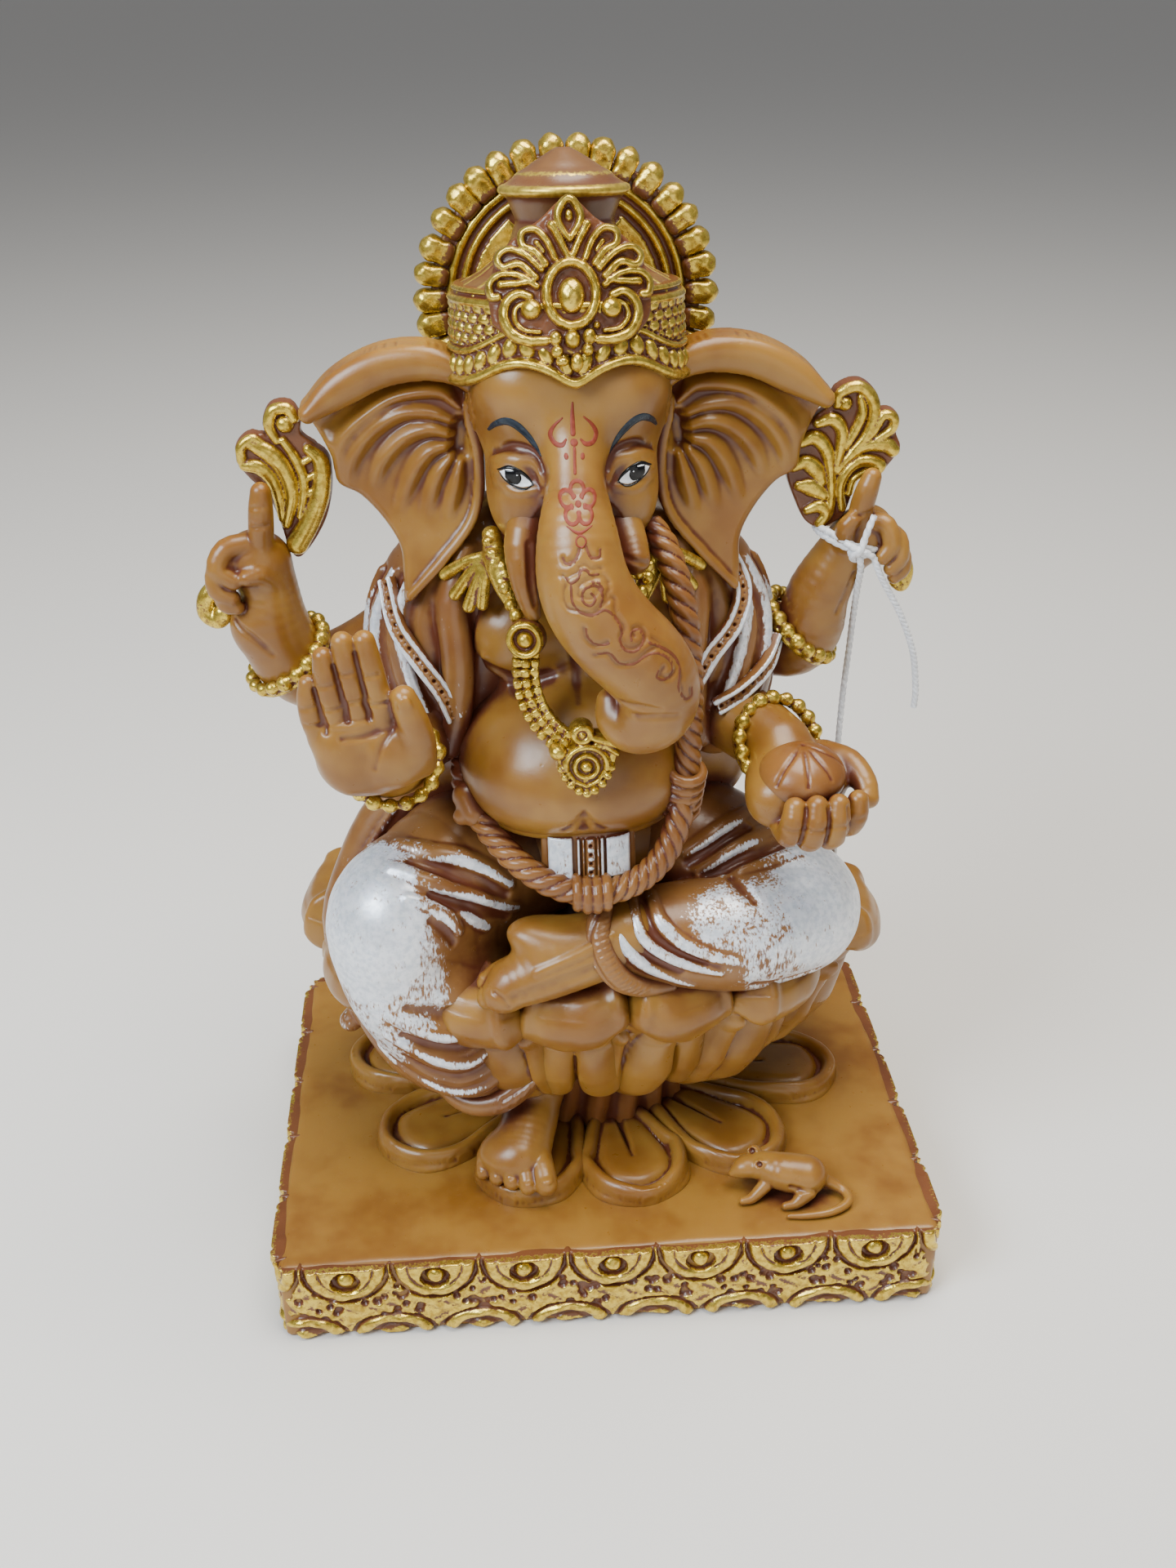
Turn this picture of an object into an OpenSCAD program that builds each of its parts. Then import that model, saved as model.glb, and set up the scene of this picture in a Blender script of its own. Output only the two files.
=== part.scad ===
// Seated Ganesha idol: a four-armed figure on a lotus seat, on a rectangular plinth.
// Millimetres. The origin is the centre of the plinth's underside, +Z is up, and the figure faces -Y.
// Right and left are the figure's own, so its right side is at -X.

/* [Plinth] */
// Width of the plinth from side to side
plinth_w = 124; // [118:1:134]
// Depth of the plinth from front to back
plinth_d = 91; // [88:1:104]
// Height of the plinth
plinth_h = 17.5; // [16:0.5:18]
// Radius of the plinth's upright corners
corner_r = 5; // [3:0.5:8]
// How deep the frieze is let into the plinth's sides
frieze_t = 2; // [1.5:0.5:3]
// Arches along the front and back friezes
front_arches = 7; // [5:1:9]
// Arches along each side frieze
side_arches = 5; // [3:1:6]

/* [Lotus] */
// Height of the rims of the down-turned petals on the plinth
floor_petal_h = 5.5; // [4:0.5:7]
// Radius of the neck between the floor petals and the seat
stem_r = 21; // [18:1:22]
// Height of the flat top of the seat above the floor
seat_z = 62; // [61:0.5:63]
// Half of the seat's width at its top
seat_half_w = 45; // [42:1:47]
// Half of the seat's depth at its top
seat_half_d = 31; // [29:1:33]

/* [Figure] */
// Radius of a finger
finger_r = 2.5; // [2:0.1:2.7]
// Radius of a toe
toe_r = 2.2; // [1.8:0.1:2.4]
// Thickness of the ears at their rim
ear_t = 3.6; // [3:0.2:4.4]
// Radius of a forearm at its wrist
wrist_r = 5.4; // [4.8:0.1:5.8]

/* [Crown and halo] */
// Radius of the crown's band
crown_r = 18.5; // [17.5:0.5:19]
// Radius of the halo to the tips of its lobes
halo_r = 25.5; // [24:0.5:26]
// Thickness of the halo disc
halo_t = 3.4; // [2.6:0.2:4]
// Rounded lobes around the halo
halo_lobes = 34; // [24:1:36]

/* [Ornaments] */
// Diameter of the twisted sacred thread
thread_d = 4.4; // [3.6:0.2:5]
// Radius of a bracelet bead
bead_r = 1.3; // [1:0.1:1.5]
// Radius of a necklace bead
chain_bead_r = 1.2; // [1:0.1:1.3]
// Diameter of the cotton string of the hanging tag
string_d = 1.2; // [1:0.1:1.4]

/* [Hidden] */

// Colours
resin = [0.66, 0.38, 0.12];
dark_resin = [0.48, 0.24, 0.10];
gilt = [0.80, 0.62, 0.24];
silver_white = [0.86, 0.86, 0.88];
cotton = [0.94, 0.94, 0.93];

// Facets around a rounded limb, a finger and a small ornament
limb_fn = 12;
finger_fn = 8;
round_fn = 32;

// Lotus layout: petals are spaced evenly round an ellipse about the seat's axis
axis_y = 8;
floor_petal_step = 36;
floor_petal_start = -7;
floor_petals = 10;
floor_reach_x = 52;
floor_reach_front = 43;
floor_reach_back = 34;
seat_petal_step = 30;
seat_petal_start = -8;
seat_petals = 12;
lip_reach_x = 54;
lip_reach_y = 37;
stem_top = 34;

// The figure's joints
centre_x = -3;
right_hip = [-13, 4, 76];
right_knee = [-36, -16, 73];
right_ankle = [-14, -15, 34];
left_hip = [12, 4, 78];
left_knee = [38, -12, 69];
left_ankle = [4, -24, 72];
neck_z = 148;
crown_axis = [-3, -3, 168];
halo_centre = [-2, 15, 176];

// Height of the band of arches on the plinth, between its plain bottom and top edges
frieze_low = 1.5;
frieze_h = plinth_h - frieze_low - 1.5;

// Distance from the centre of an ellipse to its edge, at an angle from +X
function ellipse_reach(a, b, angle) = 1 / sqrt(pow(cos(angle) / a, 2) + pow(sin(angle) / b, 2));
function unit(v) = v / norm(v);

// A ring of points: an ellipse about c in the plane of the unit vectors u and v
function ring(c, u, v, a, b, n) = [for (i = [0:n - 1]) c + a * cos(360 * i / n) * u + b * sin(360 * i / n) * v];

// A closed skin over a list of rings with equal numbers of points
module loft(rings) {
    n = len(rings[0]);
    last = len(rings) - 1;
    polyhedron(
        points = [for (r = rings) each r],
        faces = concat(
            [[for (i = [0:n - 1]) i]],
            [[for (i = [n - 1:-1:0]) last * n + i]],
            [for (j = [0:last - 1], i = [0:n - 1])
                [j * n + i, (j + 1) * n + i, (j + 1) * n + (i + 1) % n]],
            [for (j = [0:last - 1], i = [0:n - 1])
                [j * n + i, (j + 1) * n + (i + 1) % n, j * n + (i + 1) % n]]
        )
    );
}

// A body of level ellipses: each level is [z, centre x, centre y, half width, half depth]
module stacked(levels, n) {
    loft([for (s = levels) ring([s[1], s[2], s[0]], [1, 0, 0], [0, 1, 0], s[3], s[4], n)]);
}

// Direction of a path of points at one of them
function heading(path, i) = unit(path[min(i + 1, len(path) - 1)] - path[max(i - 1, 0)]);

// A tube along a path; side_ref is any direction that the path never follows
module tube(path, wide, deep, side_ref, n) {
    loft([for (i = [0:len(path) - 1])
        let (t = heading(path, i), u = unit(cross(t, side_ref)))
            ring(path[i], u, cross(t, u), wide[i], deep[i], n)]);
}

// Points along a smooth curve through the given points
function spline_point(p, i, t) = let (
    a = p[max(i - 1, 0)],
    b = p[i],
    c = p[i + 1],
    d = p[min(i + 2, len(p) - 1)]
) 0.5 * (2 * b + (c - a) * t + (2 * a - 5 * b + 4 * c - d) * t * t + (3 * b - a - 3 * c + d) * t * t * t);
function smooth_path(p, steps) = concat(
    [for (i = [0:len(p) - 2], s = [0:steps - 1]) spline_point(p, i, s / steps)],
    [p[len(p) - 1]]
);

// A ball given as [x, y, z, radius]
module ball(b, fn) {
    translate([b[0], b[1], b[2]])
        sphere(b[3], $fn = fn);
}

// A rounded limb through a list of balls
module limb(balls, fn) {
    for (i = [0:len(balls) - 2])
        hull() {
            ball(balls[i], fn);
            ball(balls[i + 1], fn);
        }
}

// An egg of three radii
module egg(at, radii, turn = [0, 0, 0]) {
    translate(at)
        rotate(turn)
            scale(radii)
                sphere(1, $fn = limb_fn);
}

// A thin rounded sheet that fans out from a root ball to a row of rim balls
module fan(root, rim) {
    for (i = [0:len(rim) - 2])
        hull() {
            ball(root, finger_fn);
            ball(rim[i], finger_fn);
            ball(rim[i + 1], finger_fn);
        }
}

// ---------- Plinth ----------

module rounded_slab(w, d, h, r) {
    linear_extrude(h)
        union() {
            square([w - 2 * r, d], center = true);
            square([w, d - 2 * r], center = true);
            for (x = [-1, 1], y = [-1, 1])
                translate([x * (w / 2 - r), y * (d / 2 - r)])
                    circle(r, $fn = round_fn);
        }
}

module plinth() {
    color(resin)
        difference() {
            rounded_slab(plinth_w, plinth_d, plinth_h, corner_r);
            for (side = [-1, 1]) {
                translate([0, side * plinth_d / 2, frieze_low + frieze_h / 2])
                    cube([plinth_w - 2 * corner_r, 2 * frieze_t, frieze_h], center = true);
                translate([side * plinth_w / 2, 0, frieze_low + frieze_h / 2])
                    cube([2 * frieze_t, plinth_d - 2 * corner_r, frieze_h], center = true);
            }
        }
}

// Half-round scallop hanging from the top edge of a frieze, with its ring and boss
module scallop(r) {
    intersection() {
        difference() {
            circle(r, $fn = round_fn);
            circle(r * 0.74, $fn = round_fn);
        }
        translate([-r, -r])
            square([2 * r, r]);
    }
    intersection() {
        circle(r * 0.42, $fn = round_fn);
        translate([-r, -r])
            square([2 * r, r]);
    }
}

// A band of arches on a backing strip, drawn in X and Z with its face towards -Y
module frieze(length, arches) {
    pitch = length / arches;
    arch_r = min(pitch * 0.46, frieze_h * 0.68);
    back_t = frieze_t * 0.4;
    translate([0, -back_t / 2, frieze_h / 2])
        cube([length, back_t, frieze_h], center = true);
    for (i = [0:arches - 1])
        translate([(i + 0.5) * pitch - length / 2, 0, frieze_h])
            rotate([90, 0, 0])
                linear_extrude(frieze_t)
                    scallop(arch_r);
    for (i = [1:arches - 1])
        translate([i * pitch - length / 2, 0, frieze_h * 0.3])
            rotate([90, 0, 0])
                cylinder(h = frieze_t, r = frieze_h * 0.12, $fn = round_fn);
}

// One frieze turned to its side of the plinth
module placed_frieze(turn, half, length, arches) {
    color(gilt)
        rotate([0, 0, turn])
            translate([0, frieze_t - half, frieze_low])
                frieze(length, arches);
}
module frieze_front() { placed_frieze(0, plinth_d / 2, plinth_w - 2 * corner_r, front_arches); }
module frieze_left() { placed_frieze(90, plinth_w / 2, plinth_d - 2 * corner_r, side_arches); }
module frieze_back() { placed_frieze(180, plinth_d / 2, plinth_w - 2 * corner_r, front_arches); }
module frieze_right() { placed_frieze(270, plinth_w / 2, plinth_d - 2 * corner_r, side_arches); }

// ---------- Lotus ----------

// A tongue that widens from its root to a round tip
module tongue(root_w, tip_r, length) {
    polygon([[0, -root_w], [0, root_w], [length - tip_r, tip_r], [length - tip_r, -tip_r]]);
    translate([length - tip_r, 0])
        circle(tip_r, $fn = round_fn);
}

// A down-turned petal: a rim around a hollow, with a raised pad that a slit divides
module floor_petal(i) {
    angle = floor_petal_start - i * floor_petal_step;
    reach_y = sin(angle) < 0 ? floor_reach_front : floor_reach_back;
    reach = ellipse_reach(floor_reach_x, reach_y, angle);
    length = reach - stem_r;
    tip_r = min(9.6, length * 0.62);
    root_w = 6.2;
    rim = 2;
    color(resin)
        translate([0, axis_y, plinth_h])
            rotate([0, 0, angle])
                translate([stem_r, 0, 0])
                    union() {
                        difference() {
                            linear_extrude(floor_petal_h)
                                tongue(root_w, tip_r, length);
                            translate([-1, 0, floor_petal_h * 0.5])
                                linear_extrude(floor_petal_h)
                                    tongue(root_w - rim, tip_r - rim, length - rim + 1);
                        }
                        difference() {
                            linear_extrude(floor_petal_h * 0.85)
                                tongue(root_w - rim - 1.5, tip_r - rim - 2, length - rim - 2);
                            translate([0, -0.4, floor_petal_h * 0.5])
                                cube([length * 0.6, 0.8, floor_petal_h]);
                        }
                    }
}
module floor_petals_back() { for (i = [6:floor_petals - 1]) floor_petal(i); }

module lotus_stem() {
    color(dark_resin)
        translate([0, axis_y, plinth_h])
            cylinder(h = stem_top - plinth_h, r1 = stem_r, r2 = stem_r - 1, $fn = 64);
}

// The cup of the seat, inside the ring of petals
module seat_pad() {
    color(resin)
        stacked([
            [stem_top, 0, axis_y, 20, 18],
            [44, 0, axis_y, seat_half_w * 0.66, seat_half_d * 0.76],
            [54, 0, axis_y, seat_half_w * 0.84, seat_half_d * 0.88],
            [seat_z - 2, 0, axis_y, seat_half_w * 0.88, seat_half_d * 0.92],
            [seat_z, 0, axis_y, seat_half_w * 0.84, seat_half_d * 0.86]
        ], 28);
}

// An upturned petal: it swells outwards from the stem and its lip curls over.
// Each station is [share of the reach, height, half width, half thickness].
petal_stations = [
    [0.42, 33, 5, 1.6],
    [0.62, 35, 8.5, 3],
    [0.80, 41, 11, 3.4],
    [0.88, 49, 11.4, 3],
    [0.93, 55, 10, 2.2],
    [1.00, 57.5, 3, 0.9]
];
module seat_petal(i) {
    angle = seat_petal_start - i * seat_petal_step;
    reach = ellipse_reach(lip_reach_x, lip_reach_y, angle);
    color(resin)
        translate([0, axis_y, 0])
            rotate([0, 0, angle])
                tube(
                    [for (s = petal_stations) [s[0] * reach, 0, s[1]]],
                    [for (s = petal_stations) s[2]],
                    [for (s = petal_stations) s[3]],
                    [1, 0, -2], 12
                );
}
module seat_petals_back() { for (i = [7:seat_petals - 1]) seat_petal(i); }

// ---------- Body ----------

module torso() {
    color(resin)
        stacked([
            [seat_z, centre_x, 6, 24, 17],
            [72, centre_x, 6, 27, 19],
            [82, centre_x, 3, 25, 20],
            [89, centre_x, -1, 21, 19],
            [94, centre_x, -5, 19, 21],
            [102, centre_x, -7, 20.5, 22],
            [110, centre_x, -6, 20, 21],
            [118, centre_x, -2, 20, 17.5],
            [126, centre_x, 0, 23, 15],
            [134, centre_x, 2, 24, 13],
            [141, centre_x, 3, 18, 12],
            [146, centre_x, 3, 12, 11],
            [neck_z, centre_x, 3, 9, 9]
        ], 24);
}

// Waistband with ridged strips on each side of a studded one
module waist_buckle() {
    strip_x = [-6.6, -3.2, -1.2, 0.8, 4.2];
    strip_w = [5, 0.9, 1.8, 0.9, 5];
    color(silver_white)
        for (i = [0:len(strip_x) - 1])
            translate([strip_x[i], -21.5, 88.5])
                rotate([-12, 0, 0])
                    cube([strip_w[i], 4, 7], center = true);
}

module right_leg() {
    color(silver_white)
        limb([
            concat(right_hip, 15),
            [-24, -6, 77, 15],
            concat(right_knee, 11.5),
            [-36, -18, 64, 11],
            [-31, -17, 54, 11.5],
            [-26, -16, 46, 11],
            [-22, -14, 40, 10],
            [-18, -13, 36, 8.5],
            concat(right_ankle, 6.5)
        ], limb_fn);
}

module left_leg() {
    color(silver_white)
        limb([
            concat(left_hip, 14),
            [22, -3, 76, 13],
            [32, -8, 72, 11.5],
            concat(left_knee, 10.5),
            [33, -17, 69, 10.5],
            [25, -20, 69, 10.5],
            [17, -21, 70, 10],
            [11, -22, 71, 9],
            concat(left_ankle, 7.5)
        ], limb_fn);
}

// The hanging foot stands on a floor petal, toes forward
module right_foot() {
    color(resin)
        difference() {
            union() {
                limb([
                    [-13, -14, 36, 5],
                    [-12.5, -15, 28, 5],
                    [-13.5, -20, 25.5, 4.6],
                    [-15, -25, 24, 4.2]
                ], limb_fn);
                for (i = [0:4])
                    limb([
                        [-14 - i * 1.5, -24, 23.5, toe_r + 0.8 - i * 0.1],
                        [-12.6 - i * 2.1, -30.5 + i * 1.2, 22.4, toe_r - i * 0.22]
                    ], finger_fn);
            }
            translate([-40, -60, plinth_h - 10])
                cube([60, 60, 12.5]);
        }
}

// The folded foot lies on the seat's edge with its sole turned up
module left_foot() {
    color(resin)
        union() {
            limb([
                [2, -24, 73, 6],
                [-5, -26, 70, 5.6],
                [-12, -27, 67, 5],
                [-17, -27, 64.5, 4.2]
            ], limb_fn);
            for (i = [0:4])
                limb([
                    [-15.5 + i * 0.4, -29 + i * 2.2, 65 + i * 0.8, toe_r + 0.6],
                    [-19.8 + i * 0.6, -29.5 + i * 2.3, 62.5 + i * 1.2, toe_r - i * 0.15]
                ], finger_fn);
        }
}

// Each end of the shawl falls from the neck over the shoulder and upper arm.
// The left end is the right one's mirror image about the figure's centre.
module shawl_end() {
    limb([
        [-11, 4, 143, 4],
        [-17, 3, 140, 6],
        [-24, 2, 134, 8.5],
        [-28, 2, 127, 9.5],
        [-29.5, 1, 120, 9.5],
        [-30, 0, 113, 9],
        [-29.5, -1, 107, 7.5],
        [-28.5, -2, 103, 5.5]
    ], limb_fn);
    limb([
        [-12, 8, 138, 6],
        [-14, 10, 126, 6],
        [-12, 12, 112, 6]
    ], limb_fn);
}
module right_shawl() { color(dark_resin) shawl_end(); }
module left_shawl() {
    color(dark_resin)
        translate([2 * centre_x, 0, 0])
            mirror([1, 0, 0])
                shawl_end();
}

// ---------- Head ----------

module head() {
    color(resin)
        union() {
            stacked([
                [139, centre_x, -6, 7, 8],
                [142, centre_x, -6.5, 10.5, 12],
                [147, centre_x, -6.5, 12.4, 14.5],
                [153, centre_x, -5.5, 13.6, 15.5],
                [160, centre_x, -5, 15, 16],
                [167, centre_x, -4, 16.5, 16],
                [174, centre_x, -3, 16.5, 16],
                [180, centre_x, -3, 13, 13]
            ], 20);
            for (side = [-1, 1]) {
                egg([centre_x + side * 6.5, -12.5, 168], [8.5, 8, 7.5]);
                limb([
                    [centre_x + side * 7, -17, 147, 4.6],
                    [centre_x + side * 9, -19.5, 144.5, 3]
                ], limb_fn);
            }
        }
}

// The trunk hangs from between the eyes and swings towards the figure's left.
// Each station is [x, y, z, radius].
trunk_stations = [
    [-3.2, -15, 164, 5.5],
    [-3.2, -20, 158, 5.6],
    [-3.3, -24, 152, 6],
    [-3, -27, 146, 7],
    [-1.5, -29.5, 140, 7.4],
    [2, -31, 134.5, 7.5],
    [6.5, -31.5, 129.5, 7.2],
    [9.4, -31, 124.5, 6.6],
    [10, -30, 119.5, 6.2],
    [8.6, -29, 115, 5.6],
    [6, -28.6, 112.8, 3.6]
];
module trunk() {
    color(resin)
        tube(
            [for (s = trunk_stations) [s[0], s[1], s[2]]],
            [for (s = trunk_stations) s[3]],
            [for (s = trunk_stations) s[3]],
            [0, 1, 0.3], 14
        );
}

// A broad ear, seen from in front: its rim balls run from the top of its root round to its low point
module ear_shape() {
    r = ear_t / 2;
    fan([-17, -5, 154, r + 0.8], [
        [-18, -4, 170, r],
        [-25, -2, 172, r + 0.4],
        [-32, -1, 170.5, r + 0.4],
        [-39, -2, 166.5, r + 0.4],
        [-45.5, -1, 162.5, r * 0.8],
        [-41, -2, 157, r * 0.8],
        [-37.5, -4, 150, r * 0.8],
        [-34.5, -6, 142, r * 0.8],
        [-30, -9, 133, r * 0.7],
        [-24, -9, 137, r * 0.8],
        [-17, -8, 143, r]
    ]);
}
module right_ear() { color(resin) ear_shape(); }
module left_ear() {
    color(resin)
        translate([2 * centre_x, 0, 0])
            mirror([1, 0, 0])
                ear_shape();
}

// ---------- Crown and halo ----------

// The crown stands a little back from the brow
module on_crown() {
    translate(crown_axis)
        rotate([-6, 0, 0])
            children();
}

module crown_band() {
    color(gilt)
        on_crown()
            difference() {
                union() {
                    cylinder(h = 12, r1 = crown_r, r2 = crown_r - 1, $fn = 64);
                    cylinder(h = 2.4, r = crown_r + 0.9, $fn = 64);
                    translate([0, 0, 9.8])
                        cylinder(h = 2.2, r = crown_r + 0.2, $fn = 64);
                }
                translate([0, 0, -1])
                    cylinder(h = 14, r = crown_r - 3, $fn = 64);
            }
}

// Fan of flame leaves over an oval gem, with a scroll on each side
module crown_crest() {
    leaves = 9;
    leaf_from = -76;
    leaf_step = 19;
    color(gilt)
        translate([centre_x, -15.6, 183])
            rotate([72, 0, 0]) {
                egg([0, 0, 1.2], [10, 9.4, 2]);
                egg([0, -6, 1], [9, 4.4, 2]);
                egg([0, 0.5, 2.6], [3.6, 4.6, 2.6]);
                for (i = [0:leaves - 1])
                    rotate([0, 0, leaf_from + i * leaf_step])
                        limb([
                            [0, 5, 1.2, 1.4],
                            [0, 10, 1.4, 1.6],
                            [0, 12, 1.4, 0.8]
                        ], finger_fn);
                for (side = [-1, 1])
                    egg([side * 8.4, -2.4, 2], [3.4, 3.4, 1.8]);
            }
}

// The crown's top: a dome that narrows to a plain peak
module crown_cap() {
    color(dark_resin)
        on_crown()
            rotate_extrude($fn = 64)
                polygon([[0, 1], [15.4, 1], [15.4, 15], [14.6, 20], [12.6, 24], [9.6, 27.5], [5, 31], [0, 33]]);
}

// A flat disc behind the crown, turned to face forwards
module at_halo() {
    translate(halo_centre)
        rotate([90, 0, 0])
            children();
}
module halo_disc() {
    color(resin)
        at_halo()
            union() {
                cylinder(h = halo_t, r = halo_r - 3.6, center = true, $fn = 96);
                for (r = [halo_r - 4.6, halo_r - 7.6])
                    rotate_extrude($fn = 96)
                        translate([r, halo_t / 2])
                            circle(0.8, $fn = 16);
            }
}
module halo_lobes_ring() {
    lobe_r = 1.9;
    color(gilt)
        at_halo()
            for (i = [0:halo_lobes - 1])
                rotate([0, 0, i * 360 / halo_lobes])
                    translate([halo_r - lobe_r, 0, 0])
                        union() {
                            sphere(lobe_r, $fn = 24);
                            rotate([0, -90, 0])
                                cylinder(h = 2.2, r = lobe_r, $fn = 24);
                        }
}

// ---------- Arms ----------

// A finger from knuckle to tip, through its middle joint
module finger(knuckle, middle, tip) {
    limb([
        concat(knuckle, finger_r),
        concat(middle, finger_r),
        concat(tip, finger_r * 0.8)
    ], finger_fn);
}

// The open palm faces forwards with its fingers up
module front_right_arm() {
    color(resin)
        union() {
            limb([
                [-30, -3, 106, 6.5],
                [-33, -12, 104, 6.4],
                [-35, -22, 107, wrist_r + 0.8]
            ], limb_fn);
            hull() {
                egg([-36.5, -27, 113], [8, 4.6, 8.5]);
                egg([-37.5, -28, 119], [8, 4, 5]);
            }
            finger([-33.4, -28, 121], [-32.8, -28.5, 127], [-33, -29, 131.5]);
            finger([-37, -28, 122.5], [-37, -28.5, 129], [-37.4, -29, 133.8]);
            finger([-40.6, -28, 121.5], [-41.2, -28.5, 128], [-41.6, -29, 132.4]);
            finger([-43.4, -27.5, 118], [-44.8, -28, 123.5], [-45.4, -28.5, 127]);
            finger([-31, -28, 111], [-28.6, -30, 116], [-29.4, -30.5, 121]);
        }
}

// The cupped hand holds a sweet in front of the knee
module front_left_arm() {
    color(resin)
        union() {
            limb([
                [24, -3, 106, 6.5],
                [29, -10, 105, 6.4],
                [32, -15, 105, wrist_r + 0.6]
            ], limb_fn);
            hull() {
                egg([33.5, -21, 102], [8.4, 6, 6.6]);
                egg([35, -25, 99], [7.4, 4.5, 5]);
            }
            finger([29, -26, 100], [29.5, -31, 98], [31, -31.5, 101]);
            finger([33, -27, 98.5], [33.4, -32, 97], [34.4, -32, 100.5]);
            finger([37, -26.5, 98], [38, -31, 96.8], [38.4, -31, 100.6]);
            finger([40, -24.5, 99], [41.8, -28, 97.8], [41.6, -28, 101.4]);
            finger([39, -19, 104], [42, -23, 105.4], [40.6, -27, 105.8]);
        }
}

// The raised back arm bends at the elbow and its fist closes around the goad
module back_right_arm() {
    color(resin)
        union() {
            limb([
                [-24, 8, 127, 7],
                [-38, 7, 116, 6.4],
                [-49, 3, 113, 6.4],
                [-52, 1, 122, 6],
                [-54, 0, 130, wrist_r - 0.4]
            ], limb_fn);
            egg([-57, -1, 136.5], [6, 4.8, 5.4]);
            finger([-55, -3, 139], [-54.2, -4, 144.5], [-53.8, -4, 148.8]);
            finger([-58, -3.5, 138.5], [-60.4, -5.4, 137.4], [-58.5, -6, 134.6]);
            finger([-60, -2.5, 136.5], [-61.6, -4.6, 135], [-59.6, -5, 132.6]);
        }
}

// The other raised arm; its hand closes around the stem of the flame
module back_left_arm() {
    color(resin)
        union() {
            limb([
                [18, 8, 127, 7],
                [30, 7, 118, 6.4],
                [40, 3, 116, 6.4],
                [43, 1, 124, 6],
                [46, 1, 131, wrist_r - 0.4]
            ], limb_fn);
            egg([49, 0, 137], [5.6, 4.8, 5.2]);
            finger([46.5, -2.5, 140], [46, -4, 144], [47, -4.5, 147.5]);
            finger([50, -3, 139.5], [52, -4.6, 138], [50.4, -5.4, 135.4]);
            finger([52, -2, 137.4], [53.6, -3.6, 135.6], [51.6, -4.4, 133.4]);
        }
}

// Ribbed blade with a scroll at its top and a curl at its foot
module goad() {
    color(gilt)
        union() {
            fan([-47.5, 0, 141, 1.6], [
                [-43.5, 0, 144, 1.4],
                [-42.6, 0, 150, 1.4],
                [-44.5, 0, 155.5, 1.5],
                [-48, 0, 159.5, 1.5],
                [-53, 0, 158, 1.4],
                [-56, 0, 154, 1.4],
                [-53.6, 0, 149, 1.4],
                [-51, 0, 144, 1.4]
            ]);
            limb([
                [-48, 0, 159, 1.7],
                [-51.5, 0, 161.6, 1.6],
                [-51, 0, 164.2, 1.5],
                [-48.4, 0, 164, 1.4]
            ], finger_fn);
            limb([
                [-58.5, 0, 133, 1.6],
                [-62, 0, 131.6, 1.7],
                [-64.2, 0, 128.6, 1.7],
                [-62.6, 0, 126.2, 1.5]
            ], finger_fn);
        }
}

module lotus_flame() {
    color(gilt)
        union() {
            fan([42, 0, 141, 1.7], [
                [37, 0, 143, 1.4],
                [35.4, 0, 148, 1.4],
                [37.6, 0, 154, 1.5],
                [41, 0, 160, 1.5],
                [45, 0, 162, 1.5],
                [48.4, 0, 158, 1.5],
                [51.6, 0, 154, 1.4],
                [50.4, 0, 149, 1.4],
                [47, 0, 145, 1.4]
            ]);
            limb([
                [52, 0, 136, 1.6],
                [54.6, 0, 134, 1.6],
                [55.4, 0, 131.4, 1.6],
                [53.8, 0, 129.6, 1.4]
            ], finger_fn);
        }
}

module sweet_ball() {
    color(dark_resin)
        translate([35.5, -26.5, 104.5])
            sphere(4.4, $fn = 24);
}

// A band with a row of beads round it, about an arm that points along the given turn
module beaded_ring(at, turn, r, beads) {
    color(gilt)
        translate(at)
            rotate(turn)
                union() {
                    rotate_extrude($fn = 64)
                        translate([r, 0])
                            circle(bead_r * 0.8, $fn = 16);
                    for (i = [0:beads - 1])
                        rotate([0, 0, i * 360 / beads])
                            translate([r + 0.3, 0, 0.8])
                                sphere(bead_r, $fn = 16);
                }
}
module front_right_bracelet() { beaded_ring([-34.6, -20.5, 106.4], [70, 0, 10], wrist_r + 1.9, 18); }
module front_left_bracelet() { beaded_ring([31.5, -14, 105], [62, 0, 30], wrist_r + 2, 18); }
module back_right_armlet() { beaded_ring([-51.4, 2, 117.6], [0, -35, 0], wrist_r + 2, 18); }
module back_left_armlet() { beaded_ring([39, 3, 119.6], [0, 42, 0], wrist_r + 2, 18); }

// ---------- Ornaments ----------

// The chain falls from a round clasp to a pendant and climbs again beside the trunk
chain_points = [
    [-15, -19, 136],
    [-11.5, -22, 131],
    [-12, -22.6, 124],
    [-9.6, -25.6, 117],
    [-5.4, -28.6, 113],
    [-1, -28.8, 113.6],
    [2.4, -27, 117],
    [5, -24, 125],
    [7, -22, 133],
    [8.4, -19, 140]
];
module necklace() {
    path = smooth_path(chain_points, 4);
    color(gilt)
        union() {
            tube(path, [for (p = path) 1.6], [for (p = path) 1], [0, 1, 0.1], 8);
            for (i = [2:3:len(path) - 2])
                translate(path[i])
                    sphere(chain_bead_r * 1.3, $fn = 16);
            translate([-11.5, -23.6, 131.4])
                rotate([78, 0, 0])
                    cylinder(h = 2.4, r = 3.1, center = true, $fn = round_fn);
            translate([-3.4, -29.6, 111])
                rotate([76, 0, 0])
                    rotate([0, 0, 45])
                        cube([8.4, 8.4, 2.6], center = true);
        }
}

// A spray of leaves lies on the collar below each ear
module collar_sprays() {
    leaves = 5;
    color(gilt)
        for (side = [-1, 1])
            for (i = [0:leaves - 1])
                limb([
                    [centre_x + side * 12, -13.5, 141, 1.5],
                    [centre_x + side * (12.5 + i * 2.2), -14.5 + i * 0.9, 133.5 + i * 1.4, 1.1]
                ], finger_fn);
}

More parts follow.
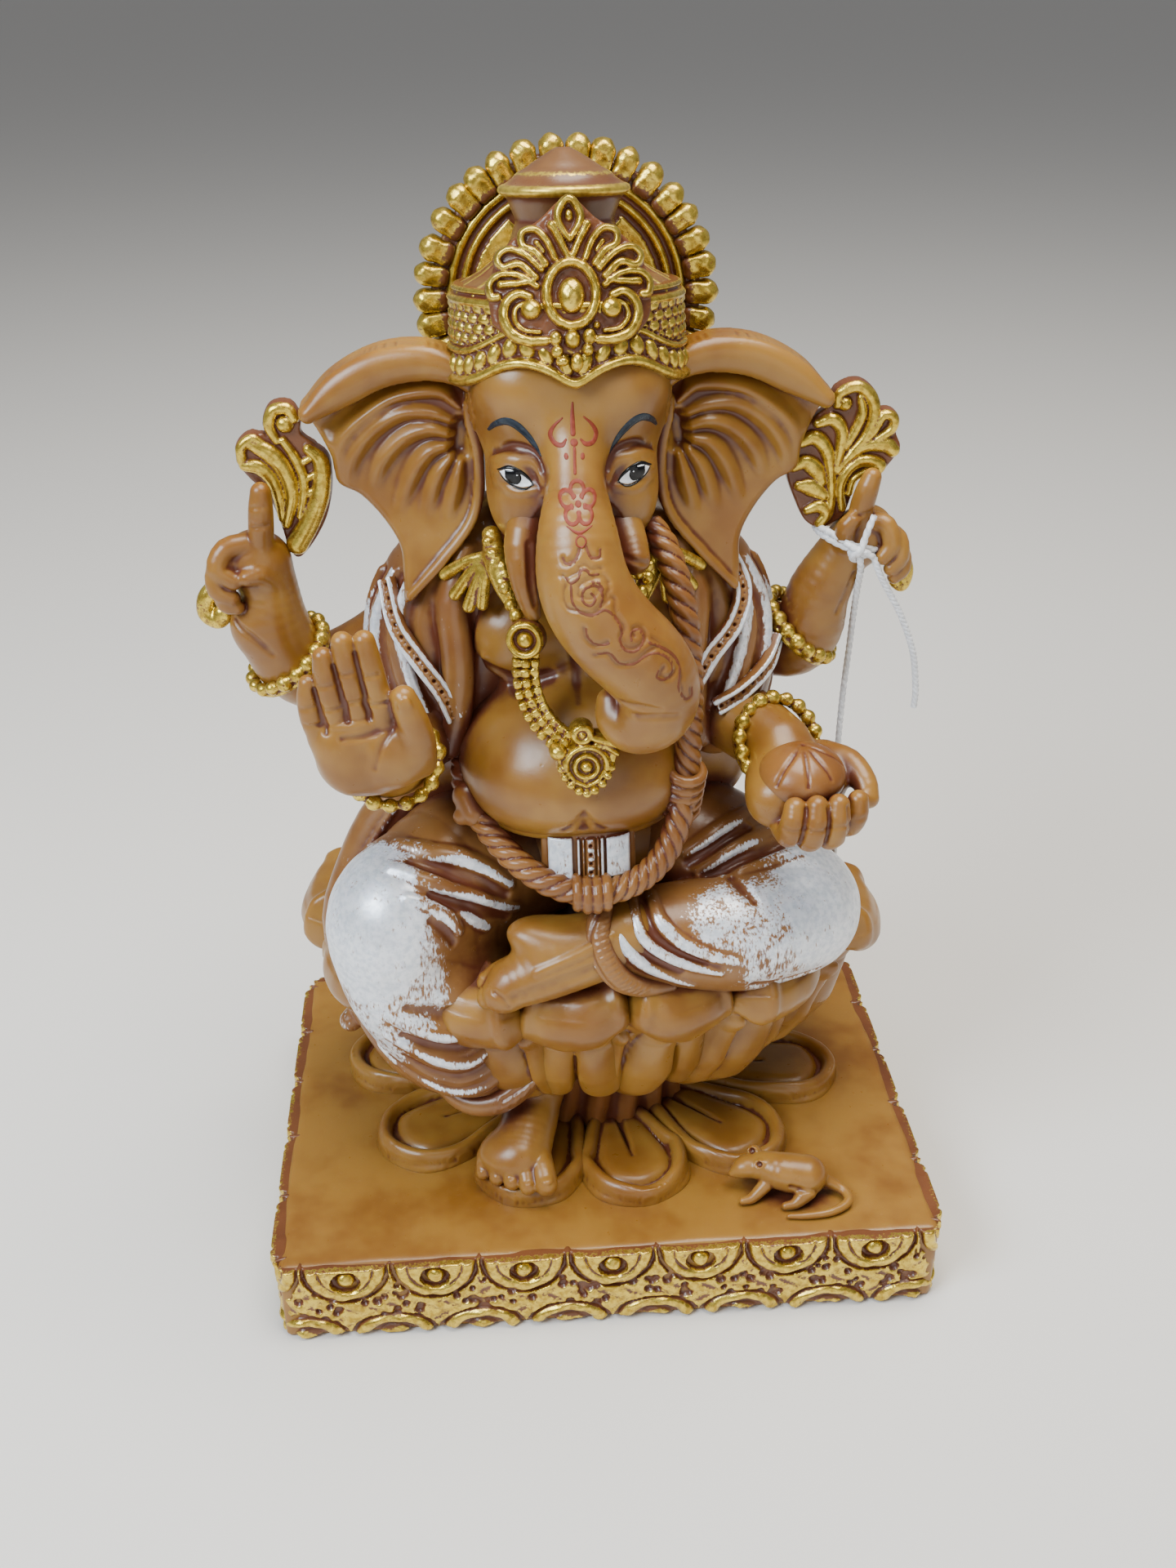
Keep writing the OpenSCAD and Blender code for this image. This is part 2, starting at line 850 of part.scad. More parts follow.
// The twisted thread hangs from the left of the neck, under the belly and up behind the right side
thread_points = [
    [10, -12, 146],
    [14.5, -17, 137],
    [16.5, -19, 126],
    [18, -18, 112],
    [17, -19, 101],
    [14, -23, 92],
    [8, -26, 86.5],
    [-2, -27.4, 84.4],
    [-12, -24.6, 87.4],
    [-19.5, -18, 92.4],
    [-24, -10, 98],
    [-24.5, -3, 105]
];
module sacred_thread() {
    path = smooth_path(thread_points, 4);
    radii = [for (p = path) thread_d / 2];
    color(dark_resin)
        union() {
            tube(path, radii, radii, [0.3, 0.2, 0.1], 10);
            translate([16.6, -19.6, 98.4])
                rotate([12, 14, 0])
                    cylinder(h = 8, r = thread_d * 0.72, center = true, $fn = round_fn);
        }
}

// A mouse on the plinth beside a petal, with its tail curled round in front
module mouse() {
    color(resin)
        union() {
            limb([
                [37.5, -33, 21.4, 4],
                [32, -32, 22, 3.4],
                [28.5, -30, 22.6, 2.8],
                [25.6, -29, 22.2, 1.4]
            ], limb_fn);
            for (ear = [[28.6, -28.4, 25], [30.6, -30.6, 25]])
                ball(concat(ear, 1.3), finger_fn);
            limb([[29, -33, 20.4, 1.3], [27, -36, 18.9, 1.1]], finger_fn);
            limb([[36, -35, 20.4, 1.5], [34.4, -37.8, 18.9, 1.1]], finger_fn);
            limb([
                [40.6, -33, 20, 1.2],
                [44.6, -33.6, 18.9, 1],
                [45.6, -36.6, 18.7, 0.9],
                [41.6, -39.4, 18.6, 0.8],
                [35, -39.6, 18.6, 0.7]
            ], finger_fn);
        }
}

// ---------- Hanging tag ----------

// Cotton string knotted round the raised left wrist: a bare tail, and a drop down to the tag
tail_route = [
    [48.5, -6.5, 135.5], [50, -6.5, 132], [52, -6, 128.5], [54, -5.5, 125],
    [55.6, -5, 121.5], [57, -4.5, 118], [58, -4, 114.5], [58.6, -3.5, 111],
    [59, -3.2, 108], [59, -3, 105]
];
drop_route = [
    [46.6, -5.6, 133], [47, -2.5, 128], [47.4, 0.5, 122], [47.6, 2.5, 115], [47.6, 4, 108],
    [47.6, 5, 101], [47.6, 5.4, 94], [47.8, 5.6, 87], [48, 5.8, 80]
];
module string_along(route) {
    radii = [for (p = route) string_d / 2];
    color(cotton)
        tube(route, radii, radii, [1, 0, 0.1], 8);
}
module tag_string_tail() { string_along(tail_route); }
module tag_string_drop() { string_along(drop_route); }

// Loop round the wrist with its knot in front
module tag_knot() {
    color(cotton)
        translate([47, 1, 134.5])
            rotate([0, 22, 0])
                union() {
                    rotate_extrude($fn = 48)
                        translate([wrist_r + 0.6, 0])
                            circle(string_d * 0.7, $fn = 16);
                    translate([0.6, -wrist_r - 1.4, 0])
                        sphere(string_d * 1.3, $fn = 24);
                }
}

module blank_tag() {
    color(cotton)
        translate([48.2, 6, 69])
            rotate([0, 0, 80])
                cube([14, 0.8, 22], center = true);
}

plinth();
frieze_front();
frieze_back();
frieze_right();
frieze_left();
for (i = [0:5])
    floor_petal(i);
floor_petals_back();
lotus_stem();
seat_pad();
for (i = [0:6])
    seat_petal(i);
seat_petals_back();
torso();
waist_buckle();
right_leg();
left_leg();
right_foot();
left_foot();
right_shawl();
left_shawl();
head();
trunk();
right_ear();
left_ear();
crown_band();
crown_crest();
crown_cap();
halo_disc();
halo_lobes_ring();
front_right_arm();
front_left_arm();
back_right_arm();
back_left_arm();
goad();
lotus_flame();
sweet_ball();
front_right_bracelet();
front_left_bracelet();
back_right_armlet();
back_left_armlet();
necklace();
collar_sprays();
sacred_thread();
mouse();
tag_knot();
tag_string_tail();
tag_string_drop();
blank_tag();
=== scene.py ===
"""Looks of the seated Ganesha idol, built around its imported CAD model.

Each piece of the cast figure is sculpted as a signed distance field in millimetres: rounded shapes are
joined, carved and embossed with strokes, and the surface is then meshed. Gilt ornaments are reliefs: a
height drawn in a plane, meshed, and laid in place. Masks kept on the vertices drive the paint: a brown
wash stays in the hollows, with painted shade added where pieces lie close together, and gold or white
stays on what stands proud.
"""
import math
from concurrent.futures import ThreadPoolExecutor
from functools import partial
import bpy
import numpy as np
import openvdb
from mathutils import Euler, Matrix, Vector


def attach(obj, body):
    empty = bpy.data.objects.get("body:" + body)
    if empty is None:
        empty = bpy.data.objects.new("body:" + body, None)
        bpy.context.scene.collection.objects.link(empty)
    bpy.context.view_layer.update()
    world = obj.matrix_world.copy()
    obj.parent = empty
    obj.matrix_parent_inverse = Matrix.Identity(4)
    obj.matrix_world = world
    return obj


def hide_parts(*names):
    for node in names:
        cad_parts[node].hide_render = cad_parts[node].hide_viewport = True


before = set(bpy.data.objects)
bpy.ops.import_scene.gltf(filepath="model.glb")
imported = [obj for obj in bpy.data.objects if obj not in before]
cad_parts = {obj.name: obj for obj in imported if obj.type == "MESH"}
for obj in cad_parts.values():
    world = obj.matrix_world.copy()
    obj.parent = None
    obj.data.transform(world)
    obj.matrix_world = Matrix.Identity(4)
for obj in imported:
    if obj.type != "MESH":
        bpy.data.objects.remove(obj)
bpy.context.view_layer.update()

MM = 0.001
CENTRE_X = -3.0            # the figure's centre plane, 3 mm to its own right of the plinth's middle
F = np.float32
THREADS = 4


# ------------------------------------------------------------------ camera, floor and light

def look_camera():
    """Camera at the photograph's viewing angle, above and in front of the idol."""
    data = bpy.data.cameras.new("camera")
    data.sensor_width = 36
    data.lens = 36.6
    data.clip_start = 0.01
    camera = bpy.data.objects.new("camera", data)
    camera.location = (-0.018, -0.2585, 0.234)
    yaw, pitch, roll = (math.radians(a) for a in (3.9, 29.0, -0.7))
    forward = Vector((math.sin(yaw) * math.cos(pitch), math.cos(yaw) * math.cos(pitch), -math.sin(pitch)))
    level = Vector((math.cos(yaw), -math.sin(yaw), 0))
    upward = level.cross(forward)
    right = level * math.cos(roll) + upward * math.sin(roll)
    up = upward * math.cos(roll) - level * math.sin(roll)
    camera.rotation_euler = Matrix((right, up, -forward)).transposed().to_euler()
    bpy.context.collection.objects.link(camera)
    bpy.context.scene.camera = camera


def add_area_light(name, place, target, size, power, colour):
    """A rectangular lamp at a place, aimed at a target."""
    data = bpy.data.lights.new(name, "AREA")
    data.shape = "RECTANGLE"
    data.size, data.size_y = size
    data.energy = power
    data.color = colour
    light = bpy.data.objects.new(name, data)
    light.location = place
    light.rotation_euler = (Vector(target) - Vector(place)).to_track_quat("-Z", "Y").to_euler()
    bpy.context.collection.objects.link(light)


def light_studio():
    """A soft cool window at the left, a broad warm lamp above, a faint fill in front and an even sky."""
    middle = (0, 0, 0.1)
    add_area_light("window", (-0.45, -0.35, 0.55), middle, (0.36, 0.30), 6.6, (0.80, 0.90, 1.0))
    add_area_light("ceiling", (0.10, -0.05, 0.80), middle, (0.5, 0.5), 9.5, (1.0, 0.95, 0.86))
    add_area_light("fill", (0.15, -0.7, 0.25), middle, (0.6, 0.4), 0.9, (1.0, 0.97, 0.93))
    world = bpy.data.worlds.new("sky")
    world.use_nodes = True
    world.node_tree.nodes["Background"].inputs["Color"].default_value = (0.93, 0.94, 0.96, 1)
    world.node_tree.nodes["Background"].inputs["Strength"].default_value = 0.25
    bpy.context.scene.world = world


def lay_floor():
    """A wide, plain, pale floor."""
    bpy.ops.mesh.primitive_plane_add(size=40, location=(0, 0, 0))
    floor = bpy.context.object
    floor.name = "floor"
    material = bpy.data.materials.new("pale_floor")
    material.use_nodes = True
    shader = material.node_tree.nodes["Principled BSDF"]
    shader.inputs["Base Color"].default_value = (0.76, 0.74, 0.71, 1)
    shader.inputs["Roughness"].default_value = 0.7
    floor.data.materials.append(material)


# ------------------------------------------------------------------ curves and turns

def v3(*numbers):
    """Numbers as a single-precision row."""
    return np.array(numbers, F)


def spline(points, steps=6):
    """Points along a smooth curve through rows of numbers; every column is interpolated."""
    p = np.array(points, float)
    padded = np.vstack([2 * p[0] - p[1], p, 2 * p[-1] - p[-2]])
    rows = []
    for i in range(1, len(padded) - 2):
        a, b, c, d = padded[i - 1:i + 3]
        for s in range(steps):
            t = s / steps
            rows.append(0.5 * (2 * b + (c - a) * t + (2 * a - 5 * b + 4 * c - d) * t * t
                               + (3 * b - a - 3 * c + d) * t ** 3))
    rows.append(p[-1])
    return np.array(rows)


def turn_matrix(turn):
    """Columns are the turned axes; turn is in degrees about X, then Y, then Z."""
    return np.array(Euler([math.radians(a) for a in turn]).to_matrix(), F)


def to_side(side, x):
    """An x given on the figure's right side, kept there (side < 0) or reflected in its centre plane."""
    return x if side < 0 else 2 * CENTRE_X - x


def on_side(side, rows):
    """Rows of [x, y, z, ...] given on the figure's right side, kept there or reflected."""
    return [[to_side(side, row[0]), *row[1:]] for row in rows]


# ------------------------------------------------------------------ distance shapes
# A shape has a box (lo, hi) and d(x, y, z): distance to its surface, negative inside.

class Ellipsoid:
    def __init__(self, at, radii, turn=None):
        self.at, self.radii = v3(*at), v3(*radii)
        self.axes = None if turn is None else turn_matrix(turn)
        reach = self.radii if turn is None else np.full(3, self.radii.max(), F)
        self.lo, self.hi = self.at - reach, self.at + reach

    def d(self, x, y, z):
        x, y, z = into(self.at, self.axes, x, y, z)
        a, b, c = self.radii
        x, y, z = x / a, y / b, z / c
        k0 = np.sqrt(x * x + y * y + z * z)
        k1 = np.sqrt((x / a) ** 2 + (y / b) ** 2 + (z / c) ** 2)
        return k0 * (k0 - 1) / np.maximum(k1, 1e-6)


class Box:
    def __init__(self, at, half, edge=0.5, turn=None):
        self.at, self.half, self.edge = v3(*at), v3(*half) - F(edge), F(edge)
        self.axes = None if turn is None else turn_matrix(turn)
        reach = np.abs(v3(*half)) if turn is None else np.full(3, np.linalg.norm(half), F)
        self.lo, self.hi = self.at - reach, self.at + reach

    def d(self, x, y, z):
        x, y, z = into(self.at, self.axes, x, y, z)
        x, y, z = abs(x) - self.half[0], abs(y) - self.half[1], abs(z) - self.half[2]
        outside = np.sqrt(np.maximum(x, 0) ** 2 + np.maximum(y, 0) ** 2 + np.maximum(z, 0) ** 2)
        return outside + np.minimum(np.maximum(x, np.maximum(y, z)), 0) - self.edge


class Tube:
    """A round limb through rows of [x, y, z, radius]."""

    def __init__(self, rows, steps=3):
        self.rows = spline(rows, steps).astype(F) if steps > 1 else np.array(rows, F)
        self.lo = (self.rows[:, :3] - self.rows[:, 3:]).min(0)
        self.hi = (self.rows[:, :3] + self.rows[:, 3:]).max(0)

    def d(self, x, y, z):
        best = None
        for i in self.near(x, y, z):
            a, b = self.rows[i], self.rows[i + 1]
            gap, t = to_segment(a, b, x, y, z)
            gap -= a[3] + (b[3] - a[3]) * t
            best = gap if best is None else np.minimum(best, gap)
        return best

    def near(self, x, y, z):
        """The stretches of the limb that can be nearest to any of the places."""
        lo, hi = v3(x.min(), y.min(), z.min()), v3(x.max(), y.max(), z.max())
        centre, reach = (lo + hi) / 2, np.linalg.norm(hi - lo) / 2
        a, along = self.rows[:-1, :3], np.diff(self.rows[:, :3], axis=0)
        t = np.clip(((centre - a) * along).sum(1) / np.maximum((along ** 2).sum(1), 1e-9), 0, 1)
        gap = np.linalg.norm(centre - a - t[:, None] * along, axis=1)
        gap -= self.rows[:-1, 3] + np.diff(self.rows[:, 3]) * t
        return np.nonzero(gap <= gap.min() + 2 * reach + 0.5)[0]


def into(at, axes, x, y, z):
    """Places as seen from a shape's own middle and axes."""
    x, y, z = x - at[0], y - at[1], z - at[2]
    if axes is None:
        return x, y, z
    return (x * axes[0, 0] + y * axes[1, 0] + z * axes[2, 0],
            x * axes[0, 1] + y * axes[1, 1] + z * axes[2, 1],
            x * axes[0, 2] + y * axes[1, 2] + z * axes[2, 2])


def to_segment(a, b, x, y, z):
    """Distance to a segment, and how far along it the nearest point is, from 0 to 1."""
    along = b[:3] - a[:3]
    x, y, z = x - a[0], y - a[1], z - a[2]
    size = max(float(along @ along), 1e-9)
    t = np.clip((x * along[0] + y * along[1] + z * along[2]) / F(size), 0, 1)
    x, y, z = x - t * along[0], y - t * along[1], z - t * along[2]
    return np.sqrt(x * x + y * y + z * z), t


class Stroke:
    """A ridge (height > 0) or groove along rows of [x, y, z, width, height]; it fades over the width."""

    def __init__(self, rows, steps=4):
        self.rows = spline(rows, steps).astype(F)
        wide = self.rows[:, 3:4]
        self.lo = (self.rows[:, :3] - wide).min(0)
        self.hi = (self.rows[:, :3] + wide).max(0)

    def snap(self, clay):
        """Moves the stroke's points onto the clay's present surface."""
        p = self.rows[:, :3].copy()
        for _ in range(4):
            value, slope = clay.slope_at(p)
            p -= (value[:, None] * slope).astype(F)
        self.rows[:, :3] = p
        wide = self.rows[:, 3:4]
        self.lo, self.hi = (p - wide).min(0), (p + wide).max(0)
        return self

    def bump(self, x, y, z):
        total = np.zeros_like(x)
        lo = (x.min(), y.min(), z.min())
        hi = (x.max(), y.max(), z.max())
        for a, b in zip(self.rows[:-1], self.rows[1:]):
            wide = max(a[3], b[3])
            if any(min(a[i], b[i]) - wide > hi[i] or max(a[i], b[i]) + wide < lo[i] for i in range(3)):
                continue
            gap, t = to_segment(a, b, x, y, z)
            share = gap / np.maximum(a[3] + (b[3] - a[3]) * t, 1e-3)
            rise = (a[4] + (b[4] - a[4]) * t) * np.maximum(1 - share * share, 0) ** 2
            total = np.where(abs(rise) > abs(total), rise, total)
        return total


# ------------------------------------------------------------------ clay: a sculpted body

BLOCK = 18


class Clay:
    """Shapes joined, cut and embossed in order, then meshed on a grid of the given cell size."""

    def __init__(self, cell):
        self.cell = cell * 1.0
        self.steps = []

    def add(self, shape, blend=0.0):
        self.steps.append(("add", shape, blend))
        return self

    def cut(self, shape, blend=0.0):
        self.steps.append(("cut", shape, blend))
        return self

    def keep(self, shape, blend=0.0):
        self.steps.append(("keep", shape, blend))
        return self

    def emboss(self, rows, steps=4):
        self.steps.append(("emboss", Stroke(rows, steps).snap(self), 0.0))
        return self

    def warp(self, height):
        """height(x, y, z) raises the whole surface by that much."""
        self.steps.append(("warp", height, 0.0))
        return self

    def value(self, x, y, z):
        d = np.full(x.shape, 50, F)
        lo = np.array([x.min(), y.min(), z.min()])
        hi = np.array([x.max(), y.max(), z.max()])
        pad = float((hi - lo).max()) * 0.9 + 1
        for kind, shape, blend in self.steps:
            if kind == "warp":
                d = d - shape(x, y, z)
                continue
            reach = 0 if kind == "emboss" else (1e9 if kind == "keep" else blend + pad)
            if ((shape.lo - reach > hi) | (shape.hi + reach < lo)).any():
                continue
            if kind == "emboss":
                d = d - shape.bump(x, y, z)
                continue
            e = shape.d(x, y, z)
            if kind == "add":
                d = soft_min(d, e, blend)
            elif kind == "cut":
                d = -soft_min(-d, e, blend)
            else:
                d = -soft_min(-d, -e, blend)
        return d

    def slope_at(self, p):
        """Value and unit gradient of the field at rows of points."""
        h = F(0.15)
        n = len(p)
        moved = [p] + [p + h * np.eye(3, dtype=F)[i] for i in range(3)]
        q = np.vstack(moved).astype(F)
        d = self.value(q[:, 0].copy(), q[:, 1].copy(), q[:, 2].copy())
        slope = np.stack([d[n * (i + 1):n * (i + 2)] - d[:n] for i in range(3)], 1)
        slope /= np.maximum(np.linalg.norm(slope, axis=1, keepdims=True), 1e-6)
        return d[:n], slope

    def grid(self):
        """The field on a grid: exact near the surface, and only inside or outside away from it."""
        grown = [s for k, s, _ in self.steps if k == "add"]
        lo = np.min([s.lo for s in grown], 0) - 2.5
        hi = np.max([s.hi for s in grown], 0) + 2.5
        blocks = np.ceil((hi - lo) / self.cell / BLOCK).astype(int)
        self.origin = lo
        field = np.full(blocks * BLOCK, 3, F)
        side = BLOCK * self.cell
        centres = np.indices(blocks).reshape(3, -1).T * side + lo + side / 2
        rough = np.concatenate([
            self.value(*[c.astype(F) for c in part.T])
            for part in np.array_split(centres, max(1, len(centres) // 64))])
        near = abs(rough) < side * 0.87 * 1.35 + 0.8
        steps = (np.arange(BLOCK) * self.cell).astype(F)
        gx, gy, gz = np.meshgrid(steps, steps, steps, indexing="ij")
        gx, gy, gz = gx.ravel(), gy.ravel(), gz.ravel()
        for number, (i, j, k) in enumerate(np.indices(blocks).reshape(3, -1).T):
            at = (slice(i * BLOCK, (i + 1) * BLOCK), slice(j * BLOCK, (j + 1) * BLOCK),
                  slice(k * BLOCK, (k + 1) * BLOCK))
            if near[number]:
                corner = (lo + np.array([i, j, k]) * side).astype(F)
                field[at] = self.value(gx + corner[0], gy + corner[1],
                                       gz + corner[2]).reshape(BLOCK, BLOCK, BLOCK)
            elif rough[number] < 0:
                field[at] = -3
        return field

    def surface(self):
        field = self.grid()
        points, quads = contour(field)
        inside = np.argwhere(field[::2, ::2, ::2] < 0) * (2 * self.cell) + self.origin
        return points * self.cell + self.origin, quads, (inside, (2 * self.cell) ** 3)


def soft_min(a, b, blend):
    """The smaller of two distances, rounded off within the blend where they meet."""
    if blend <= 0:
        return np.minimum(a, b)
    h = np.clip(0.5 + 0.5 * (a - b) / F(blend), 0, 1)
    return a + (b - a) * h - F(blend) * h * (1 - h)


def contour(field):
    """Quads on the zero surface of a grid, with points in grid steps."""
    grid = openvdb.FloatGrid(3.0)
    grid.copyFromArray(np.clip(field, -3, 3))
    points, quads = grid.convertToQuads(0.0)
    return points.astype(float), quads.astype(np.int64)


# ------------------------------------------------------------------ reliefs: heights drawn in a plane

class Drawing:
    """Heights in millimetres over a plane: u runs to the viewer's right and w upwards."""

    def __init__(self, lo, hi, cell):
        self.cell = cell * 1.0
        self.lo = np.array(lo, float)
        counts = np.ceil((np.array(hi, float) - self.lo) / self.cell).astype(int) + 1
        self.u, self.w = np.meshgrid(*[np.arange(n) * self.cell + s for n, s in zip(counts, self.lo)],
                                     indexing="ij")
        self.height = np.zeros_like(self.u)
        self.rim = np.full_like(self.u, 50.0)

    def gap(self, points, steps=6):
        """Distance from every place to a smooth line, and the line's own third and fourth columns there."""
        rows = spline(points, steps) if steps > 1 else np.array(points, float)
        best = np.full_like(self.u, 1e3)
        extra = np.zeros(self.u.shape + (rows.shape[1] - 2,))
        for a, b in zip(rows[:-1], rows[1:]):
            along = b[:2] - a[:2]
            x, y = self.u - a[0], self.w - a[1]
            t = np.clip((x * along[0] + y * along[1]) / max(along @ along, 1e-9), 0, 1)
            gap = np.hypot(x - t * along[0], y - t * along[1])
            nearer = gap < best
            best = np.where(nearer, gap, best)
            extra[nearer] = (a[2:] + t[..., None] * (b[2:] - a[2:]))[nearer]
        return best, extra

    def raise_to(self, height, rim):
        self.height = np.maximum(self.height, height)
        self.rim = np.minimum(self.rim, rim)
        return self

    def cord(self, points, steps=6, floor=0.0):
        """A rounded cord along rows of [u, w, half width, height]."""
        gap, extra = self.gap(points, steps)
        share = np.clip(gap / np.maximum(extra[..., 0], 1e-3), 0, 1)
        inside = gap < extra[..., 0]
        return self.raise_to(np.where(inside, floor + extra[..., 1] * np.sqrt(1 - share ** 2), 0),
                             gap - extra[..., 0])

    def groove(self, points, steps=6):
        """A groove along rows of [u, w, half width, depth]."""
        gap, extra = self.gap(points, steps)
        share = np.clip(gap / np.maximum(extra[..., 0], 1e-3), 0, 1)
        self.height = self.height - extra[..., 1] * (1 - share ** 2) ** 2
        return self

    def swell(self, points, steps=6):
        """A soft ridge laid over what is there, along rows of [u, w, half width, height]."""
        return self.groove([(*row[:3], -row[3]) for row in points], steps)

    def dome(self, u, w, half_u, half_w, height, floor=0.0, turn=0.0):
        """A rounded boss."""
        c, s = math.cos(math.radians(turn)), math.sin(math.radians(turn))
        x, y = (self.u - u) * c + (self.w - w) * s, (self.w - w) * c - (self.u - u) * s
        share = np.hypot(x / half_u, y / half_w)
        inside = share < 1
        dome = np.where(inside, floor + height * np.sqrt(np.maximum(1 - share ** 2, 0)), 0)
        return self.raise_to(dome, (share - 1) * min(half_u, half_w))

    def ring(self, u, w, half_u, half_w, thick, height, floor=0.0, start=0, sweep=360, end_thick=None):
        """A rounded cord round an ellipse or along part of it."""
        turns = np.radians(np.linspace(start, start + sweep, 25))
        ends = np.linspace(thick, thick if end_thick is None else end_thick, 25)
        rows = np.stack([u + half_u * np.cos(turns), w + half_w * np.sin(turns), ends,
                         np.full(25, height)], 1)
        return self.cord(rows, steps=1, floor=floor)

    def fill(self, outline, height, steps=6, edge=0.25):
        """A flat-topped field inside a closed outline of [u, w] rows, with a rounded edge."""
        rows = spline(list(outline) + [outline[0]],
                      steps) if steps > 1 else np.array(list(outline) + [outline[0]], float)
        best = np.full_like(self.u, 1e3)
        inside = np.zeros(self.u.shape, bool)
        for a, b in zip(rows[:-1], rows[1:]):
            along = b - a
            x, y = self.u - a[0], self.w - a[1]
            t = np.clip((x * along[0] + y * along[1]) / max(along @ along, 1e-9), 0, 1)
            best = np.minimum(best, np.hypot(x - t * along[0], y - t * along[1]))
            crosses = (a[1] > self.w) != (b[1] > self.w)
            if along[1]:
                inside ^= crosses & (self.u < a[0] + (self.w - a[1]) * along[0] / along[1])
        rim = np.where(inside, -best, best)
        rise = height * np.sqrt(1 - np.clip(1 + rim / edge, 0, 1) ** 2)
        return self.raise_to(np.where(inside, rise, 0), rim)

    def surface(self, back, place, smooth=1):
        """The drawing as a closed plate from depth -back up to its heights, bent into place."""
        high = self.height.max() + 3 * self.cell
        depth = np.arange(int(math.ceil((high + back) / self.cell)) + 4) * self.cell - back - 2 * self.cell
        above = depth[None, None, :] - self.height[..., None]
        field = np.maximum(np.maximum(above, -depth[None, None, :] - back), self.rim[..., None]) / self.cell
        points, quads = contour(np.pad(field, 1, constant_values=3).astype(F))
        points = (points - 1) * self.cell
        points = relaxed(points, quads, smooth)
        u, w, n = points[:, 0] + self.lo[0], points[:, 1] + self.lo[1], points[:, 2] - back - 2 * self.cell
        return np.stack(place(u, w, n), 1), quads, n


def plane_at(origin, tilt=0.0, turn=0.0):
    """Places a drawing upright, facing -Y, then leans its top back by tilt and turns it about Z."""
    lean, spin = math.radians(tilt), math.radians(turn)

    def place(u, w, n):
        y = -n * math.cos(lean) + w * math.sin(lean)
        z = w * math.cos(lean) + n * math.sin(lean)
        x = u * math.cos(spin) - y * math.sin(spin)
        return x + origin[0], u * math.sin(spin) + y * math.cos(spin) + origin[1], z + origin[2]
    return place


def front_of(clay, x, z, start=-48.0):
    """Where lines along +Y first meet the clay."""
    x, z = x.ravel().astype(F), z.ravel().astype(F)
    y = np.full(x.shape, start, F)
    for _ in range(26):
        y = y + np.clip(clay.value(x, y, z) * 0.8, -1, 6)
    return y


def onto(clay, lo, hi, step=0.4):
    """Places a drawing made in X and Z on the front of a clay, between two corners."""
    counts = np.ceil((np.array(hi, float) - lo) / step).astype(int) + 2
    x, z = np.meshgrid(*[np.arange(n) * step + s for n, s in zip(counts, lo)], indexing="ij")
    front = front_of(clay, x, z).reshape(x.shape)

    def place(u, w, n):
        i = np.clip((u - lo[0]) / step, 0, counts[0] - 1.001)
        j = np.clip((w - lo[1]) / step, 0, counts[1] - 1.001)
        a, b = i.astype(int), j.astype(int)
        i, j = i - a, j - b
        y = ((1 - i) * (1 - j) * front[a, b] + i * (1 - j) * front[a + 1, b]
             + (1 - i) * j * front[a, b + 1] + i * j * front[a + 1, b + 1])
        return u, y - n, w
    return place


# ------------------------------------------------------------------ meshes, masks and pieces

def neighbour_mean(values, quads, count):
    """Mean of each point's neighbours, for a column or rows of values."""
    values = values.reshape(len(values), -1)
    total = np.zeros_like(values)
    weight = np.zeros(len(values))
    for i in range(4):
        a, b = quads[:, i], quads[:, (i + 1) % 4]
        for p, q in ((a, b), (b, a)):
            weight += np.bincount(p, minlength=count)
            for c in range(values.shape[1]):
                total[:, c] += np.bincount(p, values[q, c], minlength=count)
    return np.squeeze(total / np.maximum(weight, 1)[:, None])


def relaxed(points, quads, rounds):
    """Smooths away the grid's steps without shrinking the shape."""
    for _ in range(rounds):
        points = points + 0.55 * (neighbour_mean(points, quads, len(points)) - points)
        points = points - 0.45 * (neighbour_mean(points, quads, len(points)) - points)
    return points


def point_normals(points, quads):
    """Unit normals at the points, from the quads round each."""
    p = points[quads]
    face = np.cross(p[:, 2] - p[:, 0], p[:, 3] - p[:, 1])
    normal = np.zeros_like(points)
    for i in range(4):
        for c in range(3):
            normal[:, c] += np.bincount(quads[:, i], face[:, c], minlength=len(points))
    return normal / np.maximum(np.linalg.norm(normal, axis=1, keepdims=True), 1e-12)


def hollowness(points, quads, normals, rounds):
    """How hollow the surface is at each point, in millimetres: positive in grooves, negative on crests."""
    dip = ((neighbour_mean(points, quads, len(points)) - points) * normals).sum(1)
    total = dip.copy()
    for _ in range(rounds):
        dip = neighbour_mean(dip, quads, len(points))
        total += dip
    return total


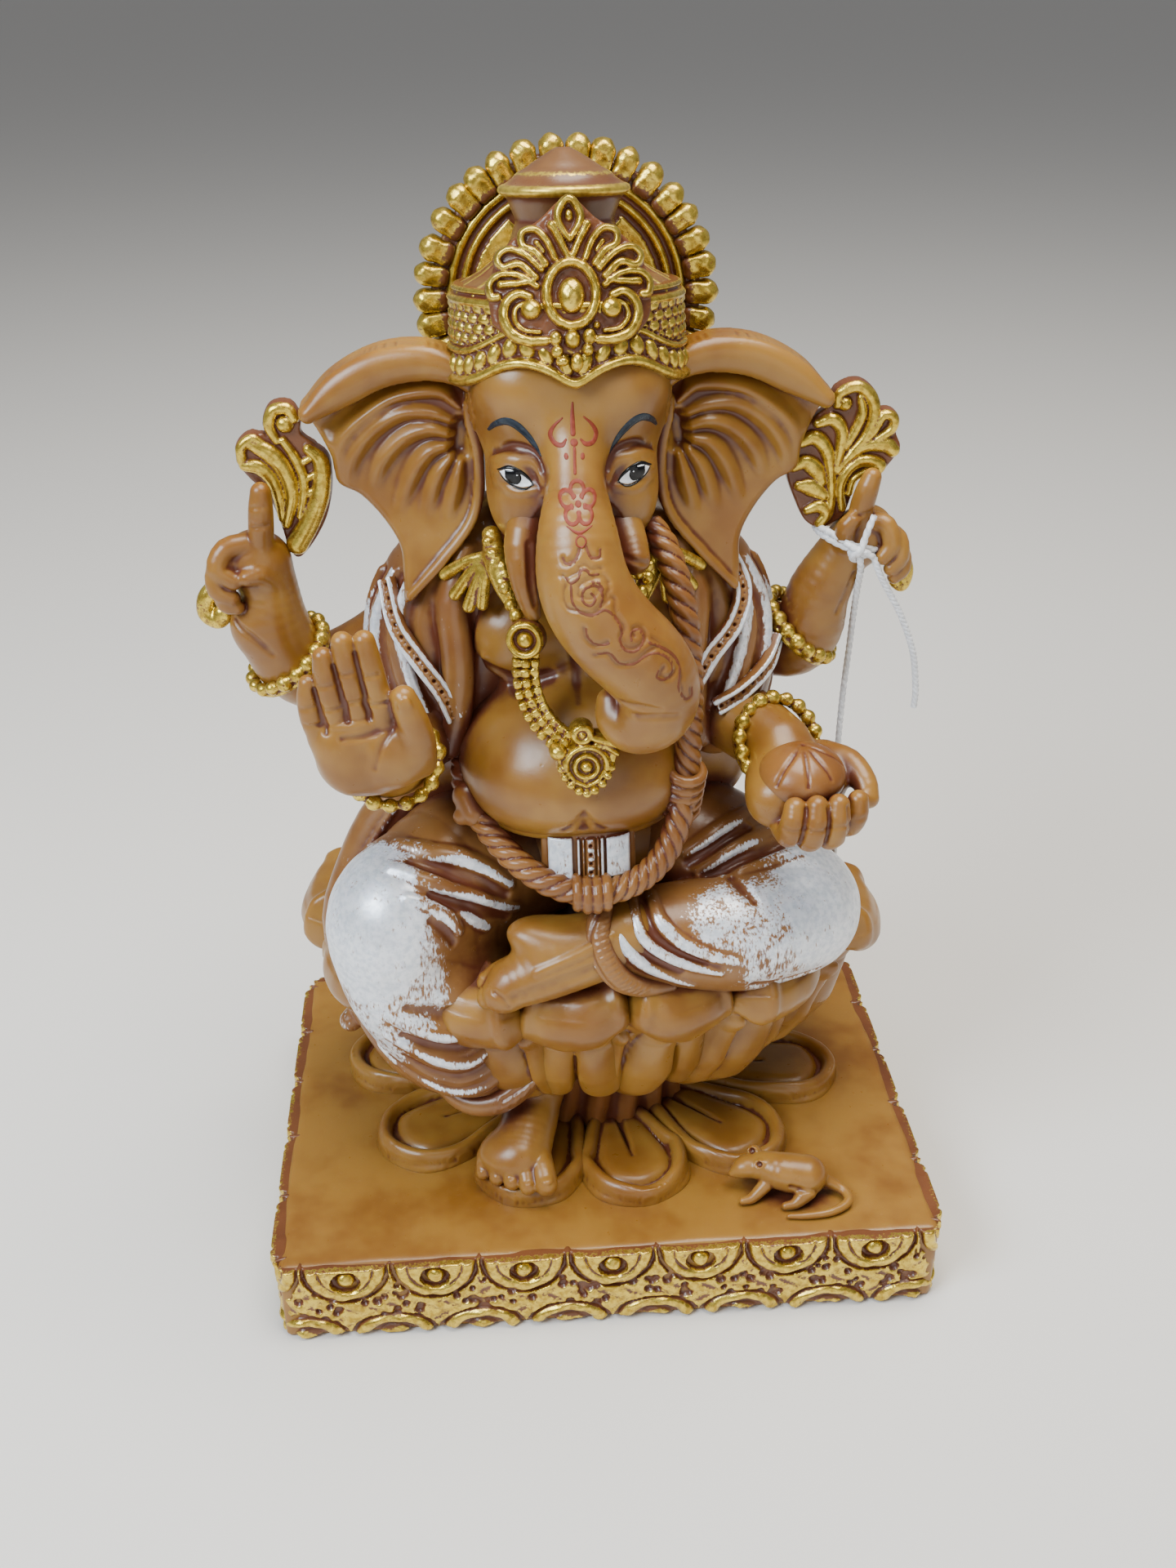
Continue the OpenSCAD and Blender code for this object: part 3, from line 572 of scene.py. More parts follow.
class OcclusionShade:
    """Share of solid matter around a place, from the insides of all the clay pieces, for painting shade
    between pieces.
    """
    CELL = 1.0

    def __init__(self, insides):
        self.lo = np.array([-72.0, -56.0, -6.0])
        shape = (np.array([144.0, 112.0, 216.0]) / self.CELL).astype(int)
        solid = np.zeros(shape)
        for points, volume in insides:
            at = np.clip(((points - self.lo) / self.CELL).astype(int), 0, shape - 1)
            flat = np.ravel_multi_index(at.T, shape)
            solid += np.bincount(flat, minlength=solid.size).reshape(shape) * volume
        solid = np.minimum(solid, 1)
        self.near = self.blurred(solid, 2, 2)
        self.far = self.blurred(solid, 4, 2)

    @staticmethod
    def blurred(a, reach, rounds):
        for _ in range(rounds):
            for axis in range(3):
                pad = [(0, 0)] * 3
                pad[axis] = (reach + 1, reach)
                run = np.cumsum(np.pad(a, pad), axis=axis)
                upper = np.take(run, range(2 * reach + 1, run.shape[axis]), axis=axis)
                lower = np.take(run, range(0, run.shape[axis] - 2 * reach - 1), axis=axis)
                a = (upper - lower) / (2 * reach + 1)
        return a

    def sample(self, grid, points):
        q = np.clip((points - self.lo) / self.CELL - 0.5, 0, np.array(grid.shape) - 1.001)
        i = q.astype(int)
        f = q - i
        total = 0
        for dx in (0, 1):
            for dy in (0, 1):
                for dz in (0, 1):
                    weight = (abs(1 - dx - f[:, 0]) * abs(1 - dy - f[:, 1]) * abs(1 - dz - f[:, 2]))
                    total = total + weight * grid[i[:, 0] + dx, i[:, 1] + dy, i[:, 2] + dz]
        return total

    def at(self, points, normals):
        """Painted shade: 0 in the open, towards 1 deep between pieces."""
        near = self.sample(self.near, points + normals * 2.2)
        far = self.sample(self.far, points + normals * 4.5)
        return np.clip((near - 0.12) / 0.5, 0, 1) * 0.6 + np.clip((far - 0.10) / 0.5, 0, 1) * 0.5


PIECES = []        # each: name, surface, material, slot, replaced nodes, masks


def piece(name, make, material, slot, replaces=(), paint=None, smooth=1):
    """Notes a piece to build. make() returns a Clay or a (points, quads, heights) surface;
    paint(points, normals, hollow, heights) returns the paint mask."""
    PIECES.append(dict(name=name, make=make, material=material, slot=slot, replaces=replaces, paint=paint,
                       smooth=smooth))


def build_surface(entry):
    """Makes an entry's points, quads, normals and hollowness."""
    made = entry["make"]()
    if isinstance(made, Clay):
        points, quads, inside = made.surface()
        entry["points"] = relaxed(points, quads, entry["smooth"])
        entry["quads"], entry["inside"], entry["heights"] = quads, inside, None
    else:
        entry["points"], entry["quads"], entry["heights"] = made
        entry["inside"] = None
    entry["normals"] = point_normals(entry["points"], entry["quads"])
    entry["hollow"] = hollowness(entry["points"], entry["quads"], entry["normals"], 4)


def mesh_object(name, points, quads, attributes, material):
    """A mesh in metres from points in millimetres, with its masks and material."""
    mesh = bpy.data.meshes.new(name)
    mesh.vertices.add(len(points))
    mesh.vertices.foreach_set("co", (points * MM).astype(F).ravel())
    mesh.loops.add(quads.size)
    mesh.loops.foreach_set("vertex_index", quads.astype(np.int32).ravel())
    mesh.polygons.add(len(quads))
    mesh.polygons.foreach_set("loop_start", np.arange(0, quads.size, quads.shape[1], dtype=np.int32))
    mesh.update(calc_edges=True)
    mesh.validate()
    mesh.polygons.foreach_set("use_smooth", np.ones(len(mesh.polygons), bool))
    for key, values in attributes.items():
        layer = mesh.attributes.new(key, "FLOAT", "POINT")
        layer.data.foreach_set("value", values.astype(F))
    mesh.materials.append(material)
    item = bpy.data.objects.new(name, mesh)
    bpy.context.collection.objects.link(item)
    return item


def finish_piece(item, replaced):
    """Puts a piece on the frame's body and the nodes that it replaces."""
    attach(item, "root")
    if replaced:
        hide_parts(*replaced)


def build_pieces():
    """Makes every noted piece, with its masks."""
    with ThreadPoolExecutor(THREADS) as pool:
        list(pool.map(build_surface, PIECES))
    occlusion_shade = OcclusionShade([e["inside"] for e in PIECES if e["inside"] is not None])
    for e in PIECES:
        cavity = np.clip(e["hollow"] * 6.0, 0, 1)
        crest = np.clip(-e["hollow"] * 6.0, 0, 1)
        # Painted shade: darkening where other pieces lie close, like ambient occlusion; it joins the wash in
        # the hollow mask.
        painted_occlusion = occlusion_shade.at(e["points"], e["normals"])
        attributes = {"hollow": np.clip(cavity * 0.75 + painted_occlusion * 0.9, 0, 1), "crest": crest}
        if e["paint"] is not None:
            attributes["paint"] = np.clip(e["paint"](e["points"], e["normals"], e["hollow"], e["heights"]),
                                          0, 1)
        item = mesh_object(e["name"], e["points"], e["quads"], attributes, MATERIALS[e["material"]])
        finish_piece(item, e["replaces"])
        print(f"piece {e['name']}: {len(e['quads'])} quads")


# ------------------------------------------------------------------ materials

class Graph:
    """Short names for building one material's nodes."""

    def __init__(self, name):
        self.material = bpy.data.materials.new(name)
        self.material.use_nodes = True
        self.tree = self.material.node_tree
        self.shader = self.tree.nodes["Principled BSDF"]
        self.place = self.tree.nodes.new("ShaderNodeTexCoord").outputs["Object"]

    def node(self, kind, inputs=(), **settings):
        made = self.tree.nodes.new(kind)
        for key, value in settings.items():
            setattr(made, key, value)
        for key, value in dict(inputs).items():
            self.feed(made.inputs[key], value)
        return made

    def feed(self, socket, value):
        if isinstance(value, bpy.types.NodeSocket):
            self.tree.links.new(value, socket)
        else:
            socket.default_value = value

    def attribute(self, name):
        return self.node("ShaderNodeAttribute", attribute_name=name).outputs["Fac"]

    def noise(self, size_mm, detail=3.0, stretch=(1, 1, 1), turn=(0, 0, 0)):
        """Noise from 0 to 1 whose features are about size_mm across."""
        place = self.node("ShaderNodeMapping", {"Vector": self.place, "Scale": stretch, "Rotation": turn})
        return self.node("ShaderNodeTexNoise",
                         {"Vector": place.outputs["Vector"], "Scale": 1000.0 / size_mm,
                                                "Detail": detail, "Roughness": 0.55}).outputs["Fac"]

    def math(self, operation, a, b=0.0, c=None):
        made = self.node("ShaderNodeMath", {0: a, 1: b}, operation=operation)
        if c is not None:
            self.feed(made.inputs[2], c)
        return made.outputs["Value"]

    def steep(self, value, low, high):
        """0 below low, 1 above high, smooth between."""
        made = self.node("ShaderNodeMapRange", {"Value": value, "From Min": low, "From Max": high},
                         interpolation_type="SMOOTHSTEP")
        return made.outputs["Result"]

    def mix(self, share, a, b):
        made = self.node("ShaderNodeMix", data_type="RGBA")
        self.feed(made.inputs["Factor"], share)
        self.feed(made.inputs["A"], a)
        self.feed(made.inputs["B"], b)
        return made.outputs["Result"]

    def bump(self, height, strength, distance_mm):
        made = self.node("ShaderNodeBump",
                         {"Height": height, "Strength": strength, "Distance": distance_mm * MM})
        self.feed(self.shader.inputs["Normal"], made.outputs["Normal"])


def tone(r, g, b):
    """A linear colour, fully opaque."""
    return (r, g, b, 1.0)


AMBER = tone(0.30, 0.148, 0.026)
AMBER_DEEP = tone(0.205, 0.084, 0.013)
# Brown of the wash in hollows, also used as painted shade between pieces.
WASH_AND_SHADE = tone(0.105, 0.027, 0.012)
GOLD = tone(0.74, 0.54, 0.085)
GOLD_DULL = tone(0.42, 0.27, 0.035)
WHITE = tone(0.80, 0.82, 0.86)


def resin(name, light=AMBER, deep=AMBER_DEEP, wash=WASH_AND_SHADE, wash_and_shade_gain=1.0, coat=None, coat_dull=None,
          coat_rough=0.4, coat_metal=0.0, grain_mm=0.35, brushed=False, glow=0.30, rough=0.31, pitted=0.10):
    """Cast resin, its hollows washed brown, with painted shade where pieces lie close; a coat, if given, is
    worn paint where the paint mask is high.
    """
    g = Graph(name)
    broad = g.noise(14, 3)
    mottle = g.noise(2.2, 4)
    body = g.mix(g.steep(broad, 0.35, 0.68), light, deep)
    # The hollow mask brings the real wash into hollows and painted shade between pieces.
    hollow = g.math("MULTIPLY_ADD", g.math("SUBTRACT", mottle, 0.5), 0.35, g.attribute("hollow"))
    stained_and_shaded = g.mix(g.math("MULTIPLY", g.steep(hollow, 0.03, 0.58), wash_and_shade_gain), body, wash)
    dust = g.steep(g.noise(0.9, 5), 0.62, 0.80)
    stained_and_shaded = g.mix(g.math("MULTIPLY", dust, 0.12), stained_and_shaded, tone(0.42, 0.27, 0.15))
    colour, roughness = stained_and_shaded, g.math("MULTIPLY_ADD", mottle, 0.18, rough - 0.09)
    metal = None
    if coat is not None:
        stretch = (1.0, 1.0, 0.28) if brushed else (1, 1, 1)
        grain = g.noise(grain_mm, 5, stretch, (0.3, 0.5, 0.4))
        patch = g.noise(3.2, 3)
        wear = g.math("ADD", g.math("MULTIPLY", g.math("SUBTRACT", grain, 0.5), 1.5),
                      g.math("MULTIPLY", g.math("SUBTRACT", patch, 0.5), 1.1 if brushed else 0.55))
        share = g.steep(g.math("ADD", g.attribute("paint"), wear), 0.38, 0.68)
        film = g.mix(g.steep(g.noise(1.1, 4), 0.35, 0.7), coat, coat_dull or coat)
        colour = g.mix(share, stained_and_shaded, film)
        roughness = g.math("MULTIPLY_ADD", share, coat_rough - rough, roughness)
        metal = g.math("MULTIPLY", share, coat_metal) if coat_metal else None
    g.feed(g.shader.inputs["Base Color"], colour)
    g.feed(g.shader.inputs["Roughness"], roughness)
    if metal is not None:
        g.feed(g.shader.inputs["Metallic"], metal)
    g.shader.inputs["Subsurface Weight"].default_value = glow
    g.shader.inputs["Subsurface Radius"].default_value = (1.0, 0.42, 0.12)
    g.shader.inputs["Subsurface Scale"].default_value = 0.0026
    g.shader.inputs["Specular IOR Level"].default_value = 0.5
    pores = g.steep(g.node("ShaderNodeTexVoronoi",
                           {"Vector": g.place, "Scale": 260.0}).outputs["Distance"], 0.0, 0.09)
    g.bump(g.math("ADD", g.math("MULTIPLY", g.noise(0.5, 4), 0.5), g.math("MULTIPLY", pores, 0.6)), 0.35,
           pitted)
    return g.material


def paint_film(name, colour, rough=0.35):
    """Brushed-on paint for small strokes: slightly uneven in colour and gloss."""
    g = Graph(name)
    uneven = g.noise(0.8, 4)
    paler = tuple(min(1.0, c * 1.35 + 0.01) for c in colour[:3]) + (1.0,)
    g.feed(g.shader.inputs["Base Color"], g.mix(g.steep(uneven, 0.45, 0.75), colour, paler))
    g.feed(g.shader.inputs["Roughness"], g.math("MULTIPLY_ADD", uneven, 0.2, rough - 0.1))
    g.shader.inputs["Specular IOR Level"].default_value = 0.3
    g.bump(uneven, 0.2, 0.05)
    return g.material


MATERIALS = {
    "amber": resin("amber_resin"),
    # A darker copy of the resin, for the seat pad and the stem under the seat petals.
    "amber_darker": resin("amber_resin_darker", tone(0.25, 0.095, 0.024), tone(0.17, 0.055, 0.014),
                          wash_and_shade_gain=1.0,
                          glow=0.2),
    "amber_cord": resin("amber_resin_cord", tone(0.26, 0.112, 0.026), tone(0.18, 0.068, 0.015),
                        wash_and_shade_gain=1.7, glow=0.15),
    "gilt": resin("gilt_resin", tone(0.16, 0.055, 0.018), tone(0.11, 0.035, 0.012), coat=GOLD,
                  coat_dull=GOLD_DULL,
                  coat_rough=0.27, coat_metal=0.88, glow=0.03, grain_mm=0.5, pitted=0.26),
    "gilt_brown": resin("brown_gilt_resin", tone(0.17, 0.078, 0.028), tone(0.11, 0.046, 0.016), coat=GOLD,
                        coat_dull=GOLD_DULL,
                        coat_rough=0.36, coat_metal=0.75, glow=0.05, grain_mm=0.5),
    "white": resin("white_brushed_resin", tone(0.25, 0.115, 0.032), tone(0.17, 0.066, 0.018), coat=WHITE,
                   coat_dull=tone(0.58, 0.62, 0.68), coat_rough=0.34, coat_metal=0.3, grain_mm=0.45,
                   brushed=True, glow=0.12),
    "cotton": paint_film("cotton_string", tone(0.68, 0.69, 0.71), 0.85),
    "card": paint_film("card_tag", tone(0.66, 0.65, 0.62), 0.7),
    "dark_paint": paint_film("black_paint", tone(0.004, 0.004, 0.005), 0.16),
    "blue_paint": paint_film("brow_paint", tone(0.006, 0.016, 0.030), 0.25),
    "eye_white": paint_film("eye_white_paint", tone(0.78, 0.80, 0.83), 0.25),
    "red_paint": paint_film("red_paint", tone(0.19, 0.028, 0.012), 0.5),
    "brown_paint": paint_film("brown_paint", tone(0.13, 0.036, 0.013), 0.5),
}


def smooth(value, low, high):
    """0 below low, 1 above high, smooth between."""
    t = np.clip((value - low) / (high - low), 0, 1)
    return t * t * (3 - 2 * t)


def blob(points, at, radii):
    """1 at the middle of an ellipsoid, falling to 0 at its skin."""
    return np.clip(1 - np.linalg.norm((points - np.array(at)) / np.array(radii), axis=1), 0, 1)


# ------------------------------------------------------------------ head

def head_clay():
    clay = Clay(0.28)
    clay.add(Ellipsoid((CENTRE_X, -4, 165), (16.4, 15.5, 15)))
    clay.add(Ellipsoid((CENTRE_X, -6, 151), (12.8, 13, 11)), 6)
    clay.add(Tube([[CENTRE_X, -8, 147, 8.5], [CENTRE_X, -8, 141, 6.5]]), 4)
    for s in (-1, 1):
        clay.add(Ellipsoid((CENTRE_X + s * 6.4, -11.6, 168.5), (8.8, 8.4, 8)), 3)
        clay.add(Ellipsoid((CENTRE_X + s * 7.4, -11.6, 150.5), (6, 7.4, 8)), 4)
    clay.add(Tube([[-3.2, -14, 167, 3.4], [-3.2, -17.5, 162, 4.3], [-3.2, -22.6, 154, 4.9],
                   [-3.3, -26.6, 147.5, 6.4]]), 3.6)
    for s in (-1, 1):
        x = CENTRE_X
        clay.cut(Ellipsoid((x + s * 9.2, -20.5, 156.8), (4.4, 2.6, 2.6), (0, 0, s * 24)), 2.2)
        clay.add(Ellipsoid((x + s * 8.4, -13.4, 156), (4.6, 5, 3.1), (0, s * 10, s * 22)), 0.9)
        lid = [[x + s * 12.6, -13, 156.9, 1.3, 0.35], [x + s * 11, -16, 158.4, 1.4, 0.7],
               [x + s * 9, -18, 158.7, 1.4, 0.8], [x + s * 7.2, -19, 158, 1.3, 0.7],
               [x + s * 5.8, -20, 155.6, 1.1, 0.4]]
        clay.emboss(lid)
        clay.emboss([[p[0], p[1], p[2] + 1.3, 0.9, -0.45] for p in lid])
        clay.emboss([[x + s * 11.6, -14.5, 154.2, 1, 0.3], [x + s * 9, -17, 152.8, 1.1, 0.4],
                     [x + s * 6.4, -19, 153.8, 1, 0.3]])
        clay.emboss([[x + s * 4.6, -21, 152, 1.5, -0.8], [x + s * 6, -20, 147.5, 2, -1.5],
                     [x + s * 6.6, -19, 143, 2, -1.2]])
        for i in range(4):
            clay.emboss([[x + s * 14.6, -9, 166.6 - i * 1.2, 0.6, 0.5],
                         [x + s * 16.2, -6.5, 164.4 - i * 1.5, 0.7, 0.7],
                         [x + s * 17.2, -3, 164.2 - i * 1.6, 0.6, 0.5]])
    return clay


def make_tusk(side):
    """The tip of a tusk beside the trunk: the right one is whole, the left one is a stub."""
    clay = Clay(0.25)
    x = CENTRE_X
    if side < 0:
        clay.add(Tube([[x - 7, -15, 149, 3.4], [x - 8.6, -19, 144.5, 3], [x - 8.4, -21, 139, 2.3],
                       [x - 7.4, -21.6, 134, 1.4]]))
        clay.emboss([[x - 7.4, -22, 146, 0.9, -0.5], [x - 7.6, -23, 140, 0.9, -0.6],
                     [x - 7, -23, 136, 0.8, -0.4]])
    else:
        clay.add(Tube([[x + 7, -15, 148, 3.4], [x + 8.4, -19, 144.6, 2.9], [x + 9, -21.4, 142.6, 2.5]]))
        clay.emboss([[x + 7.4, -23, 143.6, 0.7, -0.4], [x + 9, -24, 143.2, 0.7, -0.5],
                     [x + 10.6, -22.6, 142.4, 0.7, -0.4]])
    return clay


TRUNK_ROWS = [[-3.2, -22.5, 154, 4.8], [-3.3, -26.4, 148, 6.3], [-2.8, -28.6, 142.5, 7.1],
              [-1, -30, 138, 7.4],
              [2.2, -31, 133.8, 7.4], [5.8, -31.4, 130, 7.3], [8.4, -31, 126, 6.9], [9, -30.4, 122, 6.4],
              [7.8, -29.8, 119, 5.8], [5.2, -29.2, 117.4, 4.8], [2.6, -28.4, 118.4, 3.6],
              [1.8, -27.6, 120.6, 2.6]]

CARVED = [          # swirls cut into the trunk's front: rows of [x, z]
    [[-5, 144], [-4.8, 141.6], [-3.6, 140.2], [-1.8, 139.9], [0, 140.6], [1.5, 139.4], [2.5, 137.3],
     [2.1, 136],
     [3, 134.5], [4.6, 134.3], [5.8, 135.6], [5.3, 137], [4, 137], [3.9, 135.9]],
    [[-0.7, 141], [-0.3, 142.6], [-1.3, 144], [-3, 143.6], [-3.3, 142], [-2.2, 141.3], [-1.4, 142.2],
     [-2, 143]],
    [[-5.6, 145], [-5, 144.4], [-3.9, 145.1], [-3.4, 146.2], [-2.6, 146.2], [-1.9, 145.5], [-0.8, 145.4]],
    [[-1.8, 144.6], [-0.8, 144.4], [-0.2, 143.4]],
    [[-2.9, 137.8], [-2.6, 136.3], [-1.2, 135.3], [0.5, 135.6]],
    [[-1.2, 133.7], [0.6, 134], [2.1, 132.4], [4.2, 132.3], [6.1, 133.4], [8, 133.5], [9.9, 132],
     [10.3, 130.4],
     [9.1, 129.2], [7.8, 129.8], [8, 130.8]],
    [[6.7, 135.2], [9.6, 133.3], [11.1, 131.5], [11.5, 129.6], [11.3, 127.4], [12.4, 125], [13.6, 125],
     [13.6, 126.4]],
    [[-6, 147.7], [-5.4, 146.9], [-4.2, 147.5], [-3.5, 148.9]],
    [[-2.5, 149.3], [-1.8, 147.8], [-0.5, 147.7], [-0.3, 148.6]],
]


def trunk_clay():
    clay = Clay(0.28)
    clay.add(Tube(TRUNK_ROWS, 4))
    for x, z, wide in ((2, 123.6, 3.2), (5, 121.8, 3)):
        clay.emboss([[x, -36, z, 1.2, -0.5], [x + wide, -37, z + 0.6, 1.2, -0.6],
                     [x + 2 * wide, -36, z + 0.6, 1, -0.3]])
    for line in CARVED:
        clay.emboss([[x, -36 if z < 140 else -33, z, 0.62, -0.42] for x, z in line], 5)
    return clay


HEAD = head_clay()
TRUNK = trunk_clay()


def face_lines(rows, half, height=0.1):
    """Rows of [x, z] or [x, z, share of the width] as rows for a cord of the given half width."""
    return [(*row[:2], half * (row[2] if len(row) > 2 else 1), height) for row in rows]


def draw_on_face(lo, hi, draw, with_trunk=False):
    """A thin film of paint drawn in X and Z on the front of the head, and of the trunk too if asked."""
    sheet = Drawing(lo, hi, 0.11)
    draw(sheet)
    on_head = onto(HEAD, lo, hi)
    on_trunk = onto(TRUNK, lo, hi) if with_trunk else on_head

    def place(u, w, n):
        head_y, trunk_y = on_head(u, w, n)[1], on_trunk(u, w, n)[1]
        return u, np.minimum(head_y, trunk_y), w
    return sheet.surface(0.35, place)


def brow(side):
    """An eyebrow, as a film of paint."""
    def draw(sheet):
        x = partial(from_centre, side)
        rows = [[x(13.2), 161.8, 0.35], [x(12.2), 163.4, 0.8], [x(10.6), 164.4, 1.15], [x(9), 163.9, 1.15],
                [x(7.4), 162.3, 0.95], [x(6.2), 160.6, 0.7], [x(5.4), 159.2, 0.3]]
        sheet.cord(face_lines(rows, 0.62, 0.16))
    return draw_on_face(*spread(side, 4, 158, 14.5, 166), draw)


def from_centre(side, u):
    """The x that lies u to one side (-1 or 1) of the figure's centre plane."""
    return CENTRE_X + side * u


def spread(side, near, low, far, high):
    """Corners of an area on one side of the centre plane."""
    ends = sorted((from_centre(side, near), from_centre(side, far)))
    return (ends[0], low), (ends[1], high)


EYE = [[11.8, 156.3], [10.4, 156.9], [9, 156.5], [7.8, 155.6], [6.8, 154.6], [7.9, 154.1], [9.3, 154.2],
       [10.8, 155]]


def eye_part(side, kind):
    """The white of an eye, its iris and lid lines, or its glint, a painted highlight, as a film of paint."""
    x = partial(from_centre, side)

    def draw(sheet):
        if kind == "white":
            sheet.fill([(x(u), w) for u, w in EYE], 0.12, edge=0.15)
        elif kind == "iris":
            sheet.fill([(x(u), w) for u, w in ([11, 156.7], [9.6, 156.7], [8.6, 156.2], [8.4, 155.2],
                                               [9, 154.4],
                                               [10.2, 154.6], [11, 155.5])], 0.2, edge=0.15)
            upper = [[x(12.1), 156.4, 0.5], [x(10.4), 157.1, 1.3], [x(8.9), 156.7, 1.5],
                     [x(7.7), 155.8, 1.3], [x(6.6), 154.5, 0.6]]
            lower = [[x(11.9), 156.2, 0.4], [x(10.9), 154.9, 0.8], [x(9.3), 154, 0.9], [x(7.8), 153.9, 0.8],
                     [x(6.7), 154.5, 0.4]]
            sheet.cord(face_lines(upper, 0.2, 0.2)).cord(face_lines(lower, 0.17, 0.2))
        else:
            # The glint: a painted highlight, a small white dot on the iris.
            sheet.dome(x(9.1), 156.0, 0.24, 0.22, 0.26)
    return draw_on_face(*spread(side, 5, 153, 12.6, 158), draw)


def forehead_mark(sheet):
    sheet.cord(face_lines([[-3.4, 167.6, 0.5], [-3.5, 165.6, 1], [-3.5, 163.4, 1.2]], 0.36))
    sheet.cord(face_lines([[-5, 165.5, 0.4], [-6.3, 164.3, 0.8], [-6.9, 163, 1.1], [-6.3, 161.9, 1.2],
                           [-5.2, 161.8, 1],
                           [-4.6, 162.6, 0.5]], 0.34))
    sheet.cord(face_lines([[-1.8, 165.6, 0.4], [-0.6, 164.5, 0.8], [0.1, 163.1, 1.1], [-0.4, 162, 1.2],
                           [-1.6, 161.9, 1],
                           [-2.4, 162.6, 0.5]], 0.34))
    sheet.dome(-3.4, 162.2, 0.62, 0.55, 0.12)
    sheet.cord(face_lines([[-3.4, 161.4], [-3.5, 158.3]], 0.27))
    for u in (-4.7, -2.2):
        sheet.dome(u, 160.4, 0.36, 0.5, 0.12)


def flower_mark(sheet):
    """A plain five-petalled swirl between the eyes."""
    for i in range(5):
        turn = math.radians(90 + i * 72)
        u, w = -3.3 + 1.75 * math.cos(turn), 154.6 + 1.75 * math.sin(turn)
        sheet.ring(u, w, 1.0, 1.0, 0.3, 0.1, start=math.degrees(turn) - 150, sweep=300, end_thick=0.3)
    sheet.dome(-3.3, 154.6, 0.5, 0.5, 0.12)
    sheet.cord(face_lines([[-5.2, 151.9, 0.5], [-3.4, 151.1, 1.1], [-1.4, 151.9, 0.5]], 0.24))
    sheet.ring(-3.2, 150, 0.75, 0.75, 0.16, 0.1)


def trunk_ink(sheet):
    for line in CARVED:
        sheet.cord([(x, z, 0.24, 0.05) for x, z in line])


# ------------------------------------------------------------------ ears

EAR_EDGE = [[-16.5, 158], [-17.2, 166], [-20, 170.6], [-26, 172.2], [-33, 171.2], [-40, 168], [-46, 163.4],
            [-44, 159.6],
            [-42, 155], [-41.2, 150.6], [-37.6, 148.4], [-34, 144.4], [-31.6, 140], [-31.4, 135],
            [-31.2, 130.6],
            [-27.6, 134.6], [-24, 138.4], [-20.4, 142], [-17.9, 147], [-17.4, 153]]

EAR_RIDGES = [      # crests from the ear's root outwards
    [[-20.6, 163.4], [-24, 166], [-30.6, 165.2], [-35, 162.6], [-39.4, 158.4], [-41, 153.6]],
    [[-21.4, 161], [-25.4, 162.4], [-30.4, 162.2], [-35.2, 159.2], [-38.4, 154.8], [-39.4, 150.6]],
    [[-22, 158.8], [-26, 159.8], [-30, 158.2], [-33.4, 154.6], [-35.4, 150]],
    [[-22.4, 157], [-26, 156], [-29, 152], [-31.6, 146]],
    [[-22.2, 155.4], [-24.8, 152], [-27.2, 145.6]],
    [[-20.8, 154.6], [-22, 150.4], [-23.6, 145]],
]


def make_ear(side):
    """An ear as a relief: a rolled top rim over a hollow, with ridges fanning out from its root."""
    at = partial(to_side, side)
    lo, hi = sorted((at(-48), at(-15)))
    ear = Drawing((lo, 129), (hi, 175), 0.3)
    ear.fill([(at(x), z) for x, z in EAR_EDGE], 2.0, edge=1.4)
    inside = ear.rim < 0
    for ridge in EAR_RIDGES:
        widths = np.interp(np.linspace(0, 1, len(ridge)), [0, 0.25, 0.7, 1], [0.9, 1.9, 2.1, 1.4])
        heights = np.interp(np.linspace(0, 1, len(ridge)), [0, 0.25, 0.7, 1], [0.8, 1.7, 1.3, 0.1])
        ear.swell([(at(x), z, wide, high) for (x, z), wide, high in zip(ridge, widths, heights)])
    ear.groove([(at(x), z, 3.4, 1.7) for x, z in ([-19, 166], [-24, 168.4], [-31, 167.8], [-38, 164.6],
                                                  [-43, 160.4])])
    ear.groove([(at(x), z, 2.4, 2) for x, z in ([-20.4, 160], [-21, 156.6])])
    ear.cord([(at(x), z, wide, 2.2) for x, z, wide in (
        (-17.6, 166.6, 1.6), (-20.6, 169.2, 2.3), (-26, 170.6, 2.9), (-33, 169.6, 3.1),
        (-39.6, 166.4, 2.9), (-44.8, 162.8, 1.6))],
        floor=3.0)
    ear.cord([(at(x), z, wide, 0.8) for x, z, wide in (
        (-17.8, 167, 1.3), (-19, 162, 1.1), (-18, 156, 1), (-18, 150, 1), (-19.6, 144.6, 0.9),
        (-24.6, 138.6, 0.9),
        (-30.4, 132.4, 0.8))], floor=2.0)
    ear.height = np.where(inside, np.maximum(ear.height, 0.3), ear.height)

    def place(u, w, n):
        y = -1.6 - 4.5 * smooth(-w, -153, -132) - 1.6 * smooth(to_side(side, u), -34, -18) - n
        return u, y, w
    return ear.surface(2.2, place, 2)


# ------------------------------------------------------------------ torso, legs and feet

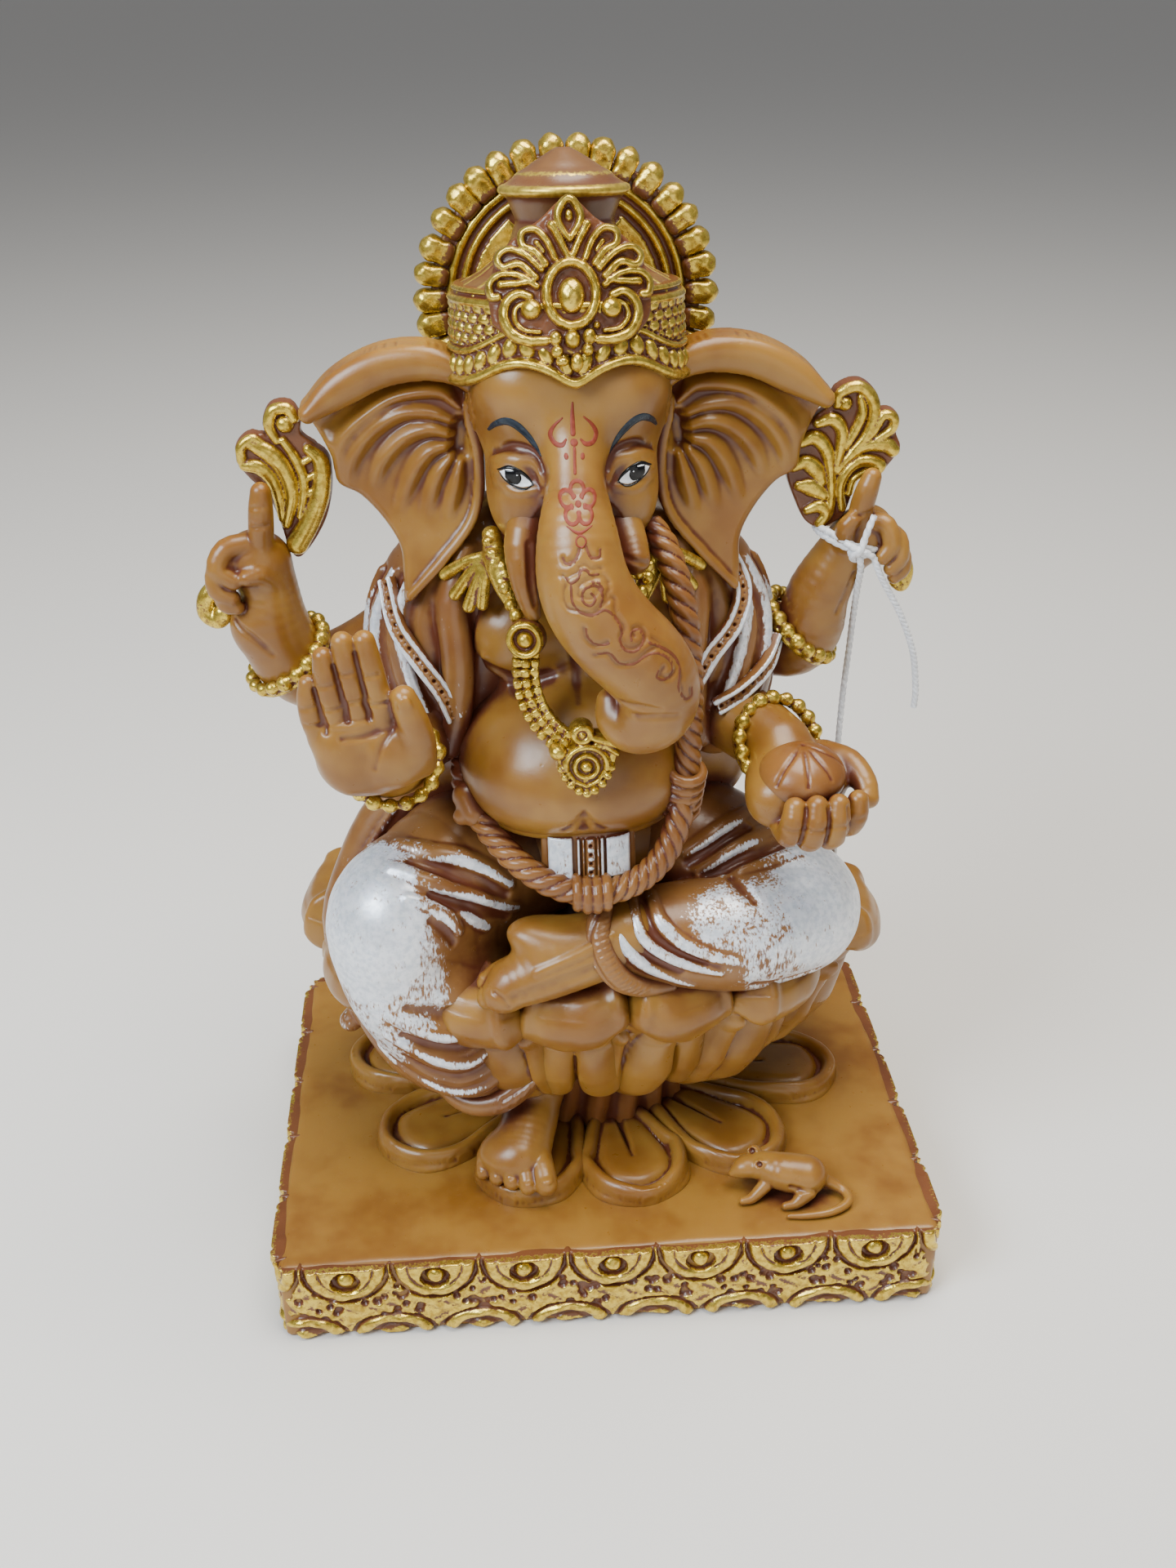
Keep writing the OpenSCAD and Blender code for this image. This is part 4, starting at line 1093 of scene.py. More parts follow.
def torso_clay():
    x = CENTRE_X
    clay = Clay(0.42)
    clay.add(Ellipsoid((x, 3, 126), (20, 13.5, 16)))
    clay.add(Ellipsoid((x, -4.6, 104), (18.6, 22.4, 14.5)), 6)
    clay.add(Ellipsoid((x, -6, 101), (18.4, 22.4, 11.5)), 3)
    clay.add(Ellipsoid((x, 5, 80), (25, 18, 14)), 3)
    clay.add(Ellipsoid((x, 2, 142), (10.5, 10, 8)), 5)
    for s in (-1, 1):
        clay.add(Ellipsoid((x + s * 18.6, 5, 101), (8.6, 10, 15)), 5)
        clay.add(Ellipsoid((x + s * 26, 8, 94), (8, 8, 12)), 5)
        clay.add(Ellipsoid((x + s * 17, 4, 133), (8, 8, 8)), 5)
        clay.add(Ellipsoid((x + s * 9.5, -4.6, 124.5), (9.4, 9, 8.6)), 3)
        clay.add(Ellipsoid((x + s * 8, -10, 101.6), (12, 15, 11)), 5)
        clay.emboss([[x + s * 19, -8, 120.6, 2, -0.7], [x + s * 16, -12, 118, 2.2, -1.3],
                     [x + s * 11, -14.6, 117.6, 2.2, -1.2],
                     [x + s * 5, -15, 119.4, 2, -0.6]])
        clay.emboss([[x + s * 15.8, -11.4, 122.2, 1.1, 0.6], [x + s * 16.2, -11.6, 122, 1, 0.6]])
        clay.emboss([[x + s * 18.6, -9, 129.5, 1.8, -0.9], [x + s * 19.4, -9, 125, 2, -1.2],
                     [x + s * 19.8, -9, 120, 1.6, -0.5]])
        clay.emboss([[x + s * 0.5, -29.6, 99.6, 0.9, -0.9], [x + s * 1.8, -29, 96.6, 1.0, -1.1],
                     [x + s * 3.6, -28, 94, 0.9, -0.8]])
        clay.emboss([[x + s * 18, -16, 88.6, 1.4, -0.6], [x + s * 14, -20, 86, 1.5, -0.7],
                     [x + s * 8, -21, 84.6, 1.2, -0.4]])
    clay.emboss([[x, -13, 132, 1.5, -0.6], [x, -14, 124, 1.6, -0.8], [x, -18, 117, 1.4, -0.4]])
    clay.emboss([[x, -29.4, 101, 0.6, -0.5], [x, -29.6, 97, 1.6, -1.6], [x, -28.6, 94.4, 1.6, -1.4]])
    clay.emboss([[x - 19.6, -16, 92.6, 1.2, 0.8], [x - 12, -23, 90.4, 1.3, 1], [x, -26.4, 89.8, 1.3, 1.1],
                 [x + 12, -23, 90.4, 1.3, 1], [x + 19.6, -16, 92.6, 1.2, 0.8]])
    return clay


def folds(clay, rows_list):
    """Embosses several fold lines."""
    for rows in rows_list:
        clay.emboss(rows)
    return clay


RIGHT_FOLDS = [
    [[-35, -14, 86.4, 1.8, 0.8], [-29, -16.8, 87, 2.2, 1.8], [-24, -17.5, 86.4, 2.2, 1.8],
     [-19.5, -17.8, 84, 1.9, 1.4],
     [-15.5, -18, 80.6, 1.6, 0.7]],
    [[-33, -18, 85, 1.4, -0.8], [-27, -19.4, 84.4, 2, -2], [-22, -19.4, 82.4, 2, -1.8],
     [-16.6, -18.6, 79, 1.6, -0.9]],
    [[-36, -19, 84, 1.7, 0.7], [-31, -21, 84, 2, 1.6], [-26.5, -21, 82.2, 2, 1.9],
     [-22, -20.6, 80.2, 1.8, 1.7],
     [-17.4, -19.2, 77, 1.5, 1.2], [-13.6, -18, 74.8, 1.2, 0.5]],
    [[-30, -22.6, 81.6, 1.4, -1], [-25, -22, 79.4, 1.9, -2], [-20, -20.8, 76.6, 1.8, -1.6],
     [-16, -19.6, 73.6, 1.4, -0.8]],
    [[-34, -23, 81.4, 1.4, 0.7], [-30, -24, 80.8, 1.6, 1.7], [-27, -24, 78.6, 1.6, 2],
     [-25.6, -23.6, 75.4, 1.3, 1.6]],
    [[-30.5, -25, 78.4, 1.3, -0.8], [-28, -25, 76, 1.5, -1.6], [-26.6, -24.6, 73.4, 1.2, -1]],
    [[-24.6, -22.4, 79, 1.1, 0.7], [-22.4, -22, 76, 1.3, 1.2], [-19.6, -21.4, 73, 1.2, 0.8]],
    [[-35, -28, 62.4, 1.6, -0.8], [-31, -28.6, 60.8, 2.2, -2], [-26.6, -27.6, 59.4, 2.4, -2.4],
     [-20, -25, 61.6, 1.8, -1.2]],
    [[-38, -26, 61, 1.4, 0.4], [-33, -28.4, 57.4, 1.8, 1.4], [-27, -27.6, 54.8, 1.8, 1.9],
     [-21, -25.4, 57.4, 1.6, 1.4],
     [-17, -22, 61, 1.2, 0.6]],
    [[-36, -27, 56.6, 1.2, -0.6], [-31, -28, 53.6, 1.5, -1.5], [-25, -26.4, 51.6, 1.5, -1.6],
     [-19, -23, 55, 1.3, -0.9]],
    [[-38, -25, 56.4, 1.4, 0.6], [-33, -27.4, 51.8, 1.7, 1.5], [-28, -27, 48.8, 1.8, 1.9],
     [-23, -25.4, 48.4, 1.7, 1.8],
     [-18, -21.6, 52.6, 1.4, 1]],
    [[-36, -25.6, 50.6, 1.2, -0.6], [-31, -26, 46.8, 1.5, -1.5], [-25, -25, 45.2, 1.5, -1.6],
     [-18.6, -21, 48.6, 1.3, -0.9]],
    [[-39, -21, 50.4, 1.3, 0.6], [-34, -23.6, 44.8, 1.6, 1.4], [-28.5, -24, 41.4, 1.7, 1.8],
     [-22, -23.6, 41.2, 1.7, 1.7],
     [-16, -20, 45.6, 1.5, 1.2]],
    [[-33, -21, 41.2, 1.2, -0.7], [-27, -21.6, 37.8, 1.3, -1.2], [-20, -21, 37.4, 1.2, -1.1],
     [-15, -18, 41, 1.1, -0.7]],
]


def right_leg_clay():
    clay = Clay(0.36)
    clay.add(Tube([[-13, 4, 76, 15], [-24, -6, 77, 14.6], [-36, -16, 73, 11.6], [-36.5, -18, 64, 11],
                   [-32, -17, 54, 11.2],
                   [-27, -16, 46, 11], [-22, -14, 40, 9.6], [-18.6, -13.6, 37.6, 8.2]], 4))
    clay.add(Ellipsoid((-36, -16, 74), (12.2, 12.6, 12.6)), 4)
    clay.add(Ellipsoid((-28, -14, 60), (12, 11, 10)), 6)
    return folds(clay, RIGHT_FOLDS)


def hem_ribs(clay, rows, across, count):
    """Fine ribs across a hem band that runs along rows of [x, y, z]."""
    path = spline(rows, 8)
    for i in range(count):
        p = path[int((i + 0.5) * len(path) / count)]
        a = [*(p[:3] - np.array(across)), 0.42, 0.2]
        b = [*(p[:3] + np.array(across)), 0.42, 0.2]
        clay.emboss([a, [*p[:3], 0.45, 0.5], b], 2)


def right_hem_clay():
    """The ribbed band at the hem of the hanging leg, rolled outwards."""
    clay = Clay(0.26)
    rows = [[-9.6, -16, 46, 1.6], [-11.6, -20.4, 42.6, 2.1], [-15, -22.6, 38.6, 2.4], [-20, -23, 35.4, 2.5],
            [-25.4, -21.6, 34.6, 2.3], [-30, -18, 36.6, 1.9], [-33.4, -12, 40, 1.5]]
    clay.add(Tube(rows, 4))
    clay.emboss([[-10.4, -21, 44, 0.7, -0.5], [-14, -24.2, 40.4, 0.7, -0.6], [-18.6, -25, 37.4, 0.7, -0.5]])
    hem_ribs(clay, [[-10.6, -22, 43, 0], [-15, -25, 38.6, 0], [-20, -25.4, 35.6, 0]], (0.5, 0.8, 1.4), 12)
    return clay


def side_drape_clay():
    """Cloth that falls from the hip behind the hanging leg, edged in white."""
    clay = Clay(0.4)
    clay.add(Tube([[-34, 4, 90, 3.4], [-40, 3, 82, 4], [-44, 1, 74, 4.4], [-47.6, -2, 65, 4],
                   [-46, -6, 55, 3.6],
                   [-42.6, -10, 47, 3.2], [-38.6, -12.6, 40, 2.8], [-33.6, -13, 34.6, 2.6],
                   [-28, -13, 31.6, 2.4]], 3))
    clay.add(Tube([[-32, 8, 88, 6], [-38, 6, 76, 7], [-40, 2, 64, 7], [-36, -4, 52, 6.6],
                   [-31, -8, 42, 6]], 3), 4)
    clay.add(Tube([[-45, -7, 47, 2.4], [-47.4, -8, 45, 2.2]]), 1.5)
    return folds(clay, [
        [[-36.6, 0, 87, 1, 0.8], [-42, -1.6, 79, 1.1, 1], [-46.6, -3.6, 71, 1.1, 1], [-50, -5, 64, 1, 0.7]],
        [[-38, -4, 82, 1.2, -0.9], [-42, -5, 76, 1.4, -1.1], [-46, -6, 69, 1.3, -0.9]],
        [[-38, -5, 80, 0.9, 0.7], [-42.6, -6, 73, 1, 0.8], [-46.6, -7, 66.6, 0.9, 0.6]],
        [[-48, -7, 62, 1, 0.7], [-45, -10, 53, 1.1, 1], [-41, -13.6, 45, 1.1, 1], [-36, -15.6, 38, 1, 0.9],
         [-29.6, -15.6, 33, 1, 0.8]],
    ])


LEFT_FOLDS = [
    [[16.6, -12.6, 82.4, 1.6, 0.9], [21, -12, 85, 2, 1.6], [25.4, -9.4, 86.6, 1.8, 1.2],
     [29, -6, 86.6, 1.4, 0.5]],
    [[17, -13.6, 80.6, 1.4, -0.8], [22, -13, 83.4, 1.9, -1.8], [27.4, -10.6, 85, 1.7, -1.3]],
    [[18.6, -15, 79.4, 1.5, 0.8], [23, -14.2, 82.4, 2, 1.7], [28, -12.4, 84.2, 1.9, 1.5],
     [33, -9, 84, 1.4, 0.6]],
    [[20, -16.4, 78, 1.4, -0.8], [25.4, -15.4, 80.6, 1.9, -1.9], [31, -14, 82.4, 1.8, -1.5],
     [36, -10, 82, 1.3, -0.5]],
    [[22.6, -18, 78.4, 1.3, 0.8], [26.8, -16.4, 80, 1.8, 1.5], [31, -15.6, 81.2, 1.8, 1.5],
     [37, -13.4, 80.8, 1.4, 0.7]],
    [[24, -19, 79, 1.3, -0.8], [25.4, -22, 79, 1.6, -1.6], [27, -24.6, 78, 1.1, -0.7]],
    [[8.8, -20, 80, 1.3, 0.7], [9.4, -26, 78.8, 1.6, 1.4], [11, -29, 77, 1.7, 1.8],
     [14.4, -30.4, 74.2, 1.7, 1.8],
     [19, -31, 71.8, 1.5, 1.2], [24, -31, 70.4, 1.1, 0.4]],
    [[7.4, -20, 80.4, 1, -0.5], [7.6, -27, 78.6, 1.2, -1.2], [9, -29.8, 76, 1.3, -1.5],
     [12.6, -31, 73, 1.3, -1.5],
     [17.6, -31, 70.6, 1.1, -0.9]],
    [[5.4, -20, 80.4, 1.3, 0.8], [5.8, -27.6, 78.4, 1.5, 1.4], [7, -30, 75.6, 1.6, 1.7],
     [10.8, -31.2, 72.6, 1.6, 1.7],
     [15.6, -31.4, 70, 1.4, 1.2], [20.6, -30.6, 68, 1, 0.5]],
    [[4, -20, 80.4, 1, -0.5], [4, -28, 78, 1.2, -1.2], [5.4, -30.2, 75, 1.3, -1.5],
     [8.8, -31.2, 71.8, 1.3, -1.5],
     [13.4, -31, 68.8, 1.1, -1]],
    [[2.2, -22, 79.6, 1.3, 0.8], [2.4, -28.6, 77.6, 1.5, 1.4], [3.8, -30.8, 74.6, 1.6, 1.7],
     [7, -31.4, 71, 1.6, 1.7],
     [11, -31, 67.8, 1.4, 1.2], [16, -29, 65, 1, 0.5]],
    [[27, -29, 64, 1.6, -0.8], [33, -27.6, 62.6, 1.6, -0.8], [40, -24, 62.4, 1.4, -0.6]],
]


def left_leg_clay():
    clay = Clay(0.36)
    clay.add(Tube([[12, 4, 78, 14], [22, -3, 76.4, 13], [32, -8, 72.4, 11.6], [38, -12, 69.4, 10.4],
                   [33, -17, 69, 10.5],
                   [25, -20, 69, 10.4], [17, -21, 70, 10], [11, -22, 71, 9], [5.4, -23.4, 72, 7.8]], 4))
    clay.add(Ellipsoid((37.5, -13.5, 70), (10.6, 12, 10.8)), 4)
    clay.add(Ellipsoid((28, -18, 71), (11, 11, 9)), 5)
    return folds(clay, LEFT_FOLDS)


def left_hem_clay():
    clay = Clay(0.26)
    clay.add(Tube([[1.6, -20, 80.6, 1.6], [0, -25.6, 79, 2.1], [-0.8, -29, 75.6, 2.4],
                   [0.4, -31, 71.8, 2.4],
                   [3, -31.4, 68.2, 2.2], [7, -30, 65.4, 1.8], [12, -27.6, 63.6, 1.4]], 4))
    clay.emboss([[-0.6, -27.6, 79.4, 0.6, -0.5], [-2.6, -30.8, 75.8, 0.7, -0.6],
                 [-1.4, -33, 71.6, 0.7, -0.6],
                 [1.4, -33.2, 67.8, 0.6, -0.5]])
    hem_ribs(clay, [[0.6, -28, 79.4, 0], [0, -31.4, 75.6, 0], [1.4, -33.4, 71.6, 0], [4, -33.4, 68.4, 0],
                    [8, -32, 65.6, 0]],
             (1.3, 0.3, 0.5), 16)
    return clay


def toes(clay, roots, tips, radii):
    """Toes from their roots to their tips, each with a nail."""
    for root, tip, radius in zip(roots, tips, radii):
        root, tip = np.array(root, float), np.array(tip, float)
        clay.add(Tube([[*root, radius * 1.05], [*(root * 0.45 + tip * 0.55 + (0, 0, 0.5)), radius],
                       [*tip, radius * 0.96]]), 0.5)
        nail = tip + (tip - root) / np.linalg.norm(tip - root) * radius * 0.25 + (0, 0, radius * 0.82)
        clay.add(Ellipsoid(nail, (radius * 0.55, radius * 0.6, radius * 0.25)), 0.15)


def right_foot_clay():
    clay = Clay(0.28)
    clay.add(Tube([[-13.6, -14, 42, 5.4], [-13, -14.4, 33, 5.6], [-13.4, -17, 28.6, 5.6],
                   [-14.4, -22, 26.4, 5.2],
                   [-15.6, -26, 24.8, 4.6]], 4))
    clay.add(Ellipsoid((-17.6, -25, 24.2), (6.4, 5.6, 4)), 3)
    clay.add(Ellipsoid((-9.6, -14.6, 31), (2.6, 3, 2.6)), 2)
    toes(clay, [[-12.6, -26, 25], [-15.4, -27, 24.8], [-18, -26.6, 24.4], [-20.6, -25.8, 24],
                [-22.8, -24.6, 23.6]],
         [[-11.4, -32.6, 22.8], [-14.8, -32.4, 22.4], [-17.8, -31, 22.4], [-20.6, -29.4, 22.2],
          [-23.2, -27.6, 22]],
         [2.3, 1.75, 1.65, 1.55, 1.45])
    return clay


def left_foot_clay():
    """The folded foot seen from its side, sole towards the viewer."""
    clay = Clay(0.3)
    clay.add(Tube([[4, -24.4, 73.4, 6.6], [-3, -26, 71, 6.2], [-10, -27, 68.4, 5.6],
                   [-16, -27.6, 66, 4.6]], 4))
    clay.add(Ellipsoid((-8, -25, 73), (9, 5, 4), (0, 14, 0)), 3)
    clay.add(Ellipsoid((-18, -29, 64.6), (3.6, 3.2, 3.4)), 1.2)
    toes(clay, [[-16, -27.6, 66.6], [-15.6, -25, 68]], [[-20.4, -28, 63.4], [-20.6, -25.4, 65]], [2.3, 2])
    return folds(clay, [
        [[-12, -32, 71, 1.2, 0.5], [-4, -31.6, 74.4, 1.3, 0.7], [1, -30, 76.6, 1.2, 0.5]],
        [[-16, -32, 66, 1.6, -0.5], [-8, -32.6, 69, 1.8, -0.7], [-1, -32, 71.6, 1.5, -0.5]],
        [[-19.6, -31.4, 67, 0.7, -0.5], [-18, -32.6, 66, 0.7, -0.6], [-16.8, -32.4, 64, 0.6, -0.4]],
    ])


def brushed_along(points, rows, width):
    """1 along the line through rows of [x, y, z, ...], falling to 0 at the width, and thinner at the ends."""
    path = spline([row[:3] for row in rows], 5)
    mask = np.zeros(len(points))
    count = len(path) - 1
    for i, (a, b) in enumerate(zip(path[:-1], path[1:])):
        along = b - a
        t = np.clip((points - a) @ along / max(float(along @ along), 1e-9), 0, 1)
        off = np.linalg.norm((points - a - t[:, None] * along) * (1, 0.35, 1), axis=1)
        here = width * (0.35 + 0.65 * math.sin(math.pi * (i + 0.5) / count))
        mask = np.maximum(mask, 1 - off / here)
    return np.clip(mask, 0, 1)


def crests(rows_list):
    """The fold lines that stand proud, out of rows of [x, y, z, width, height]."""
    return [rows for rows in rows_list if rows[1][4] > 0]


def white_on(regions, gain=9.0, lines=(), width=1.35):
    """White on cloth that bulges in the ellipsoids, on the fold lines, and thinly on other crests."""
    def paint(points, normals, hollow, heights):
        broad = np.zeros(len(points))
        for at, radii, strength in regions:
            broad = np.maximum(broad, strength * smooth(blob(points, at, radii), 0.0, 0.42))
        stroke = np.zeros(len(points))
        for rows in lines:
            stroke = np.maximum(stroke, 0.78 * smooth(brushed_along(points, rows, width), 0, 0.45))
        crest = np.clip(-hollow * gain, 0, 1) * (0.5 if lines else 0.95)
        dip = np.clip(hollow * 8, 0, 1)
        white = np.maximum(np.maximum(broad, stroke), crest * (0.45 + 0.55 * smooth(broad, 0, 0.1)))
        return np.clip(white - dip * 0.9, 0, 1)
    return paint


piece("head_sculpted", lambda: HEAD, "amber", "amber_resin", ["head"])
piece("tusk_right", lambda: make_tusk(-1), "amber", "amber_resin")
piece("tusk_left", lambda: make_tusk(1), "amber", "amber_resin")
piece("trunk_carved", lambda: TRUNK, "amber", "amber_resin", ["trunk"])
piece("ear_right", lambda: make_ear(-1), "amber", "amber_resin", ["right_ear"])
piece("ear_left", lambda: make_ear(1), "amber", "amber_resin", ["left_ear"])
for side, word in ((-1, "right"), (1, "left")):
    piece(f"brow_{word}", lambda s=side: brow(s), "blue_paint", "amber_resin")
    piece(f"eye_white_{word}", lambda s=side: eye_part(s, "white"), "eye_white", "amber_resin")
    piece(f"eye_dark_{word}", lambda s=side: eye_part(s, "iris"), "dark_paint", "amber_resin")
    piece(f"eye_spark_{word}", lambda s=side: eye_part(s, "painted_glint"), "eye_white", "amber_resin")
piece("forehead_mark", lambda: draw_on_face((-8, 157.6), (1.4, 168.4), forehead_mark), "red_paint",
      "amber_resin")
piece("flower_mark", lambda: draw_on_face((-7.4, 148.6), (1, 158), flower_mark, True), "red_paint",
      "amber_resin")
piece("torso_sculpted", torso_clay, "amber", "amber_resin", ["torso"])
LEG_WHITE_RIGHT = [((-41, -22, 76), (16, 19, 20), 0.9), ((-35, -28, 66), (10, 12, 13), 0.62),
                   ((-39, -22, 58), (9, 13, 15), 0.66)]
LEG_WHITE_LEFT = [((41, -18, 73), (17, 19, 17), 0.9), ((26, -27, 76), (15, 11, 11), 0.62),
                  ((33, -26, 66), (13, 12, 9), 0.6)]
piece("hanging_leg", right_leg_clay, "white", "white_brushed_resin", ["right_leg"],
      white_on(LEG_WHITE_RIGHT, 9, crests(RIGHT_FOLDS)))
piece("hanging_leg_hem", right_hem_clay, "white", "white_brushed_resin", [], white_on([], 3))
piece("hanging_leg_drape", side_drape_clay, "white", "white_brushed_resin", [], white_on([], 7))
piece("folded_leg", left_leg_clay, "white", "white_brushed_resin", ["left_leg"],
      white_on(LEG_WHITE_LEFT, 9, crests(LEFT_FOLDS)))
piece("folded_leg_hem", left_hem_clay, "white", "white_brushed_resin", [], white_on([], 3))
piece("foot_right", right_foot_clay, "amber", "amber_resin", ["right_foot"])
piece("foot_left", left_foot_clay, "amber", "amber_resin", ["left_foot"])


# ------------------------------------------------------------------ plinth and lotus

PLINTH_HALF = (62.0, 45.5)
PLINTH_H = 17.5
CORNER = 5.0
AXIS_Y = 8.0             # the seat, its stem and the petals on the floor are centred here
STEM_R = 20.4
FLOOR_PETALS, FLOOR_PETALS_SEEN = 10, 6
SEAT_PETALS, SEAT_PETALS_SEEN = 12, 7
SPREAD_SIDE, SPREAD_FRONT, SPREAD_BACK = 52, 43, 34        # how far the floor petals reach


def plinth_clay():
    """The plinth's block, a little uneven on top."""
    clay = Clay(0.7)
    clay.add(Box((0, 0, PLINTH_H / 2), (PLINTH_HALF[0] - 0.9, PLINTH_HALF[1] - 0.9, PLINTH_H / 2), 0.9))

    def uneven(x, y, z):
        wave = np.sin(x * 0.11 + 1.3 * np.sin(y * 0.07)) * np.sin(y * 0.13
                                                                  + 0.8) + 0.5 * np.sin(x * 0.31 + y * 0.23)
        return (0.16 * wave * (z > 9)).astype(F)
    return clay.warp(uneven)


def frieze(side):
    """Half-round scallops hanging from the top edge, over pebbled spandrels and a row of low arches."""
    long_side = side in ("front", "back")
    half = PLINTH_HALF[0 if long_side else 1] - CORNER + CORNER * math.pi / 4
    count = 7 if long_side else 5
    pitch = 16.3 if long_side else 17.0
    rng = np.random.default_rng({"front": 3, "back": 4, "left": 5, "right": 6}[side])
    sheet = Drawing((-half, 0.2), (half, PLINTH_H + 0.2), 0.26)
    edge = 0.35 * np.sin(sheet.u * 0.35) + 0.25 * np.sin(sheet.u * 0.83 + 1)
    sheet.rim = np.maximum(0.9 + edge * 0.6 - sheet.w, sheet.w - PLINTH_H + 0.25 - 0.15 * edge)
    sheet.height = np.full_like(sheet.u, 0.98) + 0.12 * edge
    for i in range(-1, count + 1):
        u = (i - (count - 1) / 2) * pitch
        stem = u + pitch / 2
        for _ in range(17):
            du, dw, size = rng.uniform(-1, 1), rng.uniform(0, 1), rng.uniform(0.75, 1.3)
            at = (stem + du * 6.8, 4.4 + dw * 8.4)
            sheet.groove([(*at, size, 1.2), (at[0] + 0.05, at[1] + 0.15, size, 1.2)], 1)
        low = np.hypot((sheet.u - stem) / 7.0, (sheet.w - 0.2) / 4.6)
        sheet.height = np.where(low < 1.18, 0.15, sheet.height)
        sheet.height = np.maximum(sheet.height,
                                  1.4 * np.sqrt(np.clip(1 - ((low - 0.84) / 0.22) ** 2, 0, 1)))
        sheet.height = np.maximum(sheet.height, 1.2 * np.sqrt(np.clip(1 - (low / 0.46) ** 2, 0, 1)))
    for i in range(-1, count + 1):
        u = (i - (count - 1) / 2) * pitch
        r = np.hypot(sheet.u - u, (sheet.w - PLINTH_H + 0.6) * 0.98)
        disc = 1.75 * np.sqrt(np.clip(1 - np.clip((r - 5.9) / 1.5, 0, 1) ** 2, 0, 1))
        sheet.height = np.where(r < 8.1, np.where(r < 7.4, disc, 0.1), sheet.height)
        sheet.height -= 0.55 * np.exp(-((r - 5.0) / 0.3) ** 2)
        small = np.hypot(sheet.u - u, sheet.w - PLINTH_H + 3.1)
        sheet.height = np.where((small < 2.7), 0.12, sheet.height)
        sheet.dome(u, PLINTH_H - 3.1, 1.75, 1.75, 1.75)
        sheet.cord([(u + pitch / 2, 17, 0.5, 1.5), (u + pitch / 2 + 0.2, 12.6, 0.4, 1.3)])
    sheet.height += 0.2 * np.sin(sheet.u * 1.3 + 2 * np.sin(sheet.w * 0.9)) * np.sin(sheet.w * 1.1)
    sheet.height = np.maximum(sheet.height, 0.05)
    half_w, half_d = PLINTH_HALF if long_side else PLINTH_HALF[::-1]
    straight = half_w - CORNER

    def place(u, w, n):
        n = n - 0.95
        past = np.maximum(abs(u) - straight, 0) / CORNER
        x = np.sign(u) * (np.minimum(abs(u), straight) + (CORNER + n) * np.sin(past))
        y = -(half_d - CORNER) - (CORNER + n) * np.cos(past)
        return {"front": (x, y, w), "back": (-x, -y, w), "left": (-y, x, w), "right": (y, -x, w)}[side]
    return sheet.surface(1.4, place, 1)


def by_height(low, high, wash=6.0):
    """Paint where the relief stands above low, full from high up."""
    def paint(points, normals, hollow, heights):
        return smooth(heights, low, high) * 0.75 + 0.35 * np.clip(-hollow * 8, 0,
                                                                  1) - np.clip(hollow * wash, 0, 0.6)
    return paint


def frieze_gilding(points, normals, hollow, heights):
    """Gold on the raised parts, and thinly over the front of the plinth's top edge."""
    top = smooth(points[:, 2], PLINTH_H - 0.6, PLINTH_H - 0.2)
    front = smooth(-points[:, 1], PLINTH_HALF[1] - 1.2, PLINTH_HALF[1] - 0.4)
    raised = by_height(0.5, 0.95, 5)(points, normals, hollow, heights)
    return np.maximum(raised * (1 - 0.6 * top), 0.6 * top * front)


def gold_all(points, normals, hollow, heights):
    """Gold everywhere but in the hollows."""
    return 0.74 - np.clip(hollow * 7, 0, 0.7)


def gold_plain(points, normals, hollow, heights):
    """Gold everywhere."""
    return np.full(len(points), 0.72)


def turned(place, angle, offset=(0, 0, 0)):
    """Turns what place gives about Z, then moves it."""
    c, s = math.cos(math.radians(angle)), math.sin(math.radians(angle))

    def moved(u, w, n):
        x, y, z = place(u, w, n)
        return x * c - y * s + offset[0], x * s + y * c + offset[1], z + offset[2]
    return moved


def reach(a, b, angle):
    """An ellipse's radius at an angle."""
    return 1 / math.hypot(math.cos(math.radians(angle)) / a, math.sin(math.radians(angle)) / b)


def floor_petal(i):
    """A petal lying on the plinth: a thick rim round a hollow, and a slit pad in the hollow."""
    angle = -7 - 360 / FLOOR_PETALS * i
    far = reach(SPREAD_SIDE, SPREAD_FRONT if math.sin(math.radians(angle)) < 0 else SPREAD_BACK,
                angle) - STEM_R
    tip = min(10.8, far * 0.66)
    sheet = Drawing((-1.5, -12), (far + 1.5, 12), 0.36)
    bend = 0.25 * np.sin(sheet.u * 0.4 + i) + 0.2 * np.sin(sheet.w * 0.5 + 2 * i)
    outline = [[-1, -6], [far * 0.3, -tip * 0.86], [far - tip, -tip], [far - tip * 0.34, -tip * 0.78],
               [far, 0],
               [far - tip * 0.34, tip * 0.78], [far - tip, tip], [far * 0.3, tip * 0.86], [-1, 6]]
    sheet.fill(outline, 1.5, edge=1.4)
    shrink = lambda d: [[u - (d if u > far * 0.5 else 0), w - np.sign(w) * d, 1.6, 2.6] for u, w in outline]
    sheet.cord(shrink(1.6), floor=1.2)
    sheet.height += np.where(sheet.rim < -1.0, bend, 0)
    inner = Drawing((-1.5, -12), (far + 1.5, 12), 0.36)
    inner.fill([[-1, -3.8], [far * 0.3, -tip * 0.56], [far - tip, -tip * 0.64],
                [far - tip * 0.5 - 1, -tip * 0.5],
                [far - 4.3, 0], [far - tip * 0.5 - 1, tip * 0.5], [far - tip, tip * 0.64],
                [far * 0.3, tip * 0.56], [-1, 3.8]],
               1.8, edge=2.6)
    inner.groove([(-1, 0.2, 1.0, 2), (far * 0.3, 0, 0.7, 1.4), (far * 0.5, -0.3, 0.4, 0.5)])
    sheet.height = np.maximum(sheet.height,
                              np.where(inner.rim < 0, 1.1 + np.maximum(inner.height, -0.5), 0))

    def flat(u, w, n):
        return u + STEM_R, w, PLINTH_H + n
    return sheet.surface(0.6, turned(flat, angle, (0, AXIS_Y, 0)), 2)


